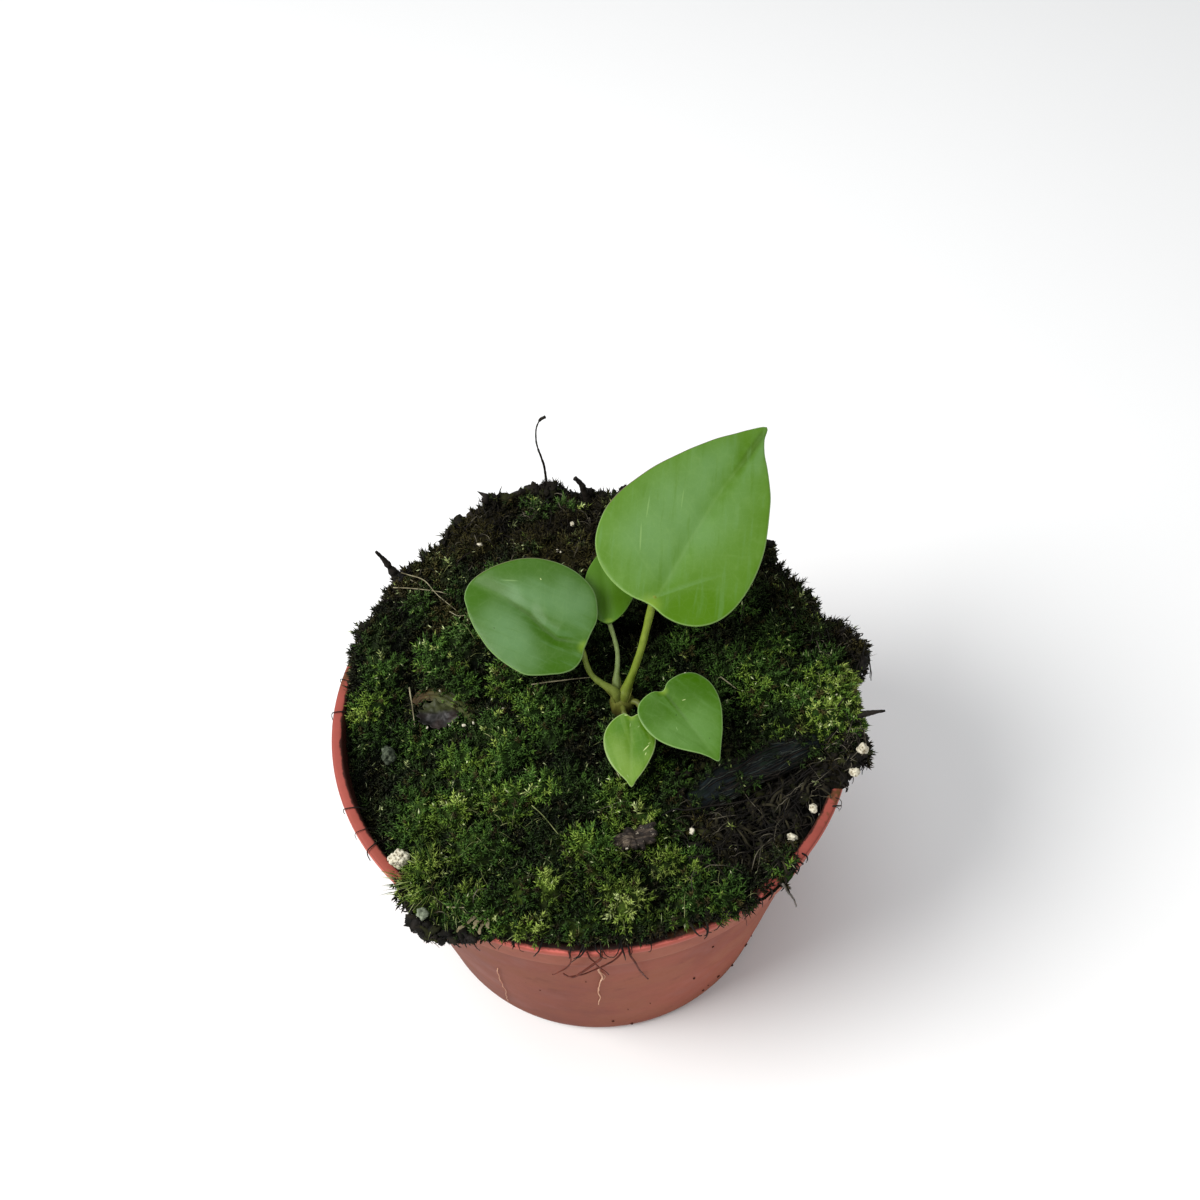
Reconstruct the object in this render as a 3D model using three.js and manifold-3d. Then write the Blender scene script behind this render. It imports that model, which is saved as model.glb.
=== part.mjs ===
// A young anthurium with five heart-shaped leaves, growing from a carpet of moss in a round plastic nursery pot.
// Millimetres, +Z up. The origin is the centre of the pot's underside, and the pot stands on Z = 0.
import * as THREE from 'three';
import { mergeVertices } from 'three/addons/utils/BufferGeometryUtils.js';
import Module from 'manifold-3d';

const wasm = await Module();
wasm.setup();

// ---------------------------------------------------------------- driving dimensions (mm)
const RIM_R = 45;            // outer radius of the pot's lip
const POT_H = 61;            // height of the pot
const BASE_R = 34;           // outer radius of the pot's foot
const WALL = 1.1;            // wall of the pot
const FLOOR_T = 1.6;         // floor of the pot
const LIP_W = 1.9;           // width of the lip, seen from above
const COLLAR_Z = 53;         // underside of the stiffening collar below the lip
const COLLAR_STEP = 1.0;     // how far the collar stands out from the wall
const HOLES = 8;             // drain holes in the floor
const HOLE_R = 3.2;          // radius of a drain hole
const HOLE_PCR = 25;         // radius of the circle that the drain holes lie on
const CHANNEL_W = 3.0;       // drain channels under the floor, from each hole to the edge
const CHANNEL_D = 0.6;
const GAP = 0.3;             // clearance between pieces that lie against each other
const MOSS_T = 6.0;          // thickness of the moss carpet
const CROWN = [5.4, -1.6];   // where the plant's crown stands
const CROWN_R = 2.15;        // radius of the crown at its top
const CROWN_Z = 66.6;        // top of the crown
const LEAF_T = 0.6;          // thickness of a leaf blade
const MOSS_SEG = 60;         // columns round the moss carpet

// radius of the pot's outer wall and inner wall at a height
const outerWall = (z) => BASE_R + (RIM_R - COLLAR_STEP - 1.7 - BASE_R) * (z / COLLAR_Z);
const innerWall = (z) => (z < COLLAR_Z + 0.6 ? outerWall(z) - WALL : RIM_R - LIP_W - 0.7 + 0.1 * (z - COLLAR_Z - 0.6));

// ---------------------------------------------------------------- the moss surface, as heights at points [x, y, z]
const EDGE = [ // [azimuth in degrees, radius of the moss edge, height of its surface]
  [173, 43.4, 63.5], [162, 43.5, 64], [158, 44, 65.5], [150, 43.5, 64], [144, 45, 65.5], [139, 45, 66.3], [133, 44.5, 65],
  [127, 44.5, 64.8], [122, 46, 66.8], [116, 46.5, 69.5], [111, 47.5, 70.8], [106, 47, 69], [103, 46.5, 67.8], [98, 47, 69.8],
  [95, 47.5, 70.5], [92, 46, 67], [90, 45.5, 65.7], [82, 46, 66], [76, 46.5, 68.5], [68, 46, 68], [60, 46, 67.5], [50, 45.5, 67],
  [41, 46, 67], [37, 45, 65], [32, 44.5, 64.3], [25, 45, 64.6], [19, 44.5, 63.5], [15, 46, 68], [12, 48, 68.5], [7, 50, 66.5],
  [3, 48.8, 66], [0, 47.3, 65.5], [-5, 46.3, 65], [-9, 47, 65], [-14, 47, 64.5], [-17, 48, 64], [-22, 46, 63.5], [-27, 44.5, 62],
  [-35, 42.8, 59], [-42, 42.6, 59.5], [-48, 43, 60.5], [-55, 44, 62.5], [-62, 44.3, 62.5], [-70, 44, 62.8], [-80, 44, 63],
  [-90, 44, 63], [-100, 44.2, 63], [-108, 44.3, 63], [-113, 44.5, 62.5], [-117, 46, 62], [-121, 48.5, 61.5], [-125, 50, 61],
  [-129, 49.5, 62], [-133, 48.5, 62.5], [-136, 47.5, 62], [-139, 45.5, 62], [-141, 43, 60.5], [-146, 42.6, 58], [-155, 42.6, 57],
  [-165, 42.6, 57], [-175, 42.6, 57.5], [-182, 42.6, 59.5],
];
const INNER = [
  [-35, -6.3, 58], [-38, -17.2, 57], [-40.6, -1.5, 57.5], [-32.4, -21.1, 60], [-28.9, -13.7, 63], [-25.1, -29.4, 64.5],
  [-26.5, -35.9, 64], [-20.2, -36.8, 65], [-20.3, -23.1, 65.5], [-15.5, -32.5, 66], [-15.4, -12.3, 65.5], [-5.8, -20.2, 65],
  [-6.2, -33.4, 66.5], [-6.5, -40.7, 64.5], [2.8, -38.5, 65.5], [6.9, -23.4, 65.8], [12.2, -35.6, 65], [18.2, -38.6, 63.5],
  [4.4, -12.8, 64], [1.5, -4.5, 63.8], [-8.7, -4.2, 64.5], [-18.8, -7.5, 64.5], [-23.4, 1.4, 62.3], [-27.8, -0.2, 62],
  [-32.9, 4.4, 63.5], [-38.5, 5.9, 62], [-29.4, 13.2, 66], [-33.1, 17.9, 66], [-18.7, 9.8, 66.5], [-12, 2, 64.8], [2.1, 6.8, 65.5],
  [12.7, 7.9, 66], [5.1, -0.9, 64.2], [18.7, -2.4, 65], [26.3, 4.3, 66.5], [20.2, 13.2, 67], [31.4, 16.9, 67], [37.8, 12, 66.8],
  [34, -1.4, 67.8], [40.8, -1.7, 67.5], [43.7, -5.3, 66.5], [40.9, -12.4, 65.5], [32.8, -11.5, 65], [24.7, -10, 63.5],
  [15.8, -14.9, 63], [9.2, -14.7, 63.5], [15.4, -20, 62], [23.7, -19.7, 60.5], [32.2, -18.4, 60.5], [23, -26.5, 59.5],
  [31.4, -24.9, 59], [16.2, -28.6, 61], [25.3, -32.5, 60.5], [38.8, -18.8, 60.5], [-4.5, 15, 67], [-15.1, 22.3, 67.5],
  [-24.2, 23.8, 66.5], [-11.1, 34.9, 69.3], [-3.8, 33, 68], [-18.6, 33.7, 68.5], [3.7, 35.8, 67], [11.3, 36.8, 68], [22, 31, 68],
  [28.6, 23.7, 67.5],
];
const SPREAD = 5; // how far one of these points reaches
const POINTS = EDGE.map(([a, r, z]) => [r * Math.cos(a * Math.PI / 180), r * Math.sin(a * Math.PI / 180), z]).concat(INNER);
function mossHeight(x, y) {
  let w = 0, s = 0;
  for (const [px, py, pz] of POINTS) {
    const k = Math.exp(-((px - x) ** 2 + (py - y) ** 2) / (2 * SPREAD * SPREAD));
    w += k;
    s += k * pz;
  }
  return s / w;
}
const RING = EDGE.map(([a, r, z]) => [((a % 360) + 360) % 360, r, z]).sort((p, q) => p[0] - q[0]);
function mossEdge(deg) {
  const d = ((deg % 360) + 360) % 360;
  const n = RING.length;
  for (let i = 0; i < n; i++) {
    const a = RING[i], b = RING[(i + 1) % n];
    const hi = i + 1 < n ? b[0] : b[0] + 360;
    const at = i + 1 < n || d >= a[0] ? d : d + 360;
    if (at >= a[0] && at <= hi) {
      const t = (at - a[0]) / (hi - a[0] || 1);
      return a[1] + (b[1] - a[1]) * t;
    }
  }
  return RING[0][1] + 0;
}

// ---------------------------------------------------------------- helpers
function weld(geometry) {
  let g = geometry.clone();
  g.deleteAttribute('normal');
  g.deleteAttribute('uv');
  g = mergeVertices(g, 1e-4);
  const idx = g.index.array, keep = [];
  for (let i = 0; i < idx.length; i += 3) {
    if (idx[i] !== idx[i + 1] && idx[i + 1] !== idx[i + 2] && idx[i] !== idx[i + 2]) keep.push(idx[i], idx[i + 1], idx[i + 2]);
  }
  const p = g.attributes.position;
  let v = 0;
  const a = new THREE.Vector3(), b = new THREE.Vector3(), c = new THREE.Vector3();
  for (let i = 0; i < keep.length; i += 3) {
    a.fromBufferAttribute(p, keep[i]); b.fromBufferAttribute(p, keep[i + 1]); c.fromBufferAttribute(p, keep[i + 2]);
    v += a.dot(b.cross(c));
  }
  if (v < 0) for (let i = 0; i < keep.length; i += 3) [keep[i], keep[i + 1]] = [keep[i + 1], keep[i]];
  g.setIndex(keep);
  return g;
}
function solid(geometry) {
  const g = weld(geometry);
  return new wasm.Manifold(new wasm.Mesh({
    numProp: 3,
    vertProperties: new Float32Array(g.attributes.position.array),
    triVerts: new Uint32Array(g.index.array),
  }));
}
function surface(manifold) {
  const m = manifold.getMesh();
  const g = new THREE.BufferGeometry();
  const out = new Float32Array((m.vertProperties.length / m.numProp) * 3);
  for (let i = 0, j = 0; i < m.vertProperties.length; i += m.numProp, j += 3) {
    out[j] = m.vertProperties[i]; out[j + 1] = m.vertProperties[i + 1]; out[j + 2] = m.vertProperties[i + 2];
  }
  g.setAttribute('position', new THREE.BufferAttribute(out, 3));
  g.setIndex(new THREE.BufferAttribute(new Uint32Array(m.triVerts), 1));
  return largest(g);
}
// the largest connected body of a mesh: crumbs left by a cut are dropped
function largest(geometry) {
  const idx = geometry.index.array, n = geometry.attributes.position.count;
  const root = Array.from({ length: n }, (_, i) => i);
  const find = (i) => { while (root[i] !== i) { root[i] = root[root[i]]; i = root[i]; } return i; };
  for (let i = 0; i < idx.length; i += 3) {
    const r = find(idx[i]);
    root[find(idx[i + 1])] = r;
    root[find(idx[i + 2])] = r;
  }
  const volume = new Map(), p = geometry.attributes.position;
  const a = new THREE.Vector3(), b = new THREE.Vector3(), c = new THREE.Vector3();
  for (let i = 0; i < idx.length; i += 3) {
    a.fromBufferAttribute(p, idx[i]); b.fromBufferAttribute(p, idx[i + 1]); c.fromBufferAttribute(p, idx[i + 2]);
    const r = find(idx[i]);
    volume.set(r, (volume.get(r) || 0) + a.dot(b.cross(c)));
  }
  let best = -1, most = -Infinity;
  for (const [r, v] of volume) if (v > most) { most = v; best = r; }
  const renumber = new Map(), pos = [], tri = [];
  for (let i = 0; i < idx.length; i += 3) {
    if (find(idx[i]) !== best) continue;
    for (let k = 0; k < 3; k++) {
      const v = idx[i + k];
      if (!renumber.has(v)) { renumber.set(v, pos.length / 3); pos.push(p.getX(v), p.getY(v), p.getZ(v)); }
      tri.push(renumber.get(v));
    }
  }
  const g = new THREE.BufferGeometry();
  g.setAttribute('position', new THREE.Float32BufferAttribute(pos, 3));
  g.setIndex(tri);
  return g;
}
// a turned solid whose section changes round the axis: profile(angle) lists [radius, height] from the axis below to the axis above
function turned(profile, segments, cx = 0, cy = 0) {
  const rows = Array.from({ length: segments }, (_, i) => profile(i / segments * 2 * Math.PI));
  const n = rows[0].length;
  const g = new THREE.LatheGeometry(rows[0].map(([r, z]) => new THREE.Vector2(r, z)), segments);
  const p = g.attributes.position;
  for (let i = 0; i <= segments; i++) {
    const a = (i % segments) / segments * 2 * Math.PI;
    for (let j = 0; j < n; j++) {
      const [r, z] = rows[i % segments][j];
      p.setXYZ(i * n + j, cx + r * Math.cos(a), cy + r * Math.sin(a), z);
    }
  }
  return weld(g);
}
const disc = (radius, sides) => new THREE.Shape(Array.from({ length: sides }, (_, i) =>
  new THREE.Vector2(radius * Math.cos((i + 0.5) / sides * 2 * Math.PI), radius * Math.sin((i + 0.5) / sides * 2 * Math.PI))));
// a round stem along points [x, y, z], whose thickness follows scale(0..1)
function stem(points, radius, { sides = 6, steps = 8, scale = () => 1 } = {}) {
  const curve = new THREE.CatmullRomCurve3(points.map((q) => new THREE.Vector3(...q)));
  const g = new THREE.ExtrudeGeometry(disc(radius, sides), { steps, extrudePath: curve, bevelEnabled: false });
  const spine = Array.from({ length: steps + 1 }, (_, i) => curve.getPointAt(i / steps));
  const p = g.attributes.position, v = new THREE.Vector3();
  for (let i = 0; i < p.count; i++) {
    v.fromBufferAttribute(p, i);
    let k = 0, near = Infinity;
    spine.forEach((s, j) => { const d = s.distanceToSquared(v); if (d < near) { near = d; k = j; } });
    v.sub(spine[k]).multiplyScalar(scale(k / steps)).add(spine[k]);
    p.setXYZ(i, v.x, v.y, v.z);
  }
  return weld(g);
}
// a small uneven grain
function grain(x, y, z, r, seed, squash = 0.85, detail = 1) {
  const g = weld(new THREE.IcosahedronGeometry(r, detail));
  const p = g.attributes.position;
  for (let i = 0; i < p.count; i++) {
    const ux = p.getX(i) / r, uy = p.getY(i) / r, uz = p.getZ(i) / r;
    const k = 1 + 0.13 * Math.sin(3.1 * ux + 1.7 * seed) + 0.1 * Math.sin(4.3 * uy - 2.3 * seed) + 0.08 * Math.sin(5.1 * uz + seed);
    p.setXYZ(i, x + ux * r * k, y + uy * r * k, z + uz * r * k * squash);
  }
  return g;
}
const grown = (geometry, centre, by) => { // the same shape, larger all round about its centre
  const g = geometry.clone();
  g.computeBoundingSphere();
  const s = 1 + by / (g.boundingSphere.radius * 0.6);
  g.translate(-centre[0], -centre[1], -centre[2]);
  g.scale(s, s, s);
  g.translate(...centre);
  return g;
};

const root = new THREE.Group();
const made = {};
function add(name, geometry, colour, roughness, metalness = 0) {
  const mesh = new THREE.Mesh(geometry, new THREE.MeshStandardMaterial({ color: colour, roughness, metalness, flatShading: true }));
  mesh.name = name;
  made[name] = mesh;
  root.add(mesh);
  return mesh;
}
const TERRACOTTA = '#a8584a', SOIL = '#2a221a', MOSS = '#2f4a17', MOSS_BRIGHT = '#49691d', MOSS_DEAD = '#2b2a17', LEAF = '#6f9d4d',
  LEAF_YOUNG = '#86a94a', STALK = '#7f8f3a', PERLITE = '#d8d2c0', BARK = '#33281f', CHAR = '#23282a', STRAW = '#8d7f60', TWIG = '#241c17';

// ---------------------------------------------------------------- pot
const potSection = [
  [0, 0], [BASE_R - 1.6, 0], [BASE_R - 0.3, 0.5], [BASE_R + 0.3, 1.8], [outerWall(COLLAR_Z), COLLAR_Z],
  [RIM_R - 1.1, COLLAR_Z + 0.7], [RIM_R - 0.55, POT_H - 1.7], [RIM_R, POT_H - 1.3], [RIM_R, POT_H - 0.4], [RIM_R - 0.4, POT_H],
  [RIM_R - LIP_W + 0.3, POT_H], [RIM_R - LIP_W, POT_H - 0.4], [innerWall(COLLAR_Z + 0.7), COLLAR_Z + 0.9],
  [innerWall(COLLAR_Z - 0.2), COLLAR_Z - 0.2], [innerWall(FLOOR_T) - 0.4, FLOOR_T + 0.9], [innerWall(FLOOR_T) - 1.4, FLOOR_T], [0, FLOOR_T],
];
let pot = solid(turned(() => potSection, 64));
for (let i = 0; i < HOLES; i++) {
  const a = (i + 0.5) / HOLES * 2 * Math.PI;
  const hole = new THREE.CylinderGeometry(HOLE_R, HOLE_R, 8, 14);
  hole.rotateX(Math.PI / 2);
  hole.translate(HOLE_PCR * Math.cos(a), HOLE_PCR * Math.sin(a), 1);
  pot = pot.subtract(solid(hole));
  const channel = new THREE.BoxGeometry(BASE_R - HOLE_PCR + 6, CHANNEL_W, 2 * CHANNEL_D);
  channel.translate((HOLE_PCR + BASE_R + 6) / 2, 0, 0);
  channel.rotateZ(a);
  pot = pot.subtract(solid(channel));
}
add('pot', surface(pot), TERRACOTTA, 0.62);

// ---------------------------------------------------------------- crown and roots
const [CX, CY] = CROWN;
const crownBody = turned(() => [[0, 56], [0.9, 56.4], [1.5, 58.5], [2.0, 61.5], [2.35, 63.6], [CROWN_R, CROWN_Z - 0.6], [CROWN_R - 0.35, CROWN_Z], [0, CROWN_Z]], 14, CX, CY);
const ROOT_PATHS = [
  [[CX, CY, 59], [CX - 6, CY + 3, 54], [-13, 6, 44], [-20, 8, 30], [-19, 5, 15]],
  [[CX, CY, 59], [CX + 5, CY + 5, 53], [18, 12, 42], [23, 16, 28], [19, 12, 13]],
  [[CX, CY, 58.5], [CX + 4, CY - 5, 52], [15, -16, 40], [17, -21, 26], [12, -19, 10]],
  [[CX, CY, 58.5], [CX - 3, CY - 5, 51], [-6, -16, 38], [-11, -22, 24], [-8, -19, 9]],
  [[CX, CY, 58], [CX - 0.5, CY + 2, 48], [2, 6, 34], [0, 9, 20], [2, 5, 8]],
];
const rootTube = (path, extra) => stem(path, 1.15 + extra, { sides: 6, steps: 8, scale: (t) => (1 - 0.55 * t * (1 - extra * 0.2)) });
let crown = solid(crownBody);
let crownRoom = solid(turned(() => [[0, 55.6], [1.3, 56.0], [1.9, 58.4], [2.4, 61.4], [2.8, 63.4], [2.8, 72], [0, 72]], 14, CX, CY));
for (const path of ROOT_PATHS) {
  crown = crown.add(solid(rootTube(path, 0)));
  const longer = path.slice(0, -1).concat([path[path.length - 1].map((v, k) => v + 0.12 * (v - path[path.length - 2][k]))]);
  crownRoom = crownRoom.add(solid(rootTube(longer, 0.55)));
}
add('crown_with_roots', surface(crown), '#8a8a45', 0.6);

// ---------------------------------------------------------------- moss carpet and potting mix
const rings = [0.25, 0.5, 0.7, 0.84, 0.94];
const carpetSection = (a) => {
  const deg = a * 180 / Math.PI;
  const edge = mossEdge(deg);
  const x = Math.cos(a), y = Math.sin(a);
  const top = (r) => mossHeight(r * x, r * y);
  const inside = RIM_R - LIP_W - GAP - 0.35;
  const over = Math.max(edge, 0), hangs = edge > 45.2;
  const zEdge = top(edge) - (hangs ? 1.0 : 0.6);
  const droop = hangs ? Math.min(2.8, (edge - 44.8) * 0.7) : 0;
  const zIn = Math.min(zEdge - 1.6, POT_H + 0.4);
  const rIn = Math.min(edge - 0.1, inside);
  const low = Math.min(top(rIn) - MOSS_T, zIn - 2.4);
  const rLow = innerWall(low) - GAP - 0.35;
  const bottom = (f) => mossHeight(f * rLow * x, f * rLow * y) - MOSS_T;
  return [
    [0, mossHeight(0, 0) - MOSS_T], [0.45 * rLow, bottom(0.45)], [0.8 * rLow, bottom(0.8)], [rLow, low], [rIn, zIn],
    [hangs ? Math.max(rIn + 0.1, RIM_R + 0.35) : rIn + 0.02, zIn + 0.05 + (hangs ? 0 : 0.3)],
    [hangs ? Math.max(RIM_R + 0.4, over - 1.2) : rIn + 0.04, zIn + (hangs ? -droop : 0.7)],
    [over, Math.max(zEdge - (hangs ? 2.2 : 0.7), zIn + (hangs ? -droop * 0.4 : 0.8))],
    [over - 0.1, zEdge],
    ...rings.slice().reverse().map((f) => [f * over, top(f * over)]),
    [0, mossHeight(0, 0)],
  ];
};
let carpet = solid(turned(carpetSection, MOSS_SEG));
// the moss keeps clear of the lip and of the wall under it
const lipRoom = turned(() => [
  [innerWall(40) - GAP, 30], [outerWall(40) + 6, 30], [RIM_R + GAP, COLLAR_Z], [RIM_R + GAP, POT_H], [RIM_R, POT_H + GAP],
  [RIM_R - LIP_W, POT_H + GAP], [RIM_R - LIP_W - GAP, POT_H - 0.2], [innerWall(COLLAR_Z + 0.7) - GAP, COLLAR_Z + 0.6], [innerWall(COLLAR_Z - 0.4) - GAP, COLLAR_Z - 0.6], [innerWall(40) - GAP, 30],
], 72);
carpet = carpet.subtract(solid(lipRoom)).subtract(crownRoom);

// pieces that lie in the carpet
const LUMP = [[15.8, -20.2, 61.4], [21.5, -16.9, 61.8], [27.5, -14.6, 62.5], [33.5, -12.4, 63.4], [37.5, -11.2, 64]];
const lumpShape = (extra) => {
  const g = stem(LUMP, 3.1 + extra, { sides: 9, steps: 7, scale: (t) => Math.sin(Math.PI * (0.12 + 0.76 * t)) * (0.9 + 0.12 * Math.sin(11 * t)) });
  const p = g.attributes.position;
  for (let i = 0; i < p.count; i++) { // flatter than it is wide
    const x = p.getX(i), y = p.getY(i), z = p.getZ(i);
    const along = Math.min(1, Math.max(0, (x - 15.8) / 21.7));
    const mid = 61.4 + 2.6 * along;
    p.setXYZ(i, x, y, mid + (z - mid) * 0.62);
  }
  return g;
};
const CHIP = [[1.6, -28.2], [4.4, -26.0], [8.4, -25.4], [9.0, -27.7], [4.9, -29.6]];
const DEAD_LEAF = [[-29.6, 0.1], [-27.6, 2.5], [-24.2, 2.3], [-22.4, -1.0], [-25.1, -3.0], [-28.7, -2.3]];
const plate = (outline, z, thick, grow = 0) => {
  const cx = outline.reduce((s, q) => s + q[0], 0) / outline.length, cy = outline.reduce((s, q) => s + q[1], 0) / outline.length;
  const shape = new THREE.Shape(outline.map(([x, y]) => {
    const d = Math.hypot(x - cx, y - cy);
    return new THREE.Vector2(cx + (x - cx) * (1 + grow / d), cy + (y - cy) * (1 + grow / d));
  }));
  const g = new THREE.ExtrudeGeometry(shape, { depth: thick + 2 * grow * (grow ? 0.7 : 0), bevelEnabled: false });
  g.translate(0, 0, z - grow * (grow ? 0.7 : 0));
  return g;
};
const chipZ = 64.0, leafZ = 61.9;
carpet = carpet.subtract(solid(lumpShape(0.45))).subtract(solid(plate(CHIP, chipZ, 5, 0.4))).subtract(solid(plate(DEAD_LEAF, leafZ, 5, 0.4)));

// the carpet is a set of cushions that grew against each other: each fills the ground nearest to its own middle
const CUSHIONS = [ // [name, middle x, y, colour]
  ['moss_round_crown', 5, 1, MOSS],
  ['moss_right_mound', 35, 3, MOSS_BRIGHT],
  ['moss_back_right', 24, 27, MOSS_DEAD],
  ['moss_back', -6, 34, MOSS_DEAD],
  ['moss_back_left', -28, 22, MOSS],
  ['moss_left', -36, -5, MOSS],
  ['moss_middle_left', -16, -4, MOSS],
  ['moss_front_left', -27, -29, MOSS_BRIGHT],
  ['moss_front', -3, -34, MOSS_BRIGHT],
  ['moss_middle_front', -1, -19, MOSS_BRIGHT],
  ['moss_front_right', 17, -39, MOSS],
  ['root_litter_right_front', 27, -20, SOIL],
];
const ground = (k) => { // the convex ground of cushion k, half a gap back from each neighbour
  let poly = [[-70, -70], [70, -70], [70, 70], [-70, 70]];
  const [, kx, ky] = CUSHIONS[k];
  CUSHIONS.forEach(([, qx, qy], i) => {
    if (i === k) return;
    const d = Math.hypot(qx - kx, qy - ky), nx = (qx - kx) / d, ny = (qy - ky) / d, far = d / 2 - GAP / 2 - 0.02;
    const side = ([x, y]) => far - ((x - kx) * nx + (y - ky) * ny);
    const cut = [];
    poly.forEach((p, j) => {
      const q = poly[(j + 1) % poly.length], sp = side(p), sq = side(q);
      if (sp >= 0) cut.push(p);
      if ((sp >= 0) !== (sq >= 0)) cut.push([p[0] + (q[0] - p[0]) * sp / (sp - sq), p[1] + (q[1] - p[1]) * sp / (sp - sq)]);
    });
    poly = cut;
  });
  const g = new THREE.ExtrudeGeometry(new THREE.Shape(poly.map((q) => new THREE.Vector2(...q))), { depth: 70, bevelEnabled: false });
  g.translate(0, 0, 30);
  return solid(g);
};
const cushionMeshes = CUSHIONS.map(([name, , , colour], k) => add(name, surface(carpet.intersect(ground(k))), colour, 0.95));

const mixSection = (a) => {
  const x = Math.cos(a), y = Math.sin(a);
  const top = (r) => Math.min(mossHeight(r * x, r * y) - MOSS_T - GAP - 0.35, 62);
  const zTop = Math.min(top(42), COLLAR_Z - 0.8);
  const rTop = innerWall(zTop) - GAP - 0.25;
  const rLow = innerWall(FLOOR_T) - 1.7;
  return [
    [0, FLOOR_T + GAP], [rLow * 0.6, FLOOR_T + GAP], [rLow, FLOOR_T + GAP], [innerWall(4) - GAP - 0.35, 4.2], [innerWall(30) - GAP - 0.25, 30],
    [rTop, zTop], [0.8 * rTop, top(0.8 * rTop)], [0.45 * rTop, top(0.45 * rTop)], [0, mossHeight(0, 0) - MOSS_T - GAP - 0.35],
  ];
};
const mix = solid(turned(mixSection, 48)).subtract(crownRoom);
add('potting_mix', surface(mix), SOIL, 0.98);

// ---------------------------------------------------------------- leaves
// Each blade: where it joins its stalk, the directions of its midrib (u) and width (v), its length, its half width, how its halves rise
// from the midrib and curl at the edge, how its tip and its lobes hang, and its outline as [along, across] from the tip round by the stalk.
const LEAVES = {
  rear_large: {
    j: [10.61, 3.9, 84], u: [0.5739, 0.7818, 0.2438], v: [0.8184, -0.5586, -0.135], len: 39.42, half: 14, rise: 1.5, curl: 1.9, tip: 2.2, lobe: 1.6, lobeLen: 9,
    outline: [[39.42, 0], [37.14, -2.22], [34.62, -4.21], [32.1, -6.22], [29.43, -8.02], [26.69, -9.71], [23.91, -11.33], [21.06, -12.82],
      [18.07, -14.02], [15.02, -15.04], [11.84, -15.43], [8.65, -15], [5.62, -13.95], [3.08, -11.99], [1.29, -9.34], [0.16, -6.33],
      [-0.27, -3.15], [0.08, 0.02], [-0.44, 2.99], [-0.07, 5.97], [1.24, 8.68], [3.43, 10.74], [6.21, 11.91], [9.19, 12.35], [12.21, 12.31],
      [15.21, 11.92], [18.14, 11.18], [20.96, 10.1], [23.75, 8.91], [26.48, 7.64], [29.05, 6.04], [31.52, 4.3], [33.94, 2.48], [36.58, 1.04]],
  },
  left_round: {
    j: [-0.38, 1.74, 76.5], u: [-0.8808, 0.4591, 0.116], v: [0.4696, 0.8149, 0.3397], len: 22.58, half: 10, rise: 1.9, curl: 2.2, tip: 1.2, lobe: 1.3, lobeLen: 7,
    outline: [[22.58, 0], [22.98, 2.43], [21.95, 4.67], [20.36, 6.59], [18.52, 8.27], [16.48, 9.7], [14.24, 10.78], [11.82, 11.38], [9.34, 11.62],
      [6.87, 11.39], [4.51, 10.59], [2.43, 9.24], [0.96, 7.24], [0.01, 4.94], [-0.01, 2.47], [0, 0], [-0.44, -2], [0, -4], [1.36, -5.52],
      [3.12, -6.58], [4.92, -7.58], [6.83, -8.31], [8.88, -8.24], [10.92, -7.9], [12.91, -7.4], [14.82, -6.61], [16.59, -5.57], [18.32, -4.45],
      [19.89, -3.11], [21.28, -1.6]],
  },
  rear_small: {
    j: [3.94, 6.48, 76.5], u: [-0.0344, 0.9872, 0.1559], v: [0.9994, 0.0349, 0], len: 14.69, half: 4.3, rise: 0.6, curl: 0.9, tip: 0.8, lobe: 0.5, lobeLen: 3,
    outline: [[14.69, 0], [13.41, -0.91], [12.11, -1.8], [10.75, -2.58], [9.28, -3.15], [7.76, -3.52], [6.2, -3.69], [4.63, -3.57], [3.12, -3.17],
      [1.7, -2.5], [0.54, -1.46], [0, 0], [0.65, 1.56], [1.8, 2.82], [3.19, 3.83], [4.71, 4.61], [6.39, 4.9], [8.11, 4.87], [9.79, 4.53],
      [11.36, 3.84], [12.71, 2.79], [13.82, 1.48]],
  },
  front_right_heart: {
    j: [12, -5.66, 73.2], u: [0.5502, -0.8114, -0.1973], v: [-0.8347, -0.5411, -0.1025], len: 14.81, half: 7.2, rise: 0.8, curl: 1.3, tip: 0.9, lobe: 0.9, lobeLen: 5,
    outline: [[14.81, 0], [13.7, -1.18], [12.45, -2.36], [11.21, -3.55], [9.86, -4.63], [8.46, -5.65], [6.96, -6.5], [5.33, -7.07], [3.63, -7.32],
      [1.93, -7.07], [0.38, -6.35], [-0.56, -4.92], [-0.86, -3.23], [-0.72, -1.51], [0, 0], [-0.8, 1.39], [-0.96, 3.01], [-0.55, 4.55],
      [0.63, 5.65], [2.17, 6.17], [3.78, 6.31], [5.4, 6.14], [6.94, 5.63], [8.38, 4.88], [9.7, 3.93], [10.94, 2.87], [12.15, 1.78], [13.48, 0.86]],
  },
  front_young: {
    j: [6.6, -8.65, 70.6], u: [-0.0648, -0.9618, -0.266], v: [-0.9977, 0.0672, 0], len: 11.73, half: 4.6, rise: 0.6, curl: 0.9, tip: 0.6, lobe: 0.5, lobeLen: 4,
    outline: [[11.73, 0], [10.64, -0.77], [9.62, -1.61], [8.51, -2.37], [7.35, -3.01], [6.13, -3.56], [4.85, -3.91], [3.52, -4], [2.2, -3.83],
      [0.99, -3.3], [0.04, -2.37], [-0.44, -1.13], [0, 0], [-0.58, 1.06], [-0.03, 2.34], [0.91, 3.39], [2.08, 4.16], [3.43, 4.53], [4.83, 4.51],
      [6.19, 4.19], [7.49, 3.65], [8.67, 2.89], [9.71, 1.94], [10.68, 0.92]],
  },
};
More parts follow.
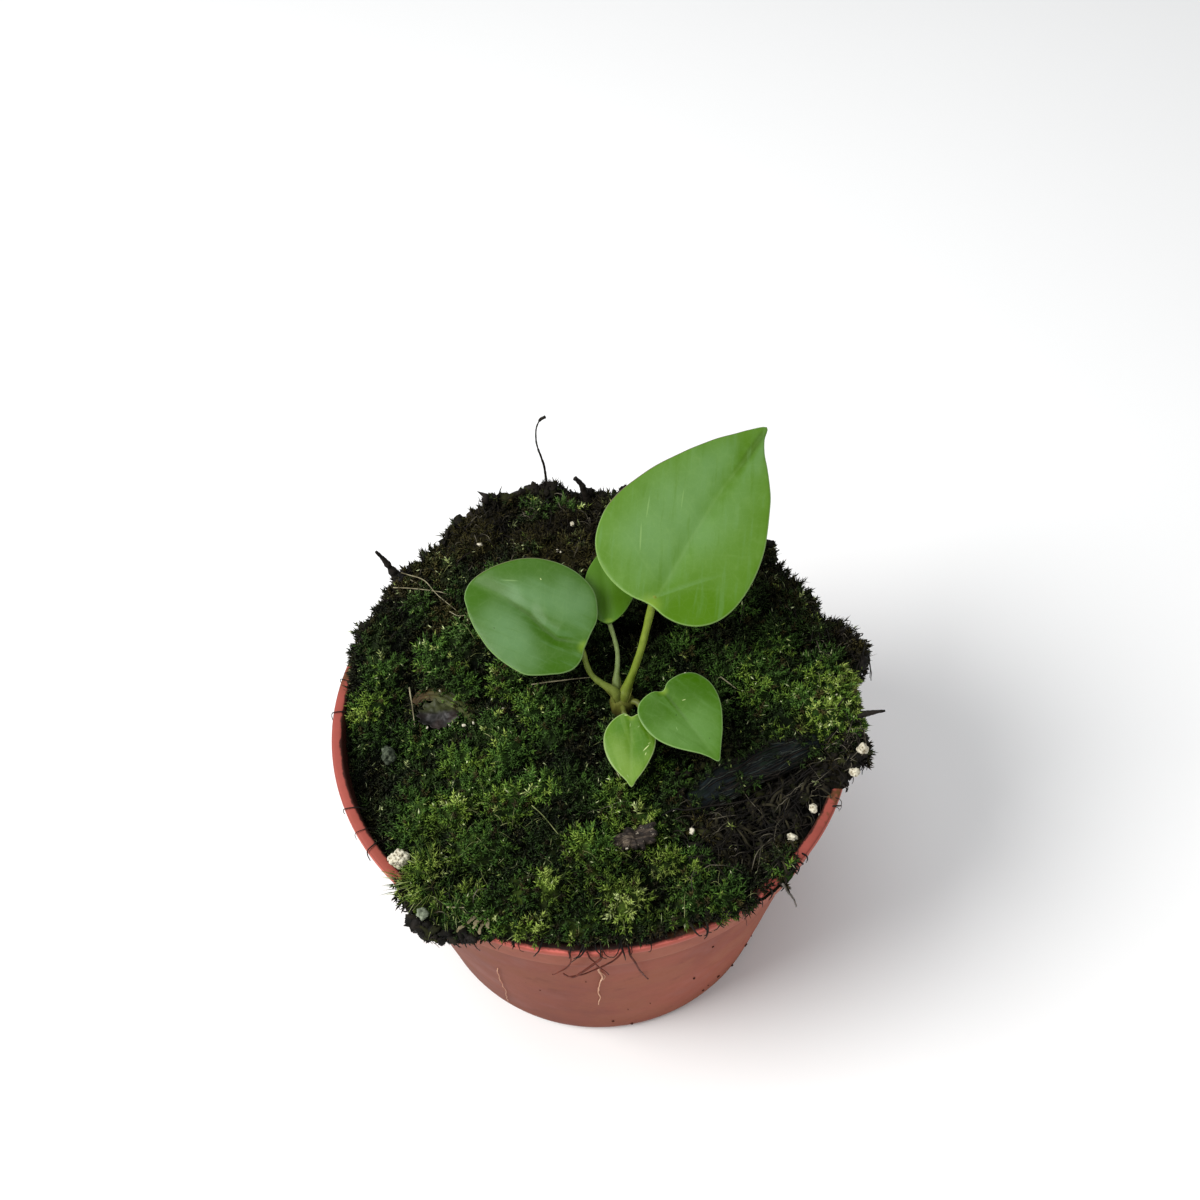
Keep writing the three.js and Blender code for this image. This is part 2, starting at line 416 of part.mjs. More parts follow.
function bladeHeight(L, s, t) {
  const q = Math.sqrt((t / L.half) ** 2 + 0.01) - 0.1;
  let h = L.rise * q - L.curl * q * q;
  const u = Math.min(1.2, Math.max(0, (s / L.len - 0.5) / 0.5));
  h -= L.tip * u * u;
  const w = Math.min(1.3, Math.max(0, (L.lobeLen - s) / L.lobeLen));
  return h - L.lobe * w * w * Math.min(q, 1.3);
}
function bladePoint(L, s, t, lift = 0) {
  const u = new THREE.Vector3(...L.u), v = new THREE.Vector3(...L.v), n = new THREE.Vector3().crossVectors(v, u);
  return new THREE.Vector3(...L.j).addScaledVector(u, s).addScaledVector(v, t).addScaledVector(n, bladeHeight(L, s, t) + lift);
}
function blade(L) {
  const n = L.outline.length, layers = 6;
  const g = new THREE.SphereGeometry(1, n, layers);
  const p = g.attributes.position;
  const c = [0.36 * L.len, 0];
  for (let j = 0; j <= layers; j++) {
    const f = j <= layers / 2 ? j / (layers / 2) : (layers - j) / (layers / 2); // 0 at the middle of a face, 1 at the edge
    const out = Math.pow(f, 0.8);
    const lift = (j < layers / 2 ? 1 : j > layers / 2 ? -1 : 0) * LEAF_T / 2 * (1 - 0.35 * f * f);
    for (let i = 0; i <= n; i++) {
      const [s, t] = L.outline[i % n];
      const q = bladePoint(L, c[0] + (s - c[0]) * out, c[1] + (t - c[1]) * out, lift);
      p.setXYZ(j * (n + 1) + i, q.x, q.y, q.z);
    }
  }
  return weld(g);
}
const LEAF_COLOUR = { rear_large: LEAF, left_round: '#689a55', rear_small: '#5b8030', front_right_heart: '#6a9a44', front_young: LEAF_YOUNG };
for (const [name, L] of Object.entries(LEAVES)) add('leaf_' + name, blade(L), LEAF_COLOUR[name], 0.32);

// ---------------------------------------------------------------- leaf stalks, from the crown to under each blade
const STALKS = {
  rear_large: { r: 0.66, foot: [0.45, 0.65], bend: [0.3, -0.5, 0.1], flare: 0.25 },
  left_round: { r: 0.47, foot: [-1.25, 0.25], bend: [-1.2, -0.2, -0.6], flare: 0.25 },
  rear_small: { r: 0.42, foot: [-0.72, 1.45], bend: [0.8, 0.4, 0.2], flare: 0.2 },
  front_right_heart: { r: 0.47, way: [[7.85, -2.75, 66.0], [8.6, -3.9, 65.9], [10.2, -5.4, 67.3], [11.6, -6.0, 70.2]], flare: 0.2 },
  front_young: { r: 0.42, way: [[5.55, -4.3, 65.9], [5.8, -5.6, 65.7], [6.2, -7.4, 66.7], [6.5, -8.8, 68.6]], flare: 0.2 },
};
for (const [name, S] of Object.entries(STALKS)) {
  const L = LEAVES[name];
  const top = bladePoint(L, 0.9, 0, -LEAF_T / 2 - GAP - S.r * 0.75);
  let way = S.way; // the two front stalks leave the side of the crown and rise under their blades
  if (!way) {
    const foot = new THREE.Vector3(CX + S.foot[0], CY + S.foot[1], CROWN_Z + GAP);
    const mid = foot.clone().lerp(top, 0.5).add(new THREE.Vector3(...S.bend));
    const lead = foot.clone().add(new THREE.Vector3((top.x - foot.x) * 0.08, (top.y - foot.y) * 0.08, 0.9));
    way = [foot.toArray(), lead.toArray(), mid.toArray()];
  }
  add('stalk_' + name, stem([...way, top.toArray()], S.r, { sides: 8, steps: 9, scale: (t) => 0.92 + S.flare * Math.max(0, (t - 0.75) / 0.25) * 0.5 }), STALK, 0.45);
}

// ---------------------------------------------------------------- small things on the carpet
const ray = new THREE.Raycaster();
for (const m of cushionMeshes) m.updateMatrixWorld(true);
function topAt(x, y) { // the highest point of the carpet near (x, y)
  let best = -Infinity;
  for (const [dx, dy] of [[0, 0], [0.5, 0], [-0.5, 0], [0, 0.5], [0, -0.5]]) {
    ray.set(new THREE.Vector3(x + dx, y + dy, 120), new THREE.Vector3(0, 0, -1));
    const hit = ray.intersectObjects(cushionMeshes)[0];
    if (hit) best = Math.max(best, hit.point.z);
  }
  return best > 0 ? best : mossHeight(x, y);
}
const laid = (xy, r, extra = 0) => xy.map(([x, y, up = 0]) => [x, y, topAt(x, y) + r + GAP + up + extra]);

add('charred_bark_lump', lumpShape(0), CHAR, 0.6);
add('bark_chip', plate(CHIP, chipZ, 1.9), BARK, 0.85);
add('fallen_leaf_piece', plate(DEAD_LEAF, leafZ, 0.9), '#4a3524', 0.8);

const GRAINS = [ // [name, x, y, radius]: pale expanded grains in the mix
  ['perlite_front_left', -31.8, -28.2, 1.75], ['perlite_right_front', 31.4, -27.2, 0.8], ['perlite_right_inner', 35.2, -22.6, 0.7],
  ['perlite_right_edge_upper', 44.4, -14.0, 0.95], ['perlite_right_edge_lower', 42.6, -17.9, 0.95], ['perlite_middle_front', 15.1, -26.2, 0.5],
  ['perlite_back', -1.4, 36.3, 0.45], ['perlite_back_left', -18.7, 32.5, 0.45],
];
GRAINS.forEach(([name, x, y, r], i) => add(name, grain(x, y, topAt(x, y) + r * 0.98 + GAP, r, i + 1, 0.85, r > 1.5 ? 2 : 1), PERLITE, 0.9));
add('grit_left', grain(-35.1, -6.7, topAt(-35.1, -6.7) + 1.55, 1.35, 3.3, 0.7), '#6f7168', 0.85);
add('grit_front_left', grain(-27.6, -38.0, topAt(-27.6, -38.0) + 1.35, 1.2, 5.1, 0.7), '#7b7a70', 0.85);

const STRAWS = [ // [name, points, radius]: dry stems lying on the moss
  ['straw_back_left_long', [[-34.6, 25.4, 0.5], [-29.7, 24.0, 0.3], [-24.0, 22.1, 0.4]], 0.3],
  ['straw_back_left_arched', [[-33.2, 28.6, 0.4], [-31.3, 27.0, 1.3], [-28.6, 24.8, 1.9], [-25.4, 20.9, 0.9], [-23.0, 18.6, 0.2]], 0.25],
  ['straw_by_crown', [[-10.0, 2.6, 0.1], [-4.1, 3.0, 0.1], [0.8, 3.2, 0.1]], 0.28],
  ['straw_right', [[22.5, 1.0, 0.1], [25.2, -1.6, 0.1]], 0.25],
  ['straw_left_pale', [[-31.4, 5.0, 0.1], [-30.9, 1.7, 0.3], [-30.3, -2.6, 0.1]], 0.28],
  ['straw_front', [[-10.3, -21.2, 0.1], [-8.3, -23.7, 0.2], [-6.0, -27.4, 0.1]], 0.22],
  ['straw_front_left', [[-23.9, -37.1, 0.1], [-21.1, -37.9, 0.1]], 0.25],
  ['root_across_middle', [[10.2, -23.9, 0.2], [12.6, -22.6, 0.4], [14.5, -22.9, 1.2], [19.5, -21.6, 1.0], [24.7, -20.6, 0.8], [29.0, -19.6, 0.2]], 0.3],
];
for (const [name, points, r] of STRAWS) add(name, stem(laid(points, r), r, { sides: 5, steps: Math.max(2, points.length * 2 - 2) }), name.startsWith('root') ? TWIG : STRAW, 0.8);

// upright and overhanging strands
add('dark_stem_back', stem([[-5.8, 46.4, topAt(-5.8, 46.2) + 0.5], [-6.0, 46.6, 73.4], [-6.4, 46.9, 75.6], [-6.8, 47, 77.6], [-7.1, 47, 80.1], [-6.9, 47, 83.1], [-6.1, 47, 85.3], [-5.1, 47, 86.0]], 0.32,
  { sides: 6, steps: 12, scale: (t) => (t > 0.93 ? 1.5 : 1.15 - 0.5 * t) }), TWIG, 0.8);
add('twig_stub_back', stem([[1.6, 44.2, topAt(1.6, 44.2) + 0.5], [0.9, 44.6, 70], [-0.4, 45, 71.8]], 0.5, { sides: 6, steps: 4, scale: (t) => 1.1 - 0.5 * t }), TWIG, 0.85);
add('twig_spike_left', stem([[-34.6, 29.2, topAt(-34.6, 29.2) + 0.5], [-36.0, 29.8, 68.7], [-37.3, 30, 71.1]], 0.6, { sides: 6, steps: 4, scale: (t) => 1.2 - 0.9 * t }), TWIG, 0.85);
add('twig_right_edge', stem([[45.2, -8.0, topAt(45.2, -8.0) + 0.6], [47.2, -8.2, 66.8], [49.2, -8.3, 67.2]], 0.45, { sides: 6, steps: 4, scale: (t) => 1.15 - 0.7 * t }), TWIG, 0.85);

// fine roots that hang over the lip and lie down the outside of the pot
const onWall = (deg, z, off) => {
  const a = deg * Math.PI / 180;
  const r = (z > POT_H ? RIM_R : z > COLLAR_Z - 1.5 ? RIM_R : outerWall(z)) + off;
  return [r * Math.cos(a), r * Math.sin(a), z];
};
const hanging = (list, r) => stem(list.map(([deg, z, off = 0]) => onWall(deg, z, GAP + r + off)), r, { sides: 5, steps: list.length * 2, scale: (t) => 1.05 - 0.45 * t });
add('hanging_root_front_long', hanging([[-90.6, 60.4, 0.15], [-92, 58.6, 0.1], [-94.5, 55.4, 0.1], [-97, 51.0, 0.6], [-99.8, 47.2, 0.1]], 0.26), TWIG, 0.8);
add('hanging_root_front_short', hanging([[-85.2, 60.4, 0.15], [-84, 56.4, 0.1], [-82.6, 51.4, 0.6], [-81.2, 46.2, 0.1]], 0.22), TWIG, 0.8);
add('hanging_root_front_right', hanging([[-51.2, 60.6, 0.15], [-51.0, 58.4, 0.3], [-50.9, 55.6, 0.5], [-50.6, 52.6, 1.2]], 0.24), TWIG, 0.8);
add('root_on_wall_front', stem([[-91.3, 50.2], [-91.6, 44.6], [-91.2, 40.2], [-92.2, 34.9]].map(([a, z]) => onWall(a, z, GAP + 0.24)), 0.22, { sides: 5, steps: 6 }), '#c9a58c', 0.7);

export default root;
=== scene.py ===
import math

import bmesh
import bpy
import numpy as np
from mathutils import Matrix, Vector


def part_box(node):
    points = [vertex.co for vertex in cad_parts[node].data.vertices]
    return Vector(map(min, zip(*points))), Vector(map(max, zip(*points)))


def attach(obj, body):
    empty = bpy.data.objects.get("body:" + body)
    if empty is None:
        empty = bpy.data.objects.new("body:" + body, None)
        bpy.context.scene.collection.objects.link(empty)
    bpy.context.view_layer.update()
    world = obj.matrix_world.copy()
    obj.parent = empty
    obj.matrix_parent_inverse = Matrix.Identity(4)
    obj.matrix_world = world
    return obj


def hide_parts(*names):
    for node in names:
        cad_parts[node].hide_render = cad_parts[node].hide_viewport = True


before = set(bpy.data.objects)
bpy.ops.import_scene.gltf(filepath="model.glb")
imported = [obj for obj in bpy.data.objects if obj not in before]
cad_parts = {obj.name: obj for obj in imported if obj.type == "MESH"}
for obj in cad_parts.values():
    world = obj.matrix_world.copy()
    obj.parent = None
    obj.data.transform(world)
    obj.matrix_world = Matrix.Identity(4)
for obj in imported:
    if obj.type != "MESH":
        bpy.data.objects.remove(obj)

# A young anthurium with five heart-shaped leaves in a carpet of moss, in a round plastic nursery pot.
# Lengths below are millimetres, and MM turns them into metres.
MM = 0.001
scene = bpy.context.scene
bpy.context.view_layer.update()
TAU = 2 * math.pi

# ---------------------------------------------------------------- camera
EYE = (0.0, -126.5, 249.25)
RIGHT = (0.99818, -0.0537, -0.02731)
UP = (0.059, 0.77965, 0.62343)
AHEAD = (0.01219, 0.62391, -0.7814)
cam_data = bpy.data.cameras.new("camera")
cam_data.lens = 39.0
cam_data.sensor_width = 36.0
cam_data.sensor_fit = "HORIZONTAL"
cam_data.clip_start = 0.01
cam_data.clip_end = 50.0
cam = bpy.data.objects.new("camera", cam_data)
scene.collection.objects.link(cam)
turn = Matrix([[RIGHT[k], UP[k], -AHEAD[k]] for k in range(3)])
cam.matrix_world = Matrix.Translation(Vector(EYE) * MM) @ turn.to_4x4()
scene.camera = cam

# ---------------------------------------------------------------- light
scene.view_settings.view_transform = "Standard"
world = bpy.data.worlds.new("room")
world.use_nodes = True
world.node_tree.nodes["Background"].inputs["Color"].default_value = (0.96, 0.98, 1.0, 1)
world.node_tree.nodes["Background"].inputs["Strength"].default_value = 0.48
scene.world = world


def area(name, place, aim, size, watts, colour):
    data = bpy.data.lights.new(name, "AREA")
    data.shape = "DISK"
    data.size = size
    data.energy = watts
    data.color = colour
    lamp = bpy.data.objects.new(name, data)
    scene.collection.objects.link(lamp)
    lamp.location = place
    lamp.rotation_euler = (Vector(aim) - Vector(place)).to_track_quat("-Z", "Y").to_euler()
    return lamp


area("key", (-0.55, -0.15, 0.64), (0, 0, 0.05), 0.5, 7.8, (1.0, 0.99, 0.97))
area("top", (-0.06, 0.08, 0.85), (0, 0, 0.06), 0.5, 1.5, (0.97, 0.99, 1.0))
area("fill", (0.30, -0.75, 0.24), (0, 0, 0.04), 0.5, 1.0, (1.0, 0.98, 0.96))


# ---------------------------------------------------------------- colours and noise
def lin(*rgb):
    return tuple((c / 255 / 12.92 if c / 255 <= 0.04045 else ((c / 255 + 0.055) / 1.055) ** 2.4) for c in rgb)


def lattice(ix, iy, iz, seed):
    h = (ix.astype(np.uint32) * np.uint32(374761393) + iy.astype(np.uint32) * np.uint32(668265263)
         + iz.astype(np.uint32) * np.uint32(2246822519) + np.uint32(seed * 3266489917 % 4294967296))
    h = (h ^ (h >> np.uint32(13))) * np.uint32(1274126177)
    h = h ^ (h >> np.uint32(16))
    h = h * np.uint32(2654435761)
    return (h ^ (h >> np.uint32(15))).astype(np.float64) / 4294967295.0


def noise(p, size, seed=0, octaves=1):
    """Smooth noise from -1 to 1 at points p in mm."""
    out, gain, total = 0.0, 1.0, 0.0
    for o in range(octaves):
        q = p / (size / 2 ** o) + 31.7 * o
        i = np.floor(q).astype(np.int64)
        f = q - i
        f = f * f * (3 - 2 * f)
        v = 0.0
        for dx in (0, 1):
            for dy in (0, 1):
                for dz in (0, 1):
                    w = ((f[:, 0] if dx else 1 - f[:, 0]) * (f[:, 1] if dy else 1 - f[:, 1]) * (f[:, 2] if dz else 1 - f[:, 2]))
                    v = v + w * lattice(i[:, 0] + dx, i[:, 1] + dy, i[:, 2] + dz, seed + 7 * o)
        out = out + gain * (2 * v - 1)
        total += gain
        gain *= 0.5
    return out / total


def cells(x, y, size, seed):
    """The distance to the nearest scattered point in units of size, that point's own random number, and the way to it in mm."""
    gx, gy = x / size, y / size
    ix, iy = np.floor(gx).astype(np.int64), np.floor(gy).astype(np.int64)
    zero = np.zeros_like(ix)
    best = np.full(x.shape, 9.0)
    who, wx, wy = np.zeros(x.shape), np.zeros(x.shape), np.zeros(x.shape)
    for dx in (-1, 0, 1):
        for dy in (-1, 0, 1):
            cx, cy = ix + dx, iy + dy
            ex, ey = cx + lattice(cx, cy, zero, seed) - gx, cy + lattice(cx, cy, zero, seed + 1) - gy
            d = np.hypot(ex, ey)
            near = d < best
            best = np.where(near, d, best)
            who = np.where(near, lattice(cx, cy, zero, seed + 2), who)
            wx, wy = np.where(near, ex * size, wx), np.where(near, ey * size, wy)
    return best, who, wx, wy


# ---------------------------------------------------------------- meshes
class Heap:
    """Gathers closed bodies into one mesh."""

    def __init__(self):
        self.v, self.flat, self.lens, self.mat, self.uv, self.n = [], [], [], [], [], 0

    def add(self, verts, faces, mat=0, uv=None):
        verts = np.asarray(verts, float)
        for f in faces:
            f = np.asarray(f, np.int64)
            if not len(f):
                continue
            self.flat.append((f + self.n).ravel())
            self.lens.append(np.full(len(f), f.shape[1]))
            self.mat.append(np.full(len(f), mat))
            self.uv.append(np.zeros((f.size, 2)) if uv is None else np.asarray(uv, float)[f.ravel()])
        self.v.append(verts)
        self.n += len(verts)

    def tris(self):
        return int(sum((x - 2).sum() for x in self.lens))


TABLE = {}


def piece(name, heap, materials, replaces=(), smooth=True, uv_name=None, numbers=None):
    me = bpy.data.meshes.new(name)
    verts = np.concatenate(heap.v) * MM
    flat, lens, mat = np.concatenate(heap.flat), np.concatenate(heap.lens), np.concatenate(heap.mat)
    me.vertices.add(len(verts))
    me.vertices.foreach_set("co", verts.ravel())
    me.loops.add(len(flat))
    me.loops.foreach_set("vertex_index", flat.astype(np.int32))
    me.polygons.add(len(lens))
    me.polygons.foreach_set("loop_start", np.concatenate([[0], np.cumsum(lens)[:-1]]).astype(np.int32))
    me.polygons.foreach_set("material_index", mat.astype(np.int32))
    me.polygons.foreach_set("use_smooth", np.full(len(lens), smooth))
    if uv_name:
        layer = me.uv_layers.new(name=uv_name)
        layer.uv.foreach_set("vector", np.concatenate(heap.uv).astype(np.float32).ravel())
    for key, values in (numbers or {}).items():
        me.attributes.new(key, "FLOAT", "POINT").data.foreach_set("value", np.asarray(values, np.float32))
    for m in materials:
        me.materials.append(m)
    me.update(calc_edges=True)
    ob = bpy.data.objects.new(name, me)
    scene.collection.objects.link(ob)
    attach(ob, "root")
    if replaces:
        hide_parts(*replaces)
    TABLE[name] = heap.tris()
    return ob


def unit(v):
    return v / np.maximum(np.linalg.norm(v, axis=-1, keepdims=True), 1e-12)


def spline(points, n):
    """n points on a smooth curve through the given points, evenly spread."""
    p = np.asarray(points, float)
    q = np.vstack([2 * p[0] - p[1], p, 2 * p[-1] - p[-2]])
    t = np.linspace(0, 1, 24, endpoint=False)[:, None]
    out = []
    for k in range(1, len(q) - 2):
        a, b, c, d = q[k - 1:k + 3]
        out.append(0.5 * (2 * b + (c - a) * t + (2 * a - 5 * b + 4 * c - d) * t ** 2 + (3 * b - a - 3 * c + d) * t ** 3))
    out = np.vstack(out + [p[-1:]])
    s = np.concatenate([[0], np.cumsum(np.linalg.norm(np.diff(out, axis=0), axis=1))])
    return np.stack([np.interp(np.linspace(0, s[-1], n), s, out[:, k]) for k in range(3)], 1)


def tubes(paths, radii, sides=3, ref=(0, 0, 1), flat=1.0, twist=0.0):
    """Closed tubes along paths (N, K, 3) of radii (N, K): vertices and faces."""
    paths, radii = np.asarray(paths, float), np.asarray(radii, float)
    n, k = radii.shape
    along = np.empty_like(paths)
    along[:, 1:-1] = paths[:, 2:] - paths[:, :-2]
    along[:, 0] = paths[:, 1] - paths[:, 0]
    along[:, -1] = paths[:, -1] - paths[:, -2]
    along = unit(along)
    ref = np.broadcast_to(np.asarray(ref, float), along.shape)
    side = unit(np.cross(along, ref))
    over = np.cross(side, along)
    a = np.arange(sides) / sides * TAU + twist
    ring = np.cos(a)[:, None] * side[:, :, None] + np.sin(a)[:, None] * over[:, :, None] * flat
    v = paths[:, :, None] + ring * radii[:, :, None, None]
    base = (np.arange(n) * k * sides)[:, None, None]
    j = (np.arange(k - 1) * sides)[None, :, None]
    i = np.arange(sides)[None, None]
    i2 = (i + 1) % sides
    quads = np.stack(np.broadcast_arrays(base + j + i, base + j + i2, base + j + sides + i2, base + j + sides + i), -1).reshape(-1, 4)
    ends = np.concatenate([(base[:, :, 0] + np.arange(sides)[None, ::-1]), (base[:, :, 0] + (k - 1) * sides + np.arange(sides)[None])])
    # the ring turns from side towards over, which is against the clock seen from the far end
    return v.reshape(-1, 3), [quads[:, ::-1], ends[:, ::-1]]


def spikes(base, way, length, width, tone, rng, curl=None):
    """Closed three-sided shoots. Their map holds the tone across and base to tip upwards."""
    n = len(base)
    way = unit(way)
    ref = np.where(np.abs(way[:, 2:]) < 0.8, np.array([[0, 0, 1.0]]), np.array([[1.0, 0, 0]]))
    s = unit(np.cross(way, ref))
    t = np.cross(way, s)
    a = rng.uniform(0, TAU, n)
    rows = []
    for k in range(3):
        c = a + k * TAU / 3
        flat = 1.0 if k else 0.55
        rows.append(base + (np.cos(c)[:, None] * s + np.sin(c)[:, None] * t) * (width * flat)[:, None])
    tip = base + way * length[:, None]
    if curl is None:
        v = np.stack(rows + [tip], 1).reshape(-1, 3)
        i = (np.arange(n) * 4)[:, None]
        faces = [np.concatenate([i + [0, 1, 3], i + [1, 2, 3], i + [2, 0, 3], i + [0, 2, 1]])]
        uv = np.stack([np.stack([tone - 0.004, np.full(n, 0.02)], 1), np.stack([tone + 0.004, np.full(n, 0.02)], 1),
                       np.stack([tone + 0.001, np.full(n, 0.04)], 1), np.stack([tone, np.full(n, 0.98)], 1)], 1).reshape(-1, 2)
    else:
        bent = unit(way + curl)
        mid = [r + way * (length * 0.5)[:, None] - (r - base) * 0.25 for r in rows]
        tip = base + way * (length * 0.5)[:, None] + bent * (length * 0.5)[:, None]
        v = np.stack(rows + mid + [tip], 1).reshape(-1, 3)
        i = (np.arange(n) * 7)[:, None]
        faces = [np.concatenate([i + [0, 1, 4, 3], i + [1, 2, 5, 4], i + [2, 0, 3, 5]]),
                 np.concatenate([i + [3, 4, 6], i + [4, 5, 6], i + [5, 3, 6], i + [0, 2, 1]])]
        uv = np.stack([np.stack([tone + d, np.full(n, h)], 1) for d, h in
                       ((-0.004, 0.02), (0.004, 0.02), (0.001, 0.04), (-0.004, 0.5), (0.004, 0.5), (0.001, 0.52), (0, 0.98))], 1).reshape(-1, 2)
    return v, faces, np.clip(uv, 0.002, 0.998)


# ---------------------------------------------------------------- materials
class Look:
    def __init__(self, name, rough=0.6, specular=0.5):
        self.m = bpy.data.materials.new(name)
        self.m.use_nodes = True
        self.nt = self.m.node_tree
        self.b = self.nt.nodes["Principled BSDF"]
        self.b.inputs["Roughness"].default_value = rough
        self.b.inputs["Specular IOR Level"].default_value = specular

    def node(self, kind, **props):
        n = self.nt.nodes.new(kind)
        for key, value in props.items():
            setattr(n, key, value)
        return n

    def put(self, socket, value):
        if isinstance(value, bpy.types.NodeSocket):
            self.nt.links.new(value, socket)
        elif isinstance(value, tuple) and len(value) == 3 and socket.type == "RGBA":
            socket.default_value = (*value, 1)
        else:
            socket.default_value = value

    def place(self):
        return self.node("ShaderNodeTexCoord").outputs["Object"]

    def uv(self, name):
        return self.node("ShaderNodeUVMap", uv_map=name).outputs["UV"]

    def number(self, name):
        return self.node("ShaderNodeAttribute", attribute_name=name).outputs["Fac"]

    def split(self, vector):
        n = self.node("ShaderNodeSeparateXYZ")
        self.put(n.inputs[0], vector)
        return n.outputs

    def stretched(self, vector, scale):
        n = self.node("ShaderNodeMapping")
        self.put(n.inputs["Vector"], vector)
        n.inputs["Scale"].default_value = scale
        return n.outputs[0]

    def turned(self, vector, angle):
        n = self.node("ShaderNodeMapping")
        self.put(n.inputs["Vector"], vector)
        n.inputs["Rotation"].default_value = (0, 0, angle)
        return n.outputs[0]

    def noise(self, size_mm, detail=2.0, rough=0.5, vector=None, distort=0.0):
        n = self.node("ShaderNodeTexNoise")
        self.put(n.inputs["Vector"], self.place() if vector is None else vector)
        n.inputs["Scale"].default_value = 1000.0 / size_mm if vector is None else size_mm
        n.inputs["Detail"].default_value = detail
        n.inputs["Roughness"].default_value = rough
        n.inputs["Distortion"].default_value = distort
        return n.outputs["Fac"]

    def voronoi(self, size_mm, feature="F1", vector=None, out="Distance"):
        n = self.node("ShaderNodeTexVoronoi", feature=feature)
        self.put(n.inputs["Vector"], self.place() if vector is None else vector)
        n.inputs["Scale"].default_value = 1000.0 / size_mm if vector is None else size_mm
        return n.outputs[out]

    def ramp(self, value, stops, mode="LINEAR"):
        n = self.node("ShaderNodeValToRGB")
        self.put(n.inputs[0], value)
        e = n.color_ramp.elements
        n.color_ramp.interpolation = mode
        while len(e) < len(stops):
            e.new(1.0)
        for k, (at, c) in enumerate(stops):
            e[k].position = at
            c = (c, c, c) if isinstance(c, (int, float)) else c
            e[k].color = (*c, 1)
        return n.outputs["Color"]

    def fade(self, value, low, high, to_low=0.0, to_high=1.0):
        n = self.node("ShaderNodeMapRange", interpolation_type="SMOOTHSTEP")
        self.put(n.inputs["Value"], value)
        n.inputs["From Min"].default_value, n.inputs["From Max"].default_value = low, high
        n.inputs["To Min"].default_value, n.inputs["To Max"].default_value = to_low, to_high
        return n.outputs["Result"]

    def math(self, op, a, b=0.0, clamp=False):
        n = self.node("ShaderNodeMath", operation=op, use_clamp=clamp)
        self.put(n.inputs[0], a)
        self.put(n.inputs[1], b)
        return n.outputs[0]

    def mix(self, fac, a, b, blend="MIX"):
        n = self.node("ShaderNodeMix", data_type="RGBA", blend_type=blend)
        self.put(n.inputs[0], fac)
        self.put(n.inputs[6], a)
        self.put(n.inputs[7], b)
        return n.outputs[2]

    def bump(self, height, strength=0.3, distance_mm=0.3, normal=None):
        n = self.node("ShaderNodeBump")
        self.put(n.inputs["Height"], height)
        n.inputs["Strength"].default_value = strength
        n.inputs["Distance"].default_value = distance_mm * MM
        if normal is not None:
            self.put(n.inputs["Normal"], normal)
        return n.outputs[0]

    def done(self, colour, rough=None, normal=None):
        self.put(self.b.inputs["Base Color"], colour)
        if rough is not None:
            self.put(self.b.inputs["Roughness"], rough)
        if normal is not None:
            self.put(self.b.inputs["Normal"], normal)
        return self.m


# moss tones: dead and black, brown, olive, deep green, green, yellow green, pale; the pale end also serves for painted
# glints
PALETTE = [
    (0.00, lin(12, 11, 6)), (0.12, lin(30, 26, 14)), (0.24, lin(54, 49, 20)), (0.36, lin(29, 37, 13)), (0.50, lin(38, 56, 19)),
    (0.64, lin(53, 82, 27)), (0.78, lin(86, 108, 33)), (0.90, lin(120, 134, 64)), (1.00, lin(172, 180, 138)),
]


def moss_material():
    k = Look("moss_shoots", 0.6, 0.16)
    x, y, _ = k.split(k.uv("OFBake"))
    y = k.math("MULTIPLY", y, 2.0)
    tone = k.ramp(x, PALETTE)
    # the map's height carries painted light and shade: darker low on the shoots and in the valleys between cushions,
    # brighter on the cushion tops
    rise = k.ramp(y, [(0.0, 0.09), (0.2, 0.33), (0.4, 0.85), (0.65, 1.45), (1.0, 2.3)])
    colour = k.mix(1.0, tone, rise, "MULTIPLY")
    # a painted pale highlight on the brightest tips
    pale = k.math("MULTIPLY", k.fade(y, 0.6, 1.0), 0.12)
    colour = k.mix(pale, colour, lin(150, 168, 112))
    return k.done(colour)


def ground_material():
    k = Look("moss_ground", 0.9, 0.1)
    tone = k.math("ADD", k.number("tone"), k.math("MULTIPLY", k.math("SUBTRACT", k.noise(1.4, 3), 0.5), 0.22))
    colour = k.ramp(tone, PALETTE)
    grains = k.noise(0.45, 3, 0.6)
    colour = k.mix(1.0, colour, k.ramp(grains, [(0.25, 0.12), (0.55, 0.35), (0.75, 0.75)]), "MULTIPLY")
    # painted light and shade from the light number: dark in the valleys between cushions, bright on their tops
    colour = k.mix(1.0, colour, k.ramp(k.number("light"), [(0.0, 0.2), (0.5, 1.0), (1.0, 1.8)]), "MULTIPLY")
    return k.done(colour, k.fade(grains, 0.3, 0.7, 0.75, 0.95), k.bump(grains, 0.8, 0.35))


def soil_material():
    k = Look("soil", 0.9, 0.15)
    big, fine = k.noise(2.2, 3), k.noise(0.5, 4, 0.65)
    colour = k.ramp(big, [(0.3, lin(7, 7, 5)), (0.5, lin(17, 15, 10)), (0.7, lin(38, 33, 23))])
    colour = k.mix(1.0, colour, k.ramp(fine, [(0.3, 0.4), (0.7, 1.35)]), "MULTIPLY")
    return k.done(colour, k.fade(fine, 0.3, 0.7, 0.7, 0.98), k.bump(fine, 0.7, 0.3))


def strand_material(name, dark, light, rough=0.7):
    k = Look(name, rough, 0.15)
    v = k.noise(3.0, 3, 0.6)
    fine = k.noise(0.35, 2)
    colour = k.ramp(v, [(0.35, dark), (0.65, light)])
    colour = k.mix(1.0, colour, k.ramp(fine, [(0.3, 0.75), (0.7, 1.2)]), "MULTIPLY")
    return k.done(colour, k.fade(fine, 0.3, 0.7, rough - 0.1, rough + 0.15), k.bump(fine, 0.4, 0.08))


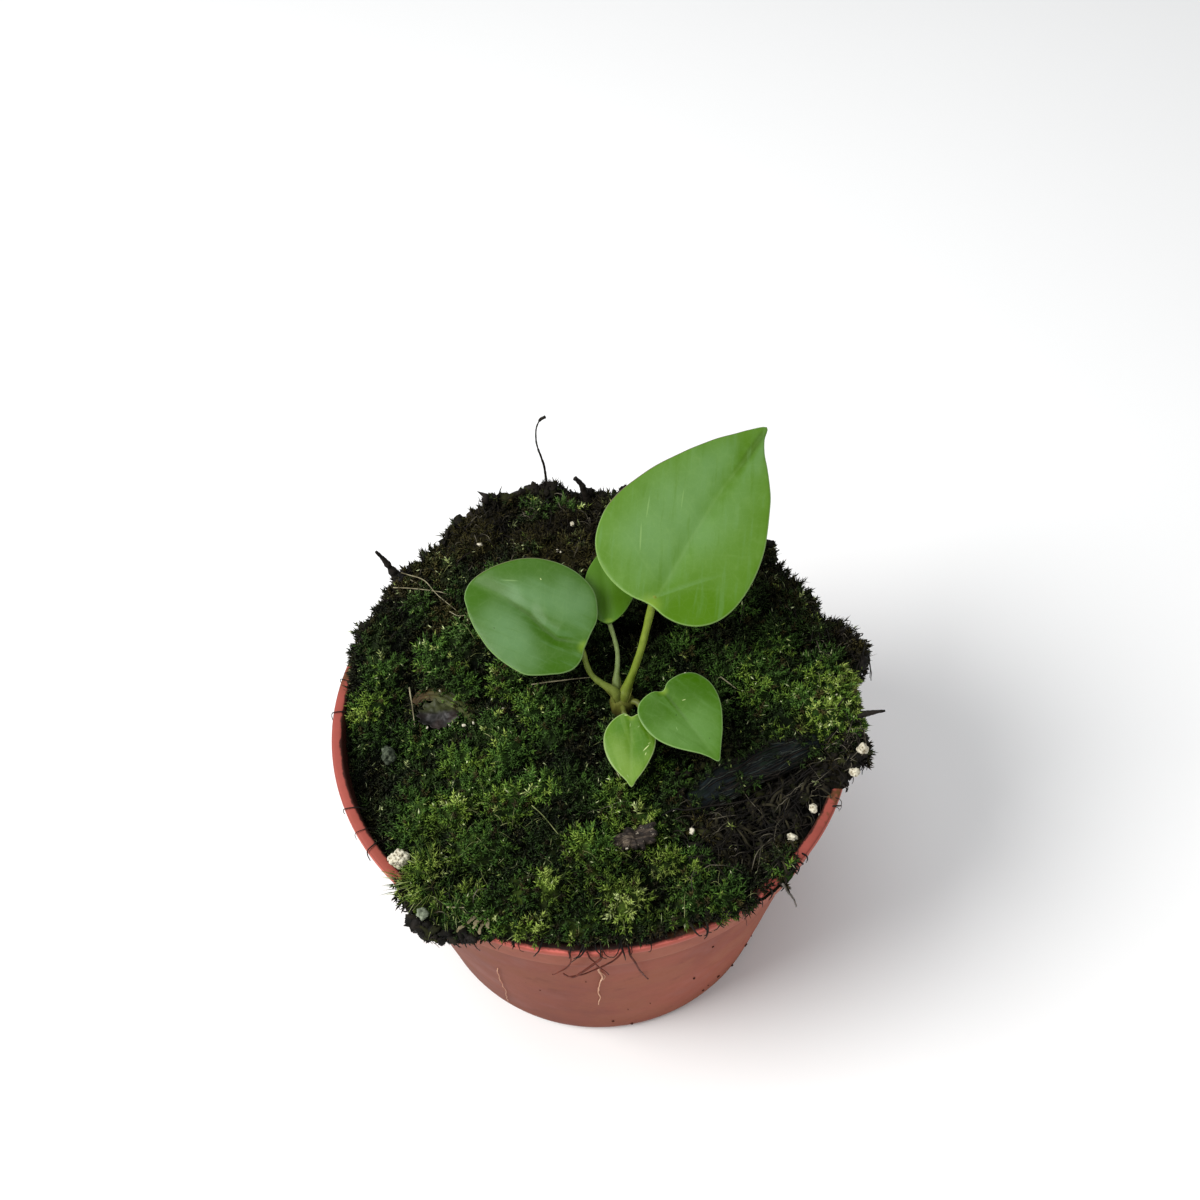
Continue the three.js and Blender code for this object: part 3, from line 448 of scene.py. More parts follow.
def pot_material(name, inner):
    k = Look(name, 0.5, 0.2 if inner else 0.08)
    place = k.place()
    x, y, z = k.split(place)
    broad = k.noise(26, 4, 0.6)
    cloud = k.noise(11, 4, 0.6)
    fine = k.noise(0.9, 3, 0.6)
    if inner:
        colour = k.ramp(broad, [(0.3, lin(130, 60, 50)), (0.7, lin(156, 76, 66))])
        colour = k.mix(k.fade(cloud, 0.5, 0.75, 0.0, 0.5), colour, lin(134, 68, 50))
        # dirt and painted shade darken the inner wall below the rounded inner edge, and the rounded outer edge is
        # darker
        reach = k.math("SQRT", k.math("ADD", k.math("MULTIPLY", x, x), k.math("MULTIPLY", y, y)))
        wavy = k.math("ADD", reach, k.math("MULTIPLY", k.math("SUBTRACT", k.noise(2.0, 3, 0.6), 0.5), 0.0011))
        colour = k.mix(k.fade(wavy, 0.0436, 0.0433, 0.0, 0.9), colour, lin(34, 18, 13))
        colour = k.mix(k.fade(reach, 0.04465, 0.04485, 0.0, 0.6), colour, lin(112, 52, 46))
        # in front, dirt and painted shadow reach over the top of the lip, and a painted pink highlight runs along its
        # outer edge
        front = k.fade(y, -0.034, -0.038)
        colour = k.mix(k.math("MULTIPLY", front, k.fade(wavy, 0.0446, 0.0443, 0.0, 0.95)), colour, lin(20, 14, 10))
        colour = k.mix(k.math("MULTIPLY", front, k.fade(wavy, 0.0446, 0.0448, 0.0, 0.9)), colour, lin(196, 100, 90))
        # brown algae where the moss touches the lip
        for px, py, reach in ((-43.0, 13.5, 8.5), (38.9, -21.5, 6.5), (13.0, -43.0, 5.0), (-22.0, -41.0, 5.0), (41.0, 16.0, 7.0)):
            n = k.node("ShaderNodeVectorMath", operation="DISTANCE")
            k.put(n.inputs[0], place)
            n.inputs[1].default_value = (px * MM, py * MM, 60.5 * MM)
            near = k.fade(n.outputs["Value"], reach * 0.35 * MM, reach * MM, 1.0, 0.0)
            near = k.math("MULTIPLY", near, k.fade(k.noise(2.2, 3, 0.65), 0.38, 0.58))
            colour = k.mix(near, colour, lin(84, 54, 26))
    else:
        colour = k.ramp(broad, [(0.35, lin(122, 56, 38)), (0.65, lin(146, 74, 54))])
        colour = k.mix(k.fade(cloud, 0.42, 0.62, 0.0, 0.6), colour, lin(146, 92, 72))
        spots_ = k.fade(k.noise(4.5, 4, 0.65), 0.56, 0.72, 0.0, 0.35)
        colour = k.mix(spots_, colour, lin(108, 50, 36))
        # more dust on the side away from the litter
        colour = k.mix(k.fade(x, -0.008, -0.036, 0.0, 0.35), colour, lin(140, 94, 78))
        # painted shade: the wall darkens towards the left, the side the key light strikes
        colour = k.mix(1.0, colour, k.ramp(k.fade(x, -0.045, 0.045), [(0.1, 0.64), (0.5, 0.86), (0.8, 1.0)]), "MULTIPLY")
        low = k.fade(z, 0.0, 0.012, 0.3, 0.0)
        colour = k.mix(low, colour, lin(116, 66, 50))
        # painted shade in a dark line under the overhanging collar step
        line = k.math("MULTIPLY", k.fade(z, 0.0516, 0.0528), k.fade(z, 0.0533, 0.0538, 1.0, 0.0))
        colour = k.mix(k.math("MULTIPLY", line, 0.6), colour, lin(84, 40, 30))
        band = k.fade(z, 0.0533, 0.0538)
        colour = k.mix(k.math("MULTIPLY", band, k.fade(cloud, 0.3, 0.7, 0.2, 0.6)), colour, lin(160, 98, 80))
        # the rounded outer rim is lighter coral, the lip's own colour with a painted highlight along it
        rimline = k.fade(z, 0.0592, 0.0598)
        colour = k.mix(k.math("MULTIPLY", rimline, 0.7), colour, lin(178, 92, 80))
    specks = k.fade(k.voronoi(3.4), 0.035, 0.07, 1.0, 0.0)
    keep = k.fade(k.noise(9, 2), 0.56, 0.62)
    colour = k.mix(k.math("MULTIPLY", k.math("MULTIPLY", specks, keep), 0.7), colour, lin(70, 38, 30))
    colour = k.mix(1.0, colour, k.ramp(fine, [(0.3, 0.96), (0.7, 1.03)]), "MULTIPLY")
    rough = k.fade(cloud, 0.3, 0.75, 0.5, 0.72)
    return k.done(colour, rough, k.bump(k.noise(0.6, 2), 0.06, 0.05))


MOSS = moss_material()
GROUND = ground_material()
SOIL = soil_material()
STRAW = strand_material("straw", lin(92, 86, 64), lin(150, 144, 116))
HAIR = strand_material("pale_hair", lin(70, 80, 38), lin(140, 144, 96))
DARK = strand_material("dark_root", lin(10, 9, 8), lin(34, 29, 24))
WALLROOT = strand_material("wall_root", lin(62, 24, 15), lin(104, 50, 37))
DEAD = strand_material("dead_strand", lin(40, 37, 30), lin(112, 106, 90))
ASHEN = strand_material("ashen_fibre", lin(20, 26, 26), lin(62, 68, 60))
GREY = strand_material("grey_root", lin(48, 44, 40), lin(104, 98, 90))
BEIGE = strand_material("dead_leaf_bit", lin(74, 66, 46), lin(138, 128, 100), 0.8)
BLADE = strand_material("litter_blade", lin(16, 15, 9), lin(52, 48, 32), 0.8)
MOULD = strand_material("mossy_clod", lin(12, 13, 6), lin(44, 46, 20), 0.9)
CRUMB = strand_material("wall_crumb", lin(50, 24, 18), lin(84, 44, 34), 0.9)
TAN = strand_material("pale_root", lin(178, 124, 98), lin(214, 176, 146))
POT_OUT = pot_material("pot_outside", False)
POT_IN = pot_material("pot_inside", True)

# ---------------------------------------------------------------- pot
RIM_R, POT_H, BASE_R, WALL, FLOOR_T, LIP_W = 45.0, 61.0, 34.0, 1.1, 1.6, 1.9
COLLAR_Z, COLLAR_STEP = 53.0, 1.0
HOLES, HOLE_R, HOLE_PCR, CHANNEL_W, CHANNEL_D = 8, 3.2, 25.0, 3.0, 0.6
GAP = 0.3


def outer_wall(z):
    return BASE_R + (RIM_R - COLLAR_STEP - 1.7 - BASE_R) * (z / COLLAR_Z)


def inner_wall(z):
    return outer_wall(z) - WALL if z < COLLAR_Z + 0.6 else RIM_R - LIP_W - 0.7 + 0.1 * (z - COLLAR_Z - 0.6)


def pot_rows():
    """The pot's section as (radius, height, 0 outside or 1 inside)."""
    rows = [(BASE_R - 6, 0.0, 0), (BASE_R - 1.6, 0.0, 0), (BASE_R - 0.9, 0.1, 0), (BASE_R - 0.35, 0.45, 0), (BASE_R, 1.0, 0), (BASE_R + 0.3, 1.8, 0)]
    for z in np.linspace(4, COLLAR_Z - 1.0, 22):
        rows.append((outer_wall(z), z, 0))
    rows += [(outer_wall(COLLAR_Z - 0.2), COLLAR_Z - 0.2, 0), (outer_wall(COLLAR_Z) + 0.12, COLLAR_Z + 0.06, 0),
             (RIM_R - 1.5, COLLAR_Z + 0.22, 0), (RIM_R - 1.22, COLLAR_Z + 0.36, 0), (RIM_R - 1.1, COLLAR_Z + 0.7, 0)]
    for z in np.linspace(COLLAR_Z + 1.5, POT_H - 2.1, 5):
        t = (z - COLLAR_Z - 0.7) / (POT_H - 1.7 - COLLAR_Z - 0.7)
        rows.append((RIM_R - 1.1 + 0.55 * t, z, 0))
    rows += [(RIM_R - 0.52, POT_H - 1.75, 0), (RIM_R - 0.16, POT_H - 1.5, 0), (RIM_R, POT_H - 1.2, 0), (RIM_R, POT_H - 0.5, 0),
             (RIM_R - 0.1, POT_H - 0.22, 1), (RIM_R - 0.32, POT_H - 0.05, 1), (RIM_R - 0.6, POT_H, 1), (RIM_R - 1.3, POT_H, 1),
             (RIM_R - 1.65, POT_H - 0.08, 1), (RIM_R - 1.85, POT_H - 0.3, 1), (RIM_R - LIP_W - 0.02, POT_H - 0.7, 1)]
    for z in np.linspace(POT_H - 2.0, COLLAR_Z + 0.9, 5):
        rows.append((inner_wall(z), z, 1))
    for z in np.linspace(COLLAR_Z - 0.2, FLOOR_T + 1.6, 12):
        rows.append((inner_wall(z), z, 1))
    rows += [(inner_wall(FLOOR_T) - 0.35, FLOOR_T + 0.8, 1), (inner_wall(FLOOR_T) - 0.9, FLOOR_T + 0.2, 1), (inner_wall(FLOOR_T) - 1.6, FLOOR_T, 1), (BASE_R - 6, FLOOR_T, 1)]
    return rows


def make_pot():
    rows = pot_rows()
    n, seg = len(rows), 176
    a = np.arange(seg) / seg * TAU
    r, z = np.array([q[0] for q in rows]), np.array([q[1] for q in rows])
    v = np.stack([np.outer(np.cos(a), r), np.outer(np.sin(a), r), np.broadcast_to(z, (seg, n))], -1).reshape(-1, 3)
    # a thin moulded wall is never quite round or even
    flex = noise(v * (1, 1, 0.6), 34, 3) * 0.16 + noise(v, 11, 4) * 0.05
    grip = np.clip((v[:, 2] - 2) / 6, 0, 1) * np.clip((POT_H + 1 - v[:, 2]) / 8, 0.3, 1)
    out = v[:, :2] / np.linalg.norm(v[:, :2], axis=1, keepdims=True)
    v[:, :2] += out * (flex * grip)[:, None]
    i, j = np.meshgrid(np.arange(seg), np.arange(n - 1), indexing="ij")
    i2 = (i + 1) % seg
    quads = np.stack([i * n + j, i2 * n + j, i2 * n + j + 1, i * n + j + 1], -1).reshape(-1, 4)
    inside = np.array([q[2] for q in rows])[j.ravel()]
    bm = bmesh.new()
    vs = [bm.verts.new(p * MM) for p in v]
    for q, m in zip(quads, inside):
        bm.faces.new([vs[k] for k in q]).material_index = int(m)
    bm.faces.new([vs[k * n] for k in reversed(range(seg))]).material_index = 0
    bm.faces.new([vs[k * n + n - 1] for k in range(seg)]).material_index = 1
    bmesh.ops.recalc_face_normals(bm, faces=bm.faces)
    me = bpy.data.meshes.new("pot_shell")
    bm.to_mesh(me)
    bm.free()
    shell = bpy.data.objects.new("pot_shell", me)
    scene.collection.objects.link(shell)
    me.materials.append(POT_OUT)
    me.materials.append(POT_IN)
    # drain holes and channels
    tool = bmesh.new()
    for k in range(HOLES):
        b = (k + 0.5) / HOLES * TAU
        at = Matrix.Translation((HOLE_PCR * math.cos(b) * MM, HOLE_PCR * math.sin(b) * MM, 0))
        bmesh.ops.create_cone(tool, cap_ends=True, segments=36, radius1=HOLE_R * MM, radius2=HOLE_R * MM, depth=8 * MM, matrix=at)
    holes = bpy.data.meshes.new("holes")
    tool.to_mesh(holes)
    tool.free()
    tool = bmesh.new()
    for k in range(HOLES):
        b = (k + 0.5) / HOLES * TAU
        far = BASE_R + 6
        size = Matrix.Diagonal(((far - HOLE_PCR) * MM, CHANNEL_W * MM, 2 * CHANNEL_D * MM, 1))
        at = Matrix.Rotation(b, 4, "Z") @ Matrix.Translation(((HOLE_PCR + far) / 2 * MM, 0, 0)) @ size
        bmesh.ops.create_cube(tool, size=1.0, matrix=at)
    slots = bpy.data.meshes.new("slots")
    tool.to_mesh(slots)
    tool.free()
    cutters = []
    for mesh in (holes, slots):
        mesh.materials.append(POT_OUT)
        c = bpy.data.objects.new(mesh.name, mesh)
        scene.collection.objects.link(c)
        cutters.append(c)
        mod = shell.modifiers.new("cut", "BOOLEAN")
        mod.object, mod.operation, mod.solver = c, "DIFFERENCE", "EXACT"
    dg = bpy.context.evaluated_depsgraph_get()
    cut = bpy.data.meshes.new_from_object(shell.evaluated_get(dg))
    shell.modifiers.clear()
    shell.data = cut
    for c in cutters:
        bpy.data.objects.remove(c)
    cut.polygons.foreach_set("use_smooth", np.ones(len(cut.polygons), bool))
    cut.set_sharp_from_angle(angle=math.radians(38))
    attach(shell, "root")
    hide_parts("pot")
    TABLE["pot_shell"] = sum(len(p.vertices) - 2 for p in cut.polygons)


make_pot()
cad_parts["potting_mix"].data.materials.clear()
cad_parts["potting_mix"].data.materials.append(SOIL)

# ---------------------------------------------------------------- the moss surface
EDGE = np.array([  # azimuth in degrees, radius of the moss edge, height of its surface
    [173, 42.8, 61.6], [168, 43.0, 63], [163, 43.3, 64], [158, 44, 65.5], [150, 43.5, 64], [144, 45, 65.5], [139, 45, 66.3], [133, 44.5, 65],
    [127, 44.5, 64.8], [122, 46, 66.8], [116, 46.5, 69.5], [111, 47.5, 70.8], [106, 47, 69], [103, 46.5, 67.8], [98, 47, 69.8],
    [95, 47.5, 70.5], [92, 46, 67], [90, 45.5, 65.7], [82, 46, 66], [76, 46.5, 68.5], [68, 46, 68], [60, 46, 67.5], [50, 45.5, 67],
    [41, 46, 67], [37, 45, 65], [32, 44.5, 64.3], [25, 45, 64.6], [19, 44.5, 63.5], [15, 46.0, 68], [12, 48.0, 68.5], [8, 49.9, 66.8],
    [5, 49.4, 66.2], [2.5, 46.6, 65.6], [-2, 45.4, 65.2], [-5, 45.5, 65], [-9, 46.7, 65], [-13, 46.9, 64.5], [-17, 47.4, 64], [-22, 45.8, 63.5], [-26, 44.6, 62.4],
    [-29, 43.8, 61.6], [-33, 43.4, 60.8], [-37, 43.2, 60.2], [-40, 43.2, 60.6], [-43, 43.6, 61.4], [-46, 45.0, 62.4], [-50, 45.5, 62.8], [-56, 45.4, 63], [-63, 44.9, 62.8], [-70, 43.7, 62.8], [-80, 43.4, 63],
    [-90, 43.4, 63], [-100, 43.5, 63], [-108, 43.9, 63], [-113, 44.5, 62.5], [-117, 46, 62], [-121, 48.0, 61.5], [-125, 48.7, 61],
    [-129, 47.8, 62], [-133, 46.3, 62.5], [-136, 45.2, 62], [-139, 43.4, 61.6], [-142, 42.7, 60.0], [-146, 42.6, 58], [-155, 42.6, 57],
    [-165, 42.6, 57], [-175, 42.6, 57.5], [-182, 42.6, 59.5],
], float)
INNER = np.array([
    [-35, -6.3, 58], [-38, -17.2, 57], [-40.6, -1.5, 57.5], [-32.4, -21.1, 60], [-28.9, -13.7, 63], [-25.1, -29.4, 64.5],
    [-26.5, -35.9, 64], [-20.2, -36.8, 65], [-20.3, -23.1, 65.5], [-15.5, -32.5, 66], [-15.4, -12.3, 65.5], [-5.8, -20.2, 65],
    [-6.2, -33.4, 66.5], [-6.5, -40.7, 64.5], [2.8, -38.5, 65.5], [6.9, -23.4, 65.8], [12.2, -35.6, 65], [18.2, -38.6, 63.5],
    [4.4, -12.8, 64], [1.5, -4.5, 63.8], [-8.7, -4.2, 64.5], [-18.8, -7.5, 64.5], [-23.4, 1.4, 62.3], [-27.8, -0.2, 62],
    [-32.9, 4.4, 63.5], [-38.5, 5.9, 62], [-29.4, 13.2, 66], [-33.1, 17.9, 66], [-18.7, 9.8, 66.5], [-12, 2, 64.8], [2.1, 6.8, 65.5],
    [12.7, 7.9, 66], [5.1, -0.9, 64.2], [18.7, -2.4, 65], [26.3, 4.3, 66.5], [20.2, 13.2, 67], [31.4, 16.9, 67], [37.8, 12, 66.8],
    [34, -1.4, 67.8], [40.8, -1.7, 67.5], [43.7, -5.3, 66.5], [40.9, -12.4, 65.5], [32.8, -11.5, 65], [24.7, -10, 63.5],
    [15.8, -14.9, 63], [9.2, -14.7, 63.5], [15.4, -20, 62], [23.7, -19.7, 60.5], [32.2, -18.4, 60.5], [23, -26.5, 59.5],
    [31.4, -24.9, 59], [16.2, -28.6, 61], [25.3, -32.5, 60.5], [38.8, -18.8, 60.5], [-4.5, 15, 67], [-15.1, 22.3, 67.5],
    [-24.2, 23.8, 66.5], [-11.1, 34.9, 69.3], [-3.8, 33, 68], [-18.6, 33.7, 68.5], [3.7, 35.8, 67], [11.3, 36.8, 68], [22, 31, 68],
    [28.6, 23.7, 67.5],
])
SPREAD = 5.0
_a = np.radians(EDGE[:, 0])
POINTS = np.vstack([np.stack([EDGE[:, 1] * np.cos(_a), EDGE[:, 1] * np.sin(_a), EDGE[:, 2]], 1), INNER])


def spread_mean(x, y, px, py, pv, reach):
    x, y = np.asarray(x, float), np.asarray(y, float)
    d = (x[..., None] - px) ** 2 + (y[..., None] - py) ** 2
    d -= d.min(-1, keepdims=True)
    k = np.exp(-d / (2 * reach * reach))
    return (k * pv).sum(-1) / k.sum(-1)


def carpet_height(x, y):
    return spread_mean(x, y, POINTS[:, 0], POINTS[:, 1], POINTS[:, 2], SPREAD)


_order = np.argsort(EDGE[:, 0] % 360)
_ea, _er = (EDGE[:, 0] % 360)[_order], EDGE[:, 1][_order]


def carpet_edge(deg):
    return np.interp(deg, _ea, _er, period=360)


CUSHIONS = [  # name, middle x, y
    ("moss_round_crown", 5, 1), ("moss_right_mound", 35, 3), ("moss_back_right", 24, 27), ("moss_back", -6, 34),
    ("moss_back_left", -28, 22), ("moss_left", -36, -5), ("moss_middle_left", -16, -4), ("moss_front_left", -27, -29),
    ("moss_front", -3, -34), ("moss_middle_front", -1, -19), ("moss_front_right", 17, -39), ("root_litter_right_front", 27, -20),
]
SEEDS = np.array([[x, y] for _, x, y in CUSHIONS], float)


def cushion(x, y):
    return np.argmin((x[:, None] - SEEDS[:, 0]) ** 2 + (y[:, None] - SEEDS[:, 1]) ** 2, axis=1)


# where the moss is alive, dead or bare: x, y, reach, tone
PATCHES = np.array([
    [-27, -17, 6, 0.74], [-12.5, -37, 7, 0.76], [-24, -33, 6, 0.66], [-31, -38, 4, 0.76], [-10, -24, 6, 0.66], [0, -36, 6, 0.75],
    [7, -21, 4, 0.72], [12, -31, 5, 0.66], [21, -39, 5, 0.66], [30.5, -33, 3.5, 0.80], [46, -5, 4, 0.76], [34.5, 0.6, 6, 0.58],
    [40, -8, 4, 0.64], [46.6, -1, 2.6, 0.78], [45.6, -8, 2.6, 0.80], [43.5, -10.5, 2.0, 0.74], [12, -17.5, 3.5, 0.42], [15, -21.5, 3, 0.3], [22, -9.5, 2.6, 0.4], [26, 6, 5, 0.52], [15, -2, 5, 0.45], [5, 4, 6, 0.48], [-5, -11, 6, 0.52], [-16, -5, 6, 0.55], [-15, -14, 5, 0.62],
    [-36, 2, 5, 0.56], [-37.5, -13, 5, 0.40], [-33, 18, 6, 0.50], [-28, 27, 5, 0.36], [-20, 14, 6, 0.46], [-8, 18, 6, 0.40],
    [-5, 41, 6, 0.10], [-19, 37, 5, 0.22], [-8, 30, 5, 0.24], [8, 38, 6, 0.16], [20, 33, 6, 0.24], [30, 25, 6, 0.28], [12, 18, 7, 0.38],
    [24, 15, 6, 0.42], [41, 15, 5, 0.20], [47, 7, 4, 0.16], [34, 12, 4, 0.44], [27, -24, 5, 0.04], [34, -20, 4, 0.06], [20, -25, 4, 0.05],
    [24, -31, 4, 0.12], [-41, -20, 5, 0.14], [-38, 10, 4, 0.50], [15, -13, 4, 0.36], [-24, -43, 3.0, 0.08], [-33.5, -35.5, 2.6, 0.84], [42, -16, 3.5, 0.10],
], float)


def tone_at(x, y):
    x, y = np.asarray(x, float), np.asarray(y, float)
    d = (x[..., None] - PATCHES[:, 0]) ** 2 + (y[..., None] - PATCHES[:, 1]) ** 2
    e = d / (2 * PATCHES[:, 2] ** 2)
    e -= e.min(-1, keepdims=True)
    k = np.exp(-e)
    return (k * PATCHES[:, 3]).sum(-1) / k.sum(-1)


# the moss lies low under the things that rest on it: x, y, reach
CALM = [(18, -18.5, 3.6), (22, -16.7, 4.2), (27, -14.7, 4.4), (32, -13, 4.2), (36.5, -11.5, 3.4), (3.5, -28, 2.6), (7, -27, 2.6), (-26, -0.2, 4.4), (-31.8, -28.2, 2.5),
        (31.4, -27.2, 1.6), (35.2, -22.6, 1.4), (15.1, -26.2, 1.3), (-35.1, -6.7, 2.2), (-27.6, -38, 2.0), (5.4, -1.6, 3.4)]


# round cushions that stand out of the carpet: x, y, reach, height
MOUNDS = [(-6.5, -33, 3.7, 1.4), (4.1, -22.9, 2.4, 1.1), (-21.6, -26.4, 2.6, 0.9), (-13.9, -26.7, 2.3, 0.8), (-31, -33, 2.4, 0.8), (-24.5, -6.2, 3, 0.8),
          (-29.9, -12.4, 3, 0.8), (-28.3, -18.6, 2.6, 0.7), (8.4, -34.7, 3, 0.8), (13.1, -39, 2.6, 0.6), (26.3, -31.5, 2.6, 0.6), (42.2, -7, 2.6, 0.7),
          (36.5, -5, 3, 0.7), (-20.4, -15.5, 2.8, 0.7), (19.1, -33, 3, 0.6), (30, 4, 3.4, 0.8), (22, 9, 3, 0.6), (-33, 9, 3.2, 0.7), (-16, 14, 3, 0.7), (-12, -8, 3, 0.7)]


# hollows in the moss, sunk into its relief and darkened with painted shade: x, y, reach, how much
HOLLOWS = np.array([(-9.5, -28.8, 2.0, 0.5), (-12.2, -12.2, 3.5, 0.22), (1.1, -12.5, 4.0, 0.28), (-24.4, -33.8, 2.6, 0.5), (-38.5, -14, 3.0, 0.35), (-36, -3, 2.0, 0.3), (14, -10, 3.5, 0.3),
                    (20, -31, 2.0, 0.4), (-15.5, -37, 1.6, 0.4), (3.8, -33.5, 1.4, 0.35), (-19, -20, 1.6, 0.35), (-27.3, -22.5, 1.5, 0.4), (16.5, -35.5, 1.4, 0.35), (-30, 5, 2.6, 0.3),
                    (-22, 6, 2.4, 0.3), (-33, 14, 2.2, 0.3), (29, -2, 1.8, 0.3), (38, 5, 2.0, 0.35), (17, 4, 2.4, 0.3), (25, 10, 2.0, 0.3), (-1.5, -40, 1.5, 0.35), (8, -40, 1.3, 0.35),
                    (10.5, -15.7, 3.2, 0.32), (14.5, -14, 3, 0.34), (14.5, -21.6, 3.2, 0.4), (21, -10.5, 2.6, 0.3), (26, -8, 2.6, 0.2), (28, -2.5, 3.4, 0.24), (33, -4, 3.0, 0.16), (30, 3, 4, 0.14),
                    (-31, -8, 6, 0.14), (-29, 8, 6, 0.1), (36, -8, 3, 0.16), (11.5, -20.5, 2.2, 0.25), (-26.0, 4.5, 2.2, 0.2)])


def hollow_at(x, y):
    d = (x[:, None] - HOLLOWS[:, 0]) ** 2 + (y[:, None] - HOLLOWS[:, 1]) ** 2
    return (HOLLOWS[:, 3] * np.exp(-d / (1.3 * HOLLOWS[:, 2] ** 2))).max(1)


def mounds(x, y):
    """The lift of those cushions and how far inside (1) or in the ring of shade round one (-1) a place lies."""
    lift, shade = np.zeros_like(x), np.zeros_like(x)
    for cx, cy, r, h in MOUNDS:
        d = np.hypot(x - cx, y - cy) / r
        lift += h * np.clip(1 - d * d, 0, 1) ** 0.7
        shade += np.clip((1 - d) / 0.25, 0, 1) - 1.0 * np.exp(-((d - 1.12) / 0.12) ** 2)
    return lift, np.clip(shade, -1, 1)


def big_cells(x, y):
    q = np.stack([x, y, 0 * x], 1)
    return cells(x + 0.9 * noise(q, 4.0, 81), y + 0.9 * noise(q, 4.0, 82), 6.2, 11)


def lumps(x, y):
    """The moss's own relief over the smooth carpet: cushions, tufts and crumbs."""
    p = np.stack([x, y, np.zeros_like(x)], 1)
    f, who, _, _ = big_cells(x, y)
    g, who2, _, _ = cells(x + 0.3 * noise(p, 1.6, 83), y + 0.3 * noise(p, 1.6, 84), 2.5, 23)
    h = (1.7 - 5.4 * np.clip(f, 0, 0.8) ** 2) * (0.5 + 0.75 * who)
    h += (0.5 - 1.5 * np.clip(g, 0, 0.9) ** 2) * (0.5 + who2)
    h += 0.55 * noise(p, 11.0, 86) + mounds(x, y)[0] * 0.8 - 1.8 * hollow_at(x, y)
    room = np.clip((carpet_edge(np.degrees(np.arctan2(y, x))) - np.hypot(x, y)) / 4.0, 0.35, 1)
    calm = np.zeros_like(x)
    for cx, cy, r in CALM:
        calm = np.maximum(calm, np.exp(-np.clip(np.hypot(x - cx, y - cy) / r - 0.6, 0, 9) ** 2 * 4))
    return h * room * (1 - calm) - 0.5 * calm + 0.2 * noise(p, 1.1, 9)


def light_at(x, y):
    """How bright the moss is painted: painted shade between the cushions and in the hollows, painted light on top of
    them, and darker patches at random.
    """
    p = np.stack([x, y, np.zeros_like(x)], 1)
    f, who, _, _ = big_cells(x, y)
    g, who2, _, _ = cells(x, y, 2.5, 23)
    light = 0.60 + 0.26 * (who - 0.5) + 0.24 * (who * 7.31 % 1 - 0.5) + 0.26 * (who2 - 0.5) + 0.14 * noise(p, 13, 67) + 0.15 * mounds(x, y)[1]
    light -= 0.8 * np.clip(noise(p, 5.5, 68, 2) - 0.18, 0, 0.6) + hollow_at(x, y)
    return light - 2.2 * np.clip(f - 0.33, 0, 0.3) - 1.0 * np.clip(g - 0.34, 0, 0.4)


def ragged(a):
    """How far the edge of the moss strays from its mean line at azimuth a, in mm. Inside the lip it may only draw back."""
    ring = np.stack([44 * np.cos(a), 44 * np.sin(a), 0 * a], 1)
    n = 0.75 * noise(ring, 3.6, 17, 2) + 0.4 * noise(ring, 1.3, 19)
    edge = carpet_edge(np.degrees(a))
    room = np.clip((edge - 42.9) / 0.9, 0, 1)
    back = np.clip(np.sin(a) * 1.4, 0, 1)
    return np.where(n > 0, n * room, n * (0.35 + 0.65 * room)) * (1 + 0.6 * back)


def ground_height(x, y):
    return carpet_height(x, y) - 1.15 + lumps(x, y)


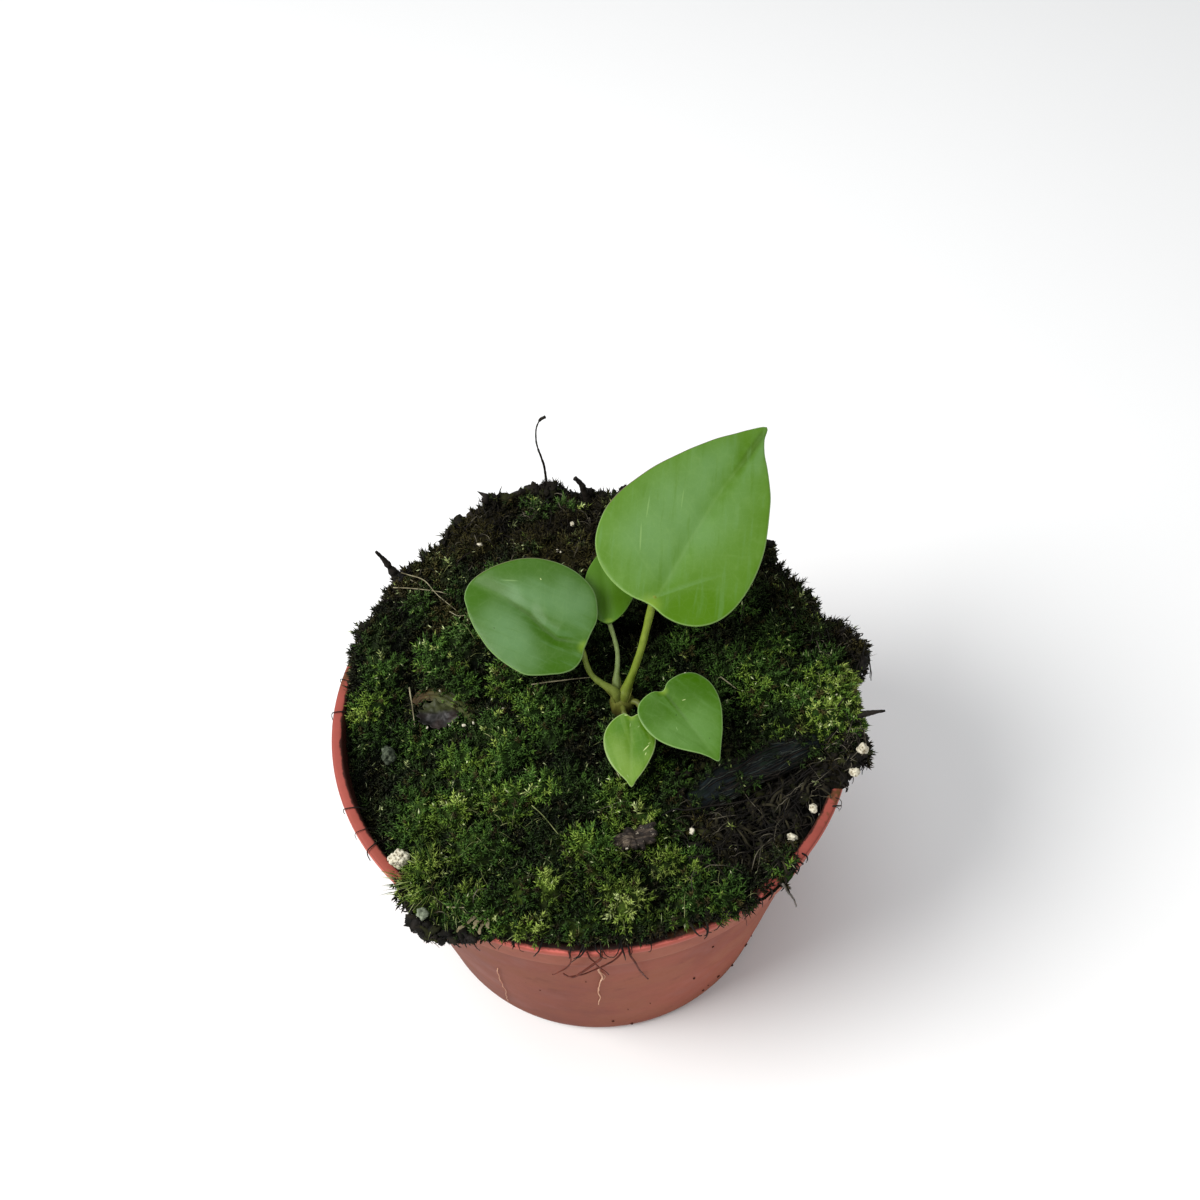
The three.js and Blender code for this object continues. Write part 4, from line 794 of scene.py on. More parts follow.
def build_carpet():
    """One sheet of ground under the moss, in rings: (vertices, their twins underneath, ragged faces)."""
    bands = [(0.6, 6.0, 50), (6.0, 12.0, 100), (12.0, 23.0, 200)]
    rings = []  # (count, radius as a share of the way to the edge or absolute)
    for lo, hi, count in bands:
        for r in np.arange(lo, hi - 0.01, 0.62 if count > 60 else 0.75):
            rings.append((count, r, 0.0))
    for t in np.linspace(0, 1, 36):
        rings.append((400, 23.0, t))
    skirt = 9
    verts, twins, starts, counts = [], [], [], []
    total = 0
    for count, r, t in rings:
        a = np.arange(count) / count * TAU
        edge = carpet_edge(np.degrees(a)) + ragged(a)
        rr = np.full(count, r) if t == 0.0 and count < 400 else r + (edge - 0.7 - r) * t
        x, y = rr * np.cos(a), rr * np.sin(a)
        z = ground_height(x, y)
        verts.append(np.stack([x, y, z], 1))
        rb = np.minimum(rr, 41.6)
        xb, yb = rb * np.cos(a), rb * np.sin(a)
        twins.append(np.stack([xb, yb, np.minimum(carpet_height(xb, yb) - 3.2, z - 1.5)], 1))
        starts.append(total)
        counts.append(count)
        total += count
    a = np.arange(400) / 400 * TAU
    edge = carpet_edge(np.degrees(a)) + ragged(a)
    top = verts[-1][:, 2]
    hang = np.clip((edge - 45.0) / 0.6, 0, 1)
    droop = np.clip((edge - 44.8) * 0.75, 0, 3.4)
    end_r = np.where(edge > 45.0, RIM_R + 0.5, edge - 0.15)
    end_z = np.where(edge > 45.0, POT_H + 0.1 - 0.5 * droop, np.where(edge > 43.0, np.minimum(top - 1.0, POT_H + 0.35), top - 2.6))
    twin0 = np.stack([np.minimum(edge - 0.7, 41.6), twins[-1][:, 2]], 1)
    for k in range(1, skirt + 1):
        t = k / skirt
        p0 = np.stack([edge - 0.7, top], 1)
        p1 = np.stack([edge + 0.35, top - 0.15], 1)
        p2 = np.stack([np.where(hang > 0, edge - 0.1, edge + 0.1), np.where(hang > 0, POT_H + 0.1 - droop, end_z + 0.7)], 1)
        p3 = np.stack([end_r, end_z], 1)
        q = (1 - t) ** 3 * p0 + 3 * (1 - t) ** 2 * t * p1 + 3 * (1 - t) * t * t * p2 + t ** 3 * p3
        lump = noise(np.stack([q[:, 0] * np.cos(a), q[:, 0] * np.sin(a), q[:, 1]], 1), 1.3, 41) * 0.3 * math.sin(math.pi * t)
        q[:, 0] += lump
        verts.append(np.stack([q[:, 0] * np.cos(a), q[:, 0] * np.sin(a), q[:, 1]], 1))
        m = np.stack([np.minimum(edge - 0.7, 42.4), np.maximum(np.minimum(top - 1.2, POT_H + 0.3), twin0[:, 1] + 0.2)], 1)
        w = twin0 * (1 - t) ** 2 + 2 * m * (1 - t) * t + (p3 - [0.12, 0.12]) * t * t
        w[:, 1] = np.minimum(w[:, 1], q[:, 1] - 0.05 * (1 - t) - 0.02)
        twins.append(np.stack([w[:, 0] * np.cos(a), w[:, 0] * np.sin(a), w[:, 1]], 1))
        starts.append(total)
        counts.append(400)
        total += 400
    faces = []
    for k in range(len(counts) - 1):
        s, c, s2, c2 = starts[k], counts[k], starts[k + 1], counts[k + 1]
        i = np.arange(c)
        i2 = (i + 1) % c
        if c == c2:
            faces.append(np.stack([s + i, s2 + i, s2 + i2, s + i2], 1))
        else:
            faces.append(np.stack([s + i, s2 + 2 * i, s2 + 2 * i + 1, s2 + (2 * i + 2) % c2, s + i2], 1))
    middle = np.arange(counts[0])
    return np.vstack(verts), np.vstack(twins), faces, middle


CARPET, TWIN, SHEETS, MIDDLE = build_carpet()
TONE = tone_at(CARPET[:, 0], CARPET[:, 1])
LIGHT = np.clip(light_at(CARPET[:, 0], CARPET[:, 1]), 0, 1)


def flat_map(v):
    """The upper half of the shoots' map, seen from above and leaned a little so that upright faces keep some width."""
    x, y = v[:, 0] + 0.35 * (v[:, 2] - 60), v[:, 1] + 0.25 * (v[:, 2] - 60)
    return np.stack([np.clip((x + 60) / 120, 0.002, 0.998), np.clip(0.5 + (y + 60) / 240, 0.502, 0.998)], 1)


def shell_of(k):
    """The ground of cushion k as a closed slab: its part of the sheet, the same part underneath, and a wall round it."""
    chosen, edges = [], []
    for f in SHEETS:
        mid = CARPET[f].mean(1)
        mine = f[cushion(mid[:, 0], mid[:, 1]) == k]
        chosen.append(mine)
        edges.append(np.stack([mine, np.roll(mine, -1, 1)], -1).reshape(-1, 2))
    if cushion(CARPET[MIDDLE].mean(0)[None, 0], CARPET[MIDDLE].mean(0)[None, 1])[0] == k:
        chosen.append(MIDDLE[None])
        edges.append(np.stack([MIDDLE, np.roll(MIDDLE, -1)], -1))
    e = np.concatenate(edges)
    key = e.min(1) * len(CARPET) + e.max(1)
    _, first, count = np.unique(key, return_index=True, return_counts=True)
    rim = e[first[count == 1]]
    n = len(CARPET)
    used = np.unique(np.concatenate([c.ravel() for c in chosen]))
    new = np.full(2 * n, -1)
    new[used] = np.arange(len(used))
    new[used + n] = np.arange(len(used)) + len(used)
    both = np.vstack([CARPET, TWIN])
    faces = [new[c] for c in chosen if len(c)] + [new[c + n][:, ::-1] for c in chosen if len(c)]
    faces.append(new[np.stack([rim[:, 1], rim[:, 0], rim[:, 0] + n, rim[:, 1] + n], 1)])
    return both[np.concatenate([used, used + n])], faces, np.concatenate([TONE[used], TONE[used]]), np.concatenate([LIGHT[used], LIGHT[used]])


def ground_normal(x, y):
    e = 0.35
    gx = (ground_height(x + e, y) - ground_height(x - e, y)) / (2 * e)
    gy = (ground_height(x, y + e) - ground_height(x, y - e)) / (2 * e)
    return unit(np.stack([-gx, -gy, np.ones_like(gx)], 1))


def tufts():
    """Where shoots grow: place, way up, and 1 on the hanging edge."""
    rng = np.random.default_rng(5)
    step = 0.84
    gx, gy = np.meshgrid(np.arange(-52, 52, step), np.arange(-52, 52, step * 0.866))
    gx = gx + (np.arange(len(gx))[:, None] % 2) * step / 2
    x, y = gx.ravel() + rng.normal(0, 0.2, gx.size), gy.ravel() + rng.normal(0, 0.2, gx.size)
    a = np.arctan2(y, x)
    keep = np.hypot(x, y) < carpet_edge(np.degrees(a)) + ragged(a) - 0.7
    x, y = x[keep], y[keep]
    # shoots gather round the middle of their own small tuft and lean away from it
    g, _, wx, wy = cells(x, y, 2.5, 23)
    x, y = x + wx * 0.2, y + wy * 0.2
    z = ground_height(x, y)
    up = unit(ground_normal(x, y) + np.stack([-0.32 * wx, -0.32 * wy, 0.3 + 0 * wx], 1))
    # the overhanging edge
    m = 2500
    a = rng.uniform(0, TAU, m)
    edge = carpet_edge(np.degrees(a)) + ragged(a)
    top = ground_height((edge - 0.7) * np.cos(a), (edge - 0.7) * np.sin(a))
    droop = np.clip((edge - 44.8) * 0.75, 0, 3.4)
    low = np.where(edge > 45.0, POT_H + 0.2 - droop, np.where(edge > 43.0, POT_H + 0.4, top - 2.2))
    t = rng.uniform(0, 1, m) ** 1.1
    ez = top + (low - top) * t
    er = edge - 0.55 * (1 - np.sin(np.clip(t, 0, 1) * math.pi)) * np.where(edge > 45, 1.4, 0.8) - 0.2
    ex, ey = er * np.cos(a), er * np.sin(a)
    eup = unit(np.stack([np.cos(a), np.sin(a), 0.75 - 1.35 * t], 1) + rng.normal(0, 0.2, (m, 3)))
    x, y, z = np.concatenate([x, ex]), np.concatenate([y, ey]), np.concatenate([z, ez])
    up = np.vstack([up, eup])
    side = np.concatenate([np.zeros(len(x) - m), np.ones(m)])
    return x, y, z, up, side, np.concatenate([np.zeros(len(x) - m), t])


def leafy(p, up, lean, tone, size, dead, light, rng, per=10):
    """Leafy shoots: small pointed leaves set spirally round a short stem, like a star from above. Four corners a leaf, and their map."""
    n = len(p)
    k = np.repeat(np.arange(n), per)
    j = np.tile(np.arange(per), n)
    share = j / (per - 1)  # 0 at the lowest leaf, 1 at the tip
    a = j * 2.39996 + np.repeat(rng.uniform(0, TAU, n), per) + rng.normal(0, 0.3, len(k))
    tilt = np.where(j == per - 1, 0.15, (1.25 - 0.5 * share) * rng.uniform(0.7, 1.15, len(k)))
    ref = np.where(np.abs(lean[k, 2:]) < 0.9, np.array([[0, 0, 1.0]]), np.array([[1.0, 0, 0]]))
    s = unit(np.cross(lean[k], ref))
    t = np.cross(lean[k], s)
    way = lean[k] * np.cos(tilt)[:, None] + (s * np.cos(a)[:, None] + t * np.sin(a)[:, None]) * np.sin(tilt)[:, None]
    stem = 1.6 * size[k]
    length = (1.0 - 0.2 * share) * np.sqrt(size[k]) * rng.uniform(0.75, 1.2, len(k)) * np.where(dead[k] > 0.5, 1.3, 1.0)
    width = (0.265 - 0.05 * share) * rng.uniform(0.75, 1.25, len(k)) * np.where(dead[k] > 0.5, 0.6, 1.0)
    base = p[k] - up[k] * 0.35 + lean[k] * (stem * (0.08 + 0.92 * share))[:, None]
    tn = tone[k] + rng.normal(0, 0.015, len(k)) + 0.03 * (share - 0.5) * (tone[k] > 0.34)
    # a few leaves near the tip take pale tones as painted glints
    tn = np.where((rng.random(len(k)) < 0.022) & (share > 0.3) & (tone[k] > 0.25), rng.uniform(0.88, 1.0, len(k)), tn)
    v, _, uv = spikes(base, way, length, width, np.clip(tn, 0.008, 0.992), rng)
    v4, uv4 = v.reshape(-1, 4, 3), uv.reshape(-1, 4, 2)
    # the height on the map sets painted light and shade: brighter with the shoot's light and up towards its tip
    high = np.clip(0.02 + 0.62 * light[k] + 0.24 * share + rng.normal(0, 0.085, len(k)), 0.01, 0.9)
    uv4[:, :3, 1] = high[:, None] * 0.5 - 0.002
    uv4[:, 2, 1] += 0.004
    uv4[:, 3, 1] = high * 0.5 + 0.035
    return v4, uv4, k


def quads4(n):
    i = (np.arange(n) * 4)[:, None]
    return np.concatenate([i + [0, 1, 3], i + [1, 2, 3], i + [2, 0, 3], i + [0, 2, 1]])


def hold_in(v, base):
    """Shoots that stand inside the pot don't reach through its wall: corners by leaf, and where each one starts."""
    inside = (np.hypot(base[:, 0], base[:, 1]) < 43.2) & (base[:, 2] < POT_H - 0.2)
    r = np.hypot(v[..., 0], v[..., 1])
    most = 42.3 + 0.1 * (v[..., 2] - 50.6)
    shrink = np.where(inside[:, None] & (v[..., 2] < POT_H + 0.05) & (r > most), most / r, 1.0)
    v[..., 0] *= shrink
    v[..., 1] *= shrink


def grow():
    """The shoots of every cushion."""
    rng = np.random.default_rng(77)
    x, y, z, up, side, drop = tufts()
    n = len(x)
    who = cushion(x, y)
    p = np.stack([x, y, z], 1)
    flat = p * (1, 1, 0)
    own = tone_at(x, y)
    f, cell, wx, wy = big_cells(x, y)
    g, cell2, _, _ = cells(x, y, 2.5, 23)
    dead = np.clip((0.33 - own) / 0.14, 0, 1)
    # dead ground still holds a few olive tufts
    alive = (dead > 0.5) & (noise(flat, 3.4, 63) + 0.6 * (cell2 - 0.5) > 0.14) & (who != 11)
    tone = np.where(alive, rng.uniform(0.2, 0.37, n), own)
    dead = np.where(alive, 0.0, dead)
    tone = tone + (0.14 * noise(flat, 9, 61, 2) + 0.24 * (cell - 0.5) + 0.18 * (cell2 - 0.5)) * (1 - 0.6 * dead) + rng.normal(0, 0.03, n)
    light = light_at(x, y) + rng.normal(0, 0.06, n)
    light = np.where(alive, light - 0.05, light)
    # between the cushions the shoots take darker, deeper green tones
    deep = np.clip(f - 0.45, 0, 1) * 1.3 + np.clip(g - 0.42, 0, 1) * 0.9
    tone = np.where((tone > 0.36) & (deep > 0.2), np.maximum(tone - deep * 0.7, 0.33), tone)
    brown = (rng.random(n) < 0.07) & (dead < 0.5)
    tone = np.where(brown, rng.uniform(0.14, 0.28, n), tone)
    # a few pale shoots: pale moss tips, also standing in for painted glints
    pale = rng.random(n) < np.where(dead > 0.5, 0.025, 0.012)
    tone = np.where(pale, rng.uniform(0.84, 0.95, n), tone)
    light = np.where(dead > 0.5, 0.3 + 0.5 * (light - 0.3), light)
    front = np.sin(np.arctan2(y, x)) < -0.5
    # painted light and shade on the edge: a fringe of dark dead shoots in painted shade, painted shade deepening down
    # the overhang, and painted light with yellow-green tones on the right edge and the front-left clump
    sunny = ((x > 39) & (np.abs(y + 4.5) < 7)) | (np.hypot(x + 34, y + 36) < 4.5)
    fringe = (side > 0) & (rng.random(n) < np.where(front, np.clip(0.25 + 1.2 * drop, 0, 0.94), np.where(sunny, 0.6 * np.clip(drop - 0.3, 0, 1), 0.12 + 0.35 * drop)))
    tone = np.where(fringe, rng.uniform(0.01, 0.22, n), tone)
    light = np.where(fringe, rng.uniform(0.1, 0.4, n), np.where(side > 0, light - 0.16 - 0.2 * drop, light))
    light = np.where(sunny & ~fringe, np.maximum(light, rng.uniform(0.4, 0.78, n) - 0.25 * drop), light)
    tone = np.where(sunny & ~fringe & (rng.random(n) < 0.75), rng.uniform(0.66, 0.92, n), tone)
    tone, light = np.clip(tone, 0.01, 0.99), np.clip(light, 0.0, 1.0)
    soil = who == 11
    on = rng.random(n) < np.where(soil & (own < 0.2), 0.1, np.where(dead > 0.5, 0.85, 1.0))
    az = np.degrees(np.arctan2(y, x))
    on &= ~((side > 0) & (az > -113) & (az < -63) & (drop > 0.3))
    on &= ~((side > 0) & (own < 0.33) & (rng.random(n) < 0.45))
    reach = np.hypot(x, y)
    on &= ~((side > 0) & (z < POT_H + 0.3) & (reach > 42.8) & (reach < 45.5))
    on &= ~((side > 0) & (az > -130) & (az < -113) & (drop > 0.2) & (rng.random(n) < 0.7))
    size = rng.uniform(0.75, 1.3, n) * np.where((side > 0) & (x > 38) & (y > -12) & (y < 6), 0.62, 1.0) * np.where((reach > 44.9) & (az > -132) & (az < -112), 0.45, 1.0) * (1 + 0.2 * noise(flat, 6, 71)) * (1.15 - 0.4 * np.clip(g, 0, 1)) * (1 - 0.22 * np.clip(mounds(x, y)[1], 0, 1))
    for cx, cy, r in CALM:
        size = np.where(np.hypot(x - cx, y - cy) < r * 0.8, np.minimum(size, 0.7), size)
    away = np.stack([-wx, -wy, 0 * wx], 1) / 6.2
    lean = unit(up + away * 1.3 * (1 - side)[:, None] + rng.normal(0, 0.24, (n, 3)) + np.where(dead > 0.5, 1.0, 0.0)[:, None] * rng.normal(0, 0.4, (n, 3)))
    out = {k: Heap() for k in range(len(CUSHIONS))}
    idx = np.flatnonzero(on)
    v4, uv4, k = leafy(p[idx], up[idx], lean[idx], tone[idx], size[idx], dead[idx], light[idx], rng)
    hold_in(v4, p[idx][k])
    for c in range(len(CUSHIONS)):
        m = who[idx][k] == c
        out[c].add(v4[m].reshape(-1, 3), [quads4(int(m.sum()))], 1, uv4[m].reshape(-1, 2))

    def wisps(pick, way, curl, length, width, tn):
        v, _, uv = spikes(p[pick] - up[pick] * 0.2, way, length, width, tn, rng, curl)
        v7, uv7 = v.reshape(-1, 7, 3), uv.reshape(-1, 7, 2)
        hold_in(v7, p[pick])
        uv7[..., 1] = (0.14 + 0.5 * uv7[..., 1]) * 0.5
        for c in range(len(CUSHIONS)):
            w = who[pick] == c
            i = (np.arange(int(w.sum())) * 7)[:, None]
            out[c].add(v7[w].reshape(-1, 3), [np.concatenate([i + [0, 1, 4, 3], i + [1, 2, 5, 4], i + [2, 0, 3, 5]]),
                                              np.concatenate([i + [3, 4, 6], i + [4, 5, 6], i + [5, 3, 6], i + [0, 2, 1]])], 1, uv7[w].reshape(-1, 2))

    # longer bowed shoots that stand out of the cushions and over the edge
    pick = rng.choice(np.flatnonzero(on), 4200, replace=False)
    want = np.clip(0.2 + 0.5 * side[pick] + 0.4 * noise(flat[pick], 7, 91) + 0.25 * (dead[pick] > 0.5), 0, 1)
    pick = pick[rng.random(len(pick)) < want]
    m = len(pick)
    around = rng.normal(0, 1, (m, 3)) * (1, 1, 0.4)
    way = unit(up[pick] * 0.9 + around * 0.7)
    curl = around * 0.5 + np.array([0, 0, -0.7]) * side[pick][:, None] + np.array([0, 0, 0.25])
    clump = (side[pick] > 0) & (np.hypot(x[pick] + 30, y[pick] + 39) < 9)
    tn = np.where((dead[pick] > 0.5) | (clump & (rng.random(m) < 0.8)), rng.uniform(0.02, 0.2, m), np.where(rng.random(m) < 0.22, rng.uniform(0.84, 0.98, m), np.clip(tone[pick] + 0.04, 0, 0.95)))
    wisps(pick, way, curl, rng.uniform(1.4, 2.6, m) * np.where(clump, 0.5, 1.0), rng.uniform(0.07, 0.11, m), tn)
    # a star of long pale-tipped shoots on the front left clump
    near = np.flatnonzero(on & (np.hypot(x + 29, y + 35) < 7.5) & (drop < 0.3) & (np.hypot(x, y) < 45.8))
    pick = rng.choice(near, min(len(near), 300), replace=False)
    off = np.stack([x[pick] + 25.5, y[pick] + 31.5, 0 * pick], 1)
    way = unit(unit(off) * 0.85 + np.array([0, 0, 0.75]) + rng.normal(0, 0.25, (len(pick), 3)))
    wisps(pick, way, unit(off) * 0.5 - np.array([0, 0, 0.35]), rng.uniform(2.4, 4.6, len(pick)), rng.uniform(0.08, 0.13, len(pick)),
          np.where(rng.random(len(pick)) < 0.5, rng.uniform(0.84, 0.97, len(pick)), rng.uniform(0.6, 0.76, len(pick))))
    return out


SHOOTS = grow()


def crumbs(count, where, size, seed, detail=1):
    """Rough crumbs of soil."""
    rng = np.random.default_rng(seed)
    bm = bmesh.new()
    bmesh.ops.create_icosphere(bm, subdivisions=detail, radius=1.0)
    bv = np.array([v.co[:] for v in bm.verts])
    bf = np.array([[v.index for v in f.verts] for f in bm.faces])
    bm.free()
    v, f = [], []
    for k in range(count):
        x, y, z = where(rng)
        r = rng.uniform(*size)
        q = bv * (1 + 0.75 * noise(bv * 1.3 + k * 3.7, 1.0, 5) + 0.35 * noise(bv + k * 1.9, 0.45, 7))[:, None] * rng.uniform(0.35, 1.35, 3)
        turn_ = unit(rng.normal(0, 1, 3))
        q = q - 2 * (q @ turn_)[:, None] * turn_  # mirrored across a random plane
        q[:, 2] *= -1
        v.append(q * r + [x, y, z + 0.3 * r])
        f.append(bf + k * len(bv))
    return np.vstack(v), [np.vstack(f)]


def laid_paths(x, y, heading, length, bow, lift, steps=8, wave=0.0, rng=None):
    """Strands that lie on the moss, rising a little over it in the middle."""
    t = np.linspace(-0.5, 0.5, steps)
    turn_ = heading[:, None] + bow[:, None] * t
    dx, dy = np.cos(turn_), np.sin(turn_)
    px = x[:, None] + np.cumsum(dx, 1) * (length / steps)[:, None] - (dx.sum(1) * length / steps / 2)[:, None]
    py = y[:, None] + np.cumsum(dy, 1) * (length / steps)[:, None] - (dy.sum(1) * length / steps / 2)[:, None]
    r = np.hypot(px, py)
    far = carpet_edge(np.degrees(np.arctan2(py, px))) - 0.3
    shrink = np.minimum(1, far / np.maximum(r, 1e-6))
    px, py = px * shrink, py * shrink
    pz = ground_height(px.ravel(), py.ravel()).reshape(px.shape)
    smooth = 0.5 * pz + 0.25 * np.roll(pz, 1, 1) + 0.25 * np.roll(pz, -1, 1)
    smooth[:, 0], smooth[:, -1] = pz[:, 0], pz[:, -1]
    line = pz.max(1, keepdims=True) * 0.5 + smooth * 0.5
    pz = line + lift[:, None] * np.cos(t * math.pi)[None]
    if wave and rng is not None:
        px += rng.normal(0, wave, px.shape)
        py += rng.normal(0, wave, px.shape)
        pz += rng.normal(0, wave, px.shape)
    return np.stack([px, py, pz], -1)


def build_moss():
    for k, (name, _, _) in enumerate(CUSHIONS):
        heap = Heap()
        v, faces, tone, light = shell_of(k)
        heap.add(v, faces, 0, flat_map(v))
        base = SHOOTS[k]
        heap.v += base.v
        heap.flat += [q + heap.n for q in base.flat]
        heap.lens += base.lens
        heap.mat += base.mat
        heap.uv += base.uv
        heap.n += base.n
        if name == "root_litter_right_front":
            def where(rng):
                while True:
                    x, y = rng.uniform(12, 43), rng.uniform(-38, -10)
                    if cushion(np.array([x]), np.array([y]))[0] == k and math.hypot(x, y) < carpet_edge(math.degrees(math.atan2(y, x))) - 0.8:
                        return x, y, float(ground_height(np.array([x]), np.array([y]))[0])
            cv, cf = crumbs(430, where, (0.25, 0.85), 3)
            heap.add(cv, cf, 2, flat_map(cv))
            cv, cf = crumbs(130, where, (0.3, 1.0), 8)
            heap.add(cv, cf, 3, flat_map(cv))
        total = sum(len(q) for q in heap.v)
        ob = piece(name + "_growth", heap, [GROUND, MOSS, SOIL, MOULD] if name == "root_litter_right_front" else [GROUND, MOSS, SOIL], [name], uv_name="OFBake",
                   numbers={"tone": np.concatenate([tone, np.full(total - len(tone), 0.3)]), "light": np.concatenate([light, np.full(total - len(tone), 0.5)])})


build_moss()


def scattered(rng, n, spots):
    """n places on the carpet, drawn round the given spots: x, y, reach, weight."""
    spots = np.array(spots, float)
    w = spots[:, 3] / spots[:, 3].sum()
    xs, ys = [], []
    while len(xs) < n:
        s = spots[rng.choice(len(spots), p=w)]
        x, y = rng.normal(s[0], s[2]), rng.normal(s[1], s[2])
        if math.hypot(x, y) < carpet_edge(math.degrees(math.atan2(y, x))) - 1.0 and math.hypot(x - 5.4, y + 1.6) > 3.2:
            xs.append(x)
            ys.append(y)
    return np.array(xs), np.array(ys)


def ball(detail):
    bm = bmesh.new()
    bmesh.ops.create_icosphere(bm, subdivisions=detail, radius=1.0)
    v = np.array([q.co[:] for q in bm.verts])
    f = np.array([[q.index for q in face.verts] for face in bm.faces])
    bm.free()
    return v, f


def laid(x, y, heading, length, bow, lift, rng, steps, wave, rad, sides):
    paths = laid_paths(x, y, heading, length, bow, lift, steps=steps, wave=wave, rng=rng)
    radii = rad[:, None] * np.linspace(1.1, 0.5, steps)[None]
    return paths, radii


def build_strands():
    rng = np.random.default_rng(404)
    # pale hair-like stems all over the moss, most of them in front
    heap = Heap()
    x, y = scattered(rng, 130, [(-22, -30, 8, 3), (-12, -18, 8, 3), (2, -30, 8, 2), (18, -36, 5, 1.5), (36, -6, 6, 1.2), (-25, 10, 9, 1), (0, 0, 22, 1.5), (22, 5, 8, 1)])
    n = len(x)
    paths, radii = laid(x, y, rng.uniform(0, TAU, n), rng.uniform(1.8, 5.0, n), rng.normal(0, 0.5, n), rng.uniform(0.2, 0.7, n) + 0.7, rng, 8, 0.02, rng.uniform(0.03, 0.055, n), 4)
    heap.add(*tubes(paths, radii, 4), 0)
    for line in ([[-24.1, 18.1], [-22.7, 17.2], [-21.2, 16.2]], [[-31.6, 26.8], [-29.2, 25.2], [-27.4, 23.4]], [[33.6, -20.4], [35.2, -20.0], [36.6, -19.5]]):
        q = spline([[a_, b_, bump_up(a_, b_) + (1.5 if b_ > 0 else 0.7)] for a_, b_ in line], 14)
        heap.add(*tubes(q[None], np.linspace(0.1, 0.06, 14)[None], 6), 1)
    piece("fine_straw_hairs", heap, [HAIR, STRAW])
    # the tangle of dead strands and rootlets on the bare soil
    heap = Heap()
    x, y = scattered(rng, 290, [(26, -23, 6, 4), (33, -21, 4, 2), (20, -27, 4, 2), (24, -32, 4, 1.2), (37, -17, 3, 1)])
    n = len(x)
    head = np.where(rng.random(n) < 0.45, rng.normal(0.45, 0.35, n), rng.uniform(0, TAU, n))
    paths, radii = laid(x, y, head, rng.uniform(2.5, 10.0, n), rng.normal(0, 0.8, n), rng.uniform(0.1, 1.3, n) + 0.35, rng, 9, 0.07, rng.uniform(0.04, 0.12, n), 4)
    pale = rng.random(n) < 0.2
    heap.add(*tubes(paths[~pale], radii[~pale], 4), 0)
    heap.add(*tubes(paths[pale], radii[pale] * 0.7, 4), 1)
    x, y = scattered(rng, 70, [(23, -25, 4, 4), (29, -21, 4, 3), (19, -27, 3, 2), (27, -29, 3, 1.2)])
    n = len(x)
    paths, radii = laid(x, y, np.where(rng.random(n) < 0.5, rng.normal(1.9, 0.4, n), rng.normal(-0.8, 0.5, n)), rng.uniform(2.2, 5.5, n), rng.normal(0, 0.5, n), rng.uniform(0.2, 1.2, n) + 0.3, rng, 8, 0.05, rng.uniform(0.16, 0.34, n), 6)
    heap.add(*tubes(paths, radii, 6, flat=0.3), 2)
    piece("litter_strands", heap, [DARK, DEAD, BLADE])
    heap = Heap()
    bv, bf = ball(2)
    for q, (x_, y_, r_) in enumerate(((31.3, -19.7, 0.26), (22.6, -20.1, 0.22), (19.5, -22.1, 0.24), (36.4, -22.9, 0.27), (12.4, -22.7, 0.2), (14.4, -28.9, 0.24), (-26.0, 4.0, 0.22), (-28.2, -2.4, 0.3),
                                       (-24.2, -2.7, 0.3), (-21.6, -3.9, 0.32), (-20.1, -3.5, 0.27), (-15.0, -0.9, 0.34), (-17.8, 0.4, 0.22), (-4.4, 30.3, 0.3), (-3.8, 29.0, 0.2), (16.5, 1.5, 0.3), (41.5, -4.5, 0.22),
                                       (21.9, -28.6, 0.3), (26.6, -27.5, 0.2), (4.4, -29.6, 0.24), (2.6, -29.9, 0.18), (30.5, -31.5, 0.24))):
        lift_ = 0.35 if cushion(np.array([x_]), np.array([y_]))[0] == 11 else 1.35
        pv = bv * (0.95 + 0.6 * noise(bv + q * 4.3, 1.0, 3) - 0.2 * np.abs(noise(bv + q, 0.4, 9)))[:, None] * r_ * (1.0 + 0.3 * math.sin(q * 1.7), 1.0 - 0.3 * math.sin(q * 1.7), 0.8)
        heap.add(pv + [x_, y_, bump_up(x_, y_) + lift_], [bf])
    piece("fine_pale_grains", heap, [PERLITE])
    heap = Heap()
    for q, (az, r0, turn_, long_) in enumerate(((-115.6, 44.2, -2.2, 2.6), (-114.6, 44.6, -1.8, 2.2), (-116.6, 44.0, -2.7, 2.0), (-113.8, 43.8, -1.4, 1.8), (-118.5, 46.0, -2.4, 1.6))):
        b = math.radians(az)
        x_, y_ = r0 * math.cos(b), r0 * math.sin(b)
        rise = bump_up(x_ * 0.97, y_ * 0.97) + 0.9
        line = [[x_ + math.cos(turn_) * long_ * w, y_ + math.sin(turn_) * long_ * w, rise + 0.5 * w - 1.6 * w * w] for w in (-0.5, -0.15, 0.2, 0.5)]
        spine = spline(line, 20)
        heap.add(*tubes((spine + 0.3 * np.stack([noise(spine + q, 0.8, 4), noise(spine + q, 0.8, 14), noise(spine + q, 0.8, 24)], 1))[None], ((0.30 + 0.12 * noise(spine * 1.7, 0.6, 9 + q)) * np.sin(np.linspace(0.35, 2.9, 20)) ** 0.5)[None], 10, flat=0.16))
    piece("dead_leaf_bits", heap, [BEIGE])
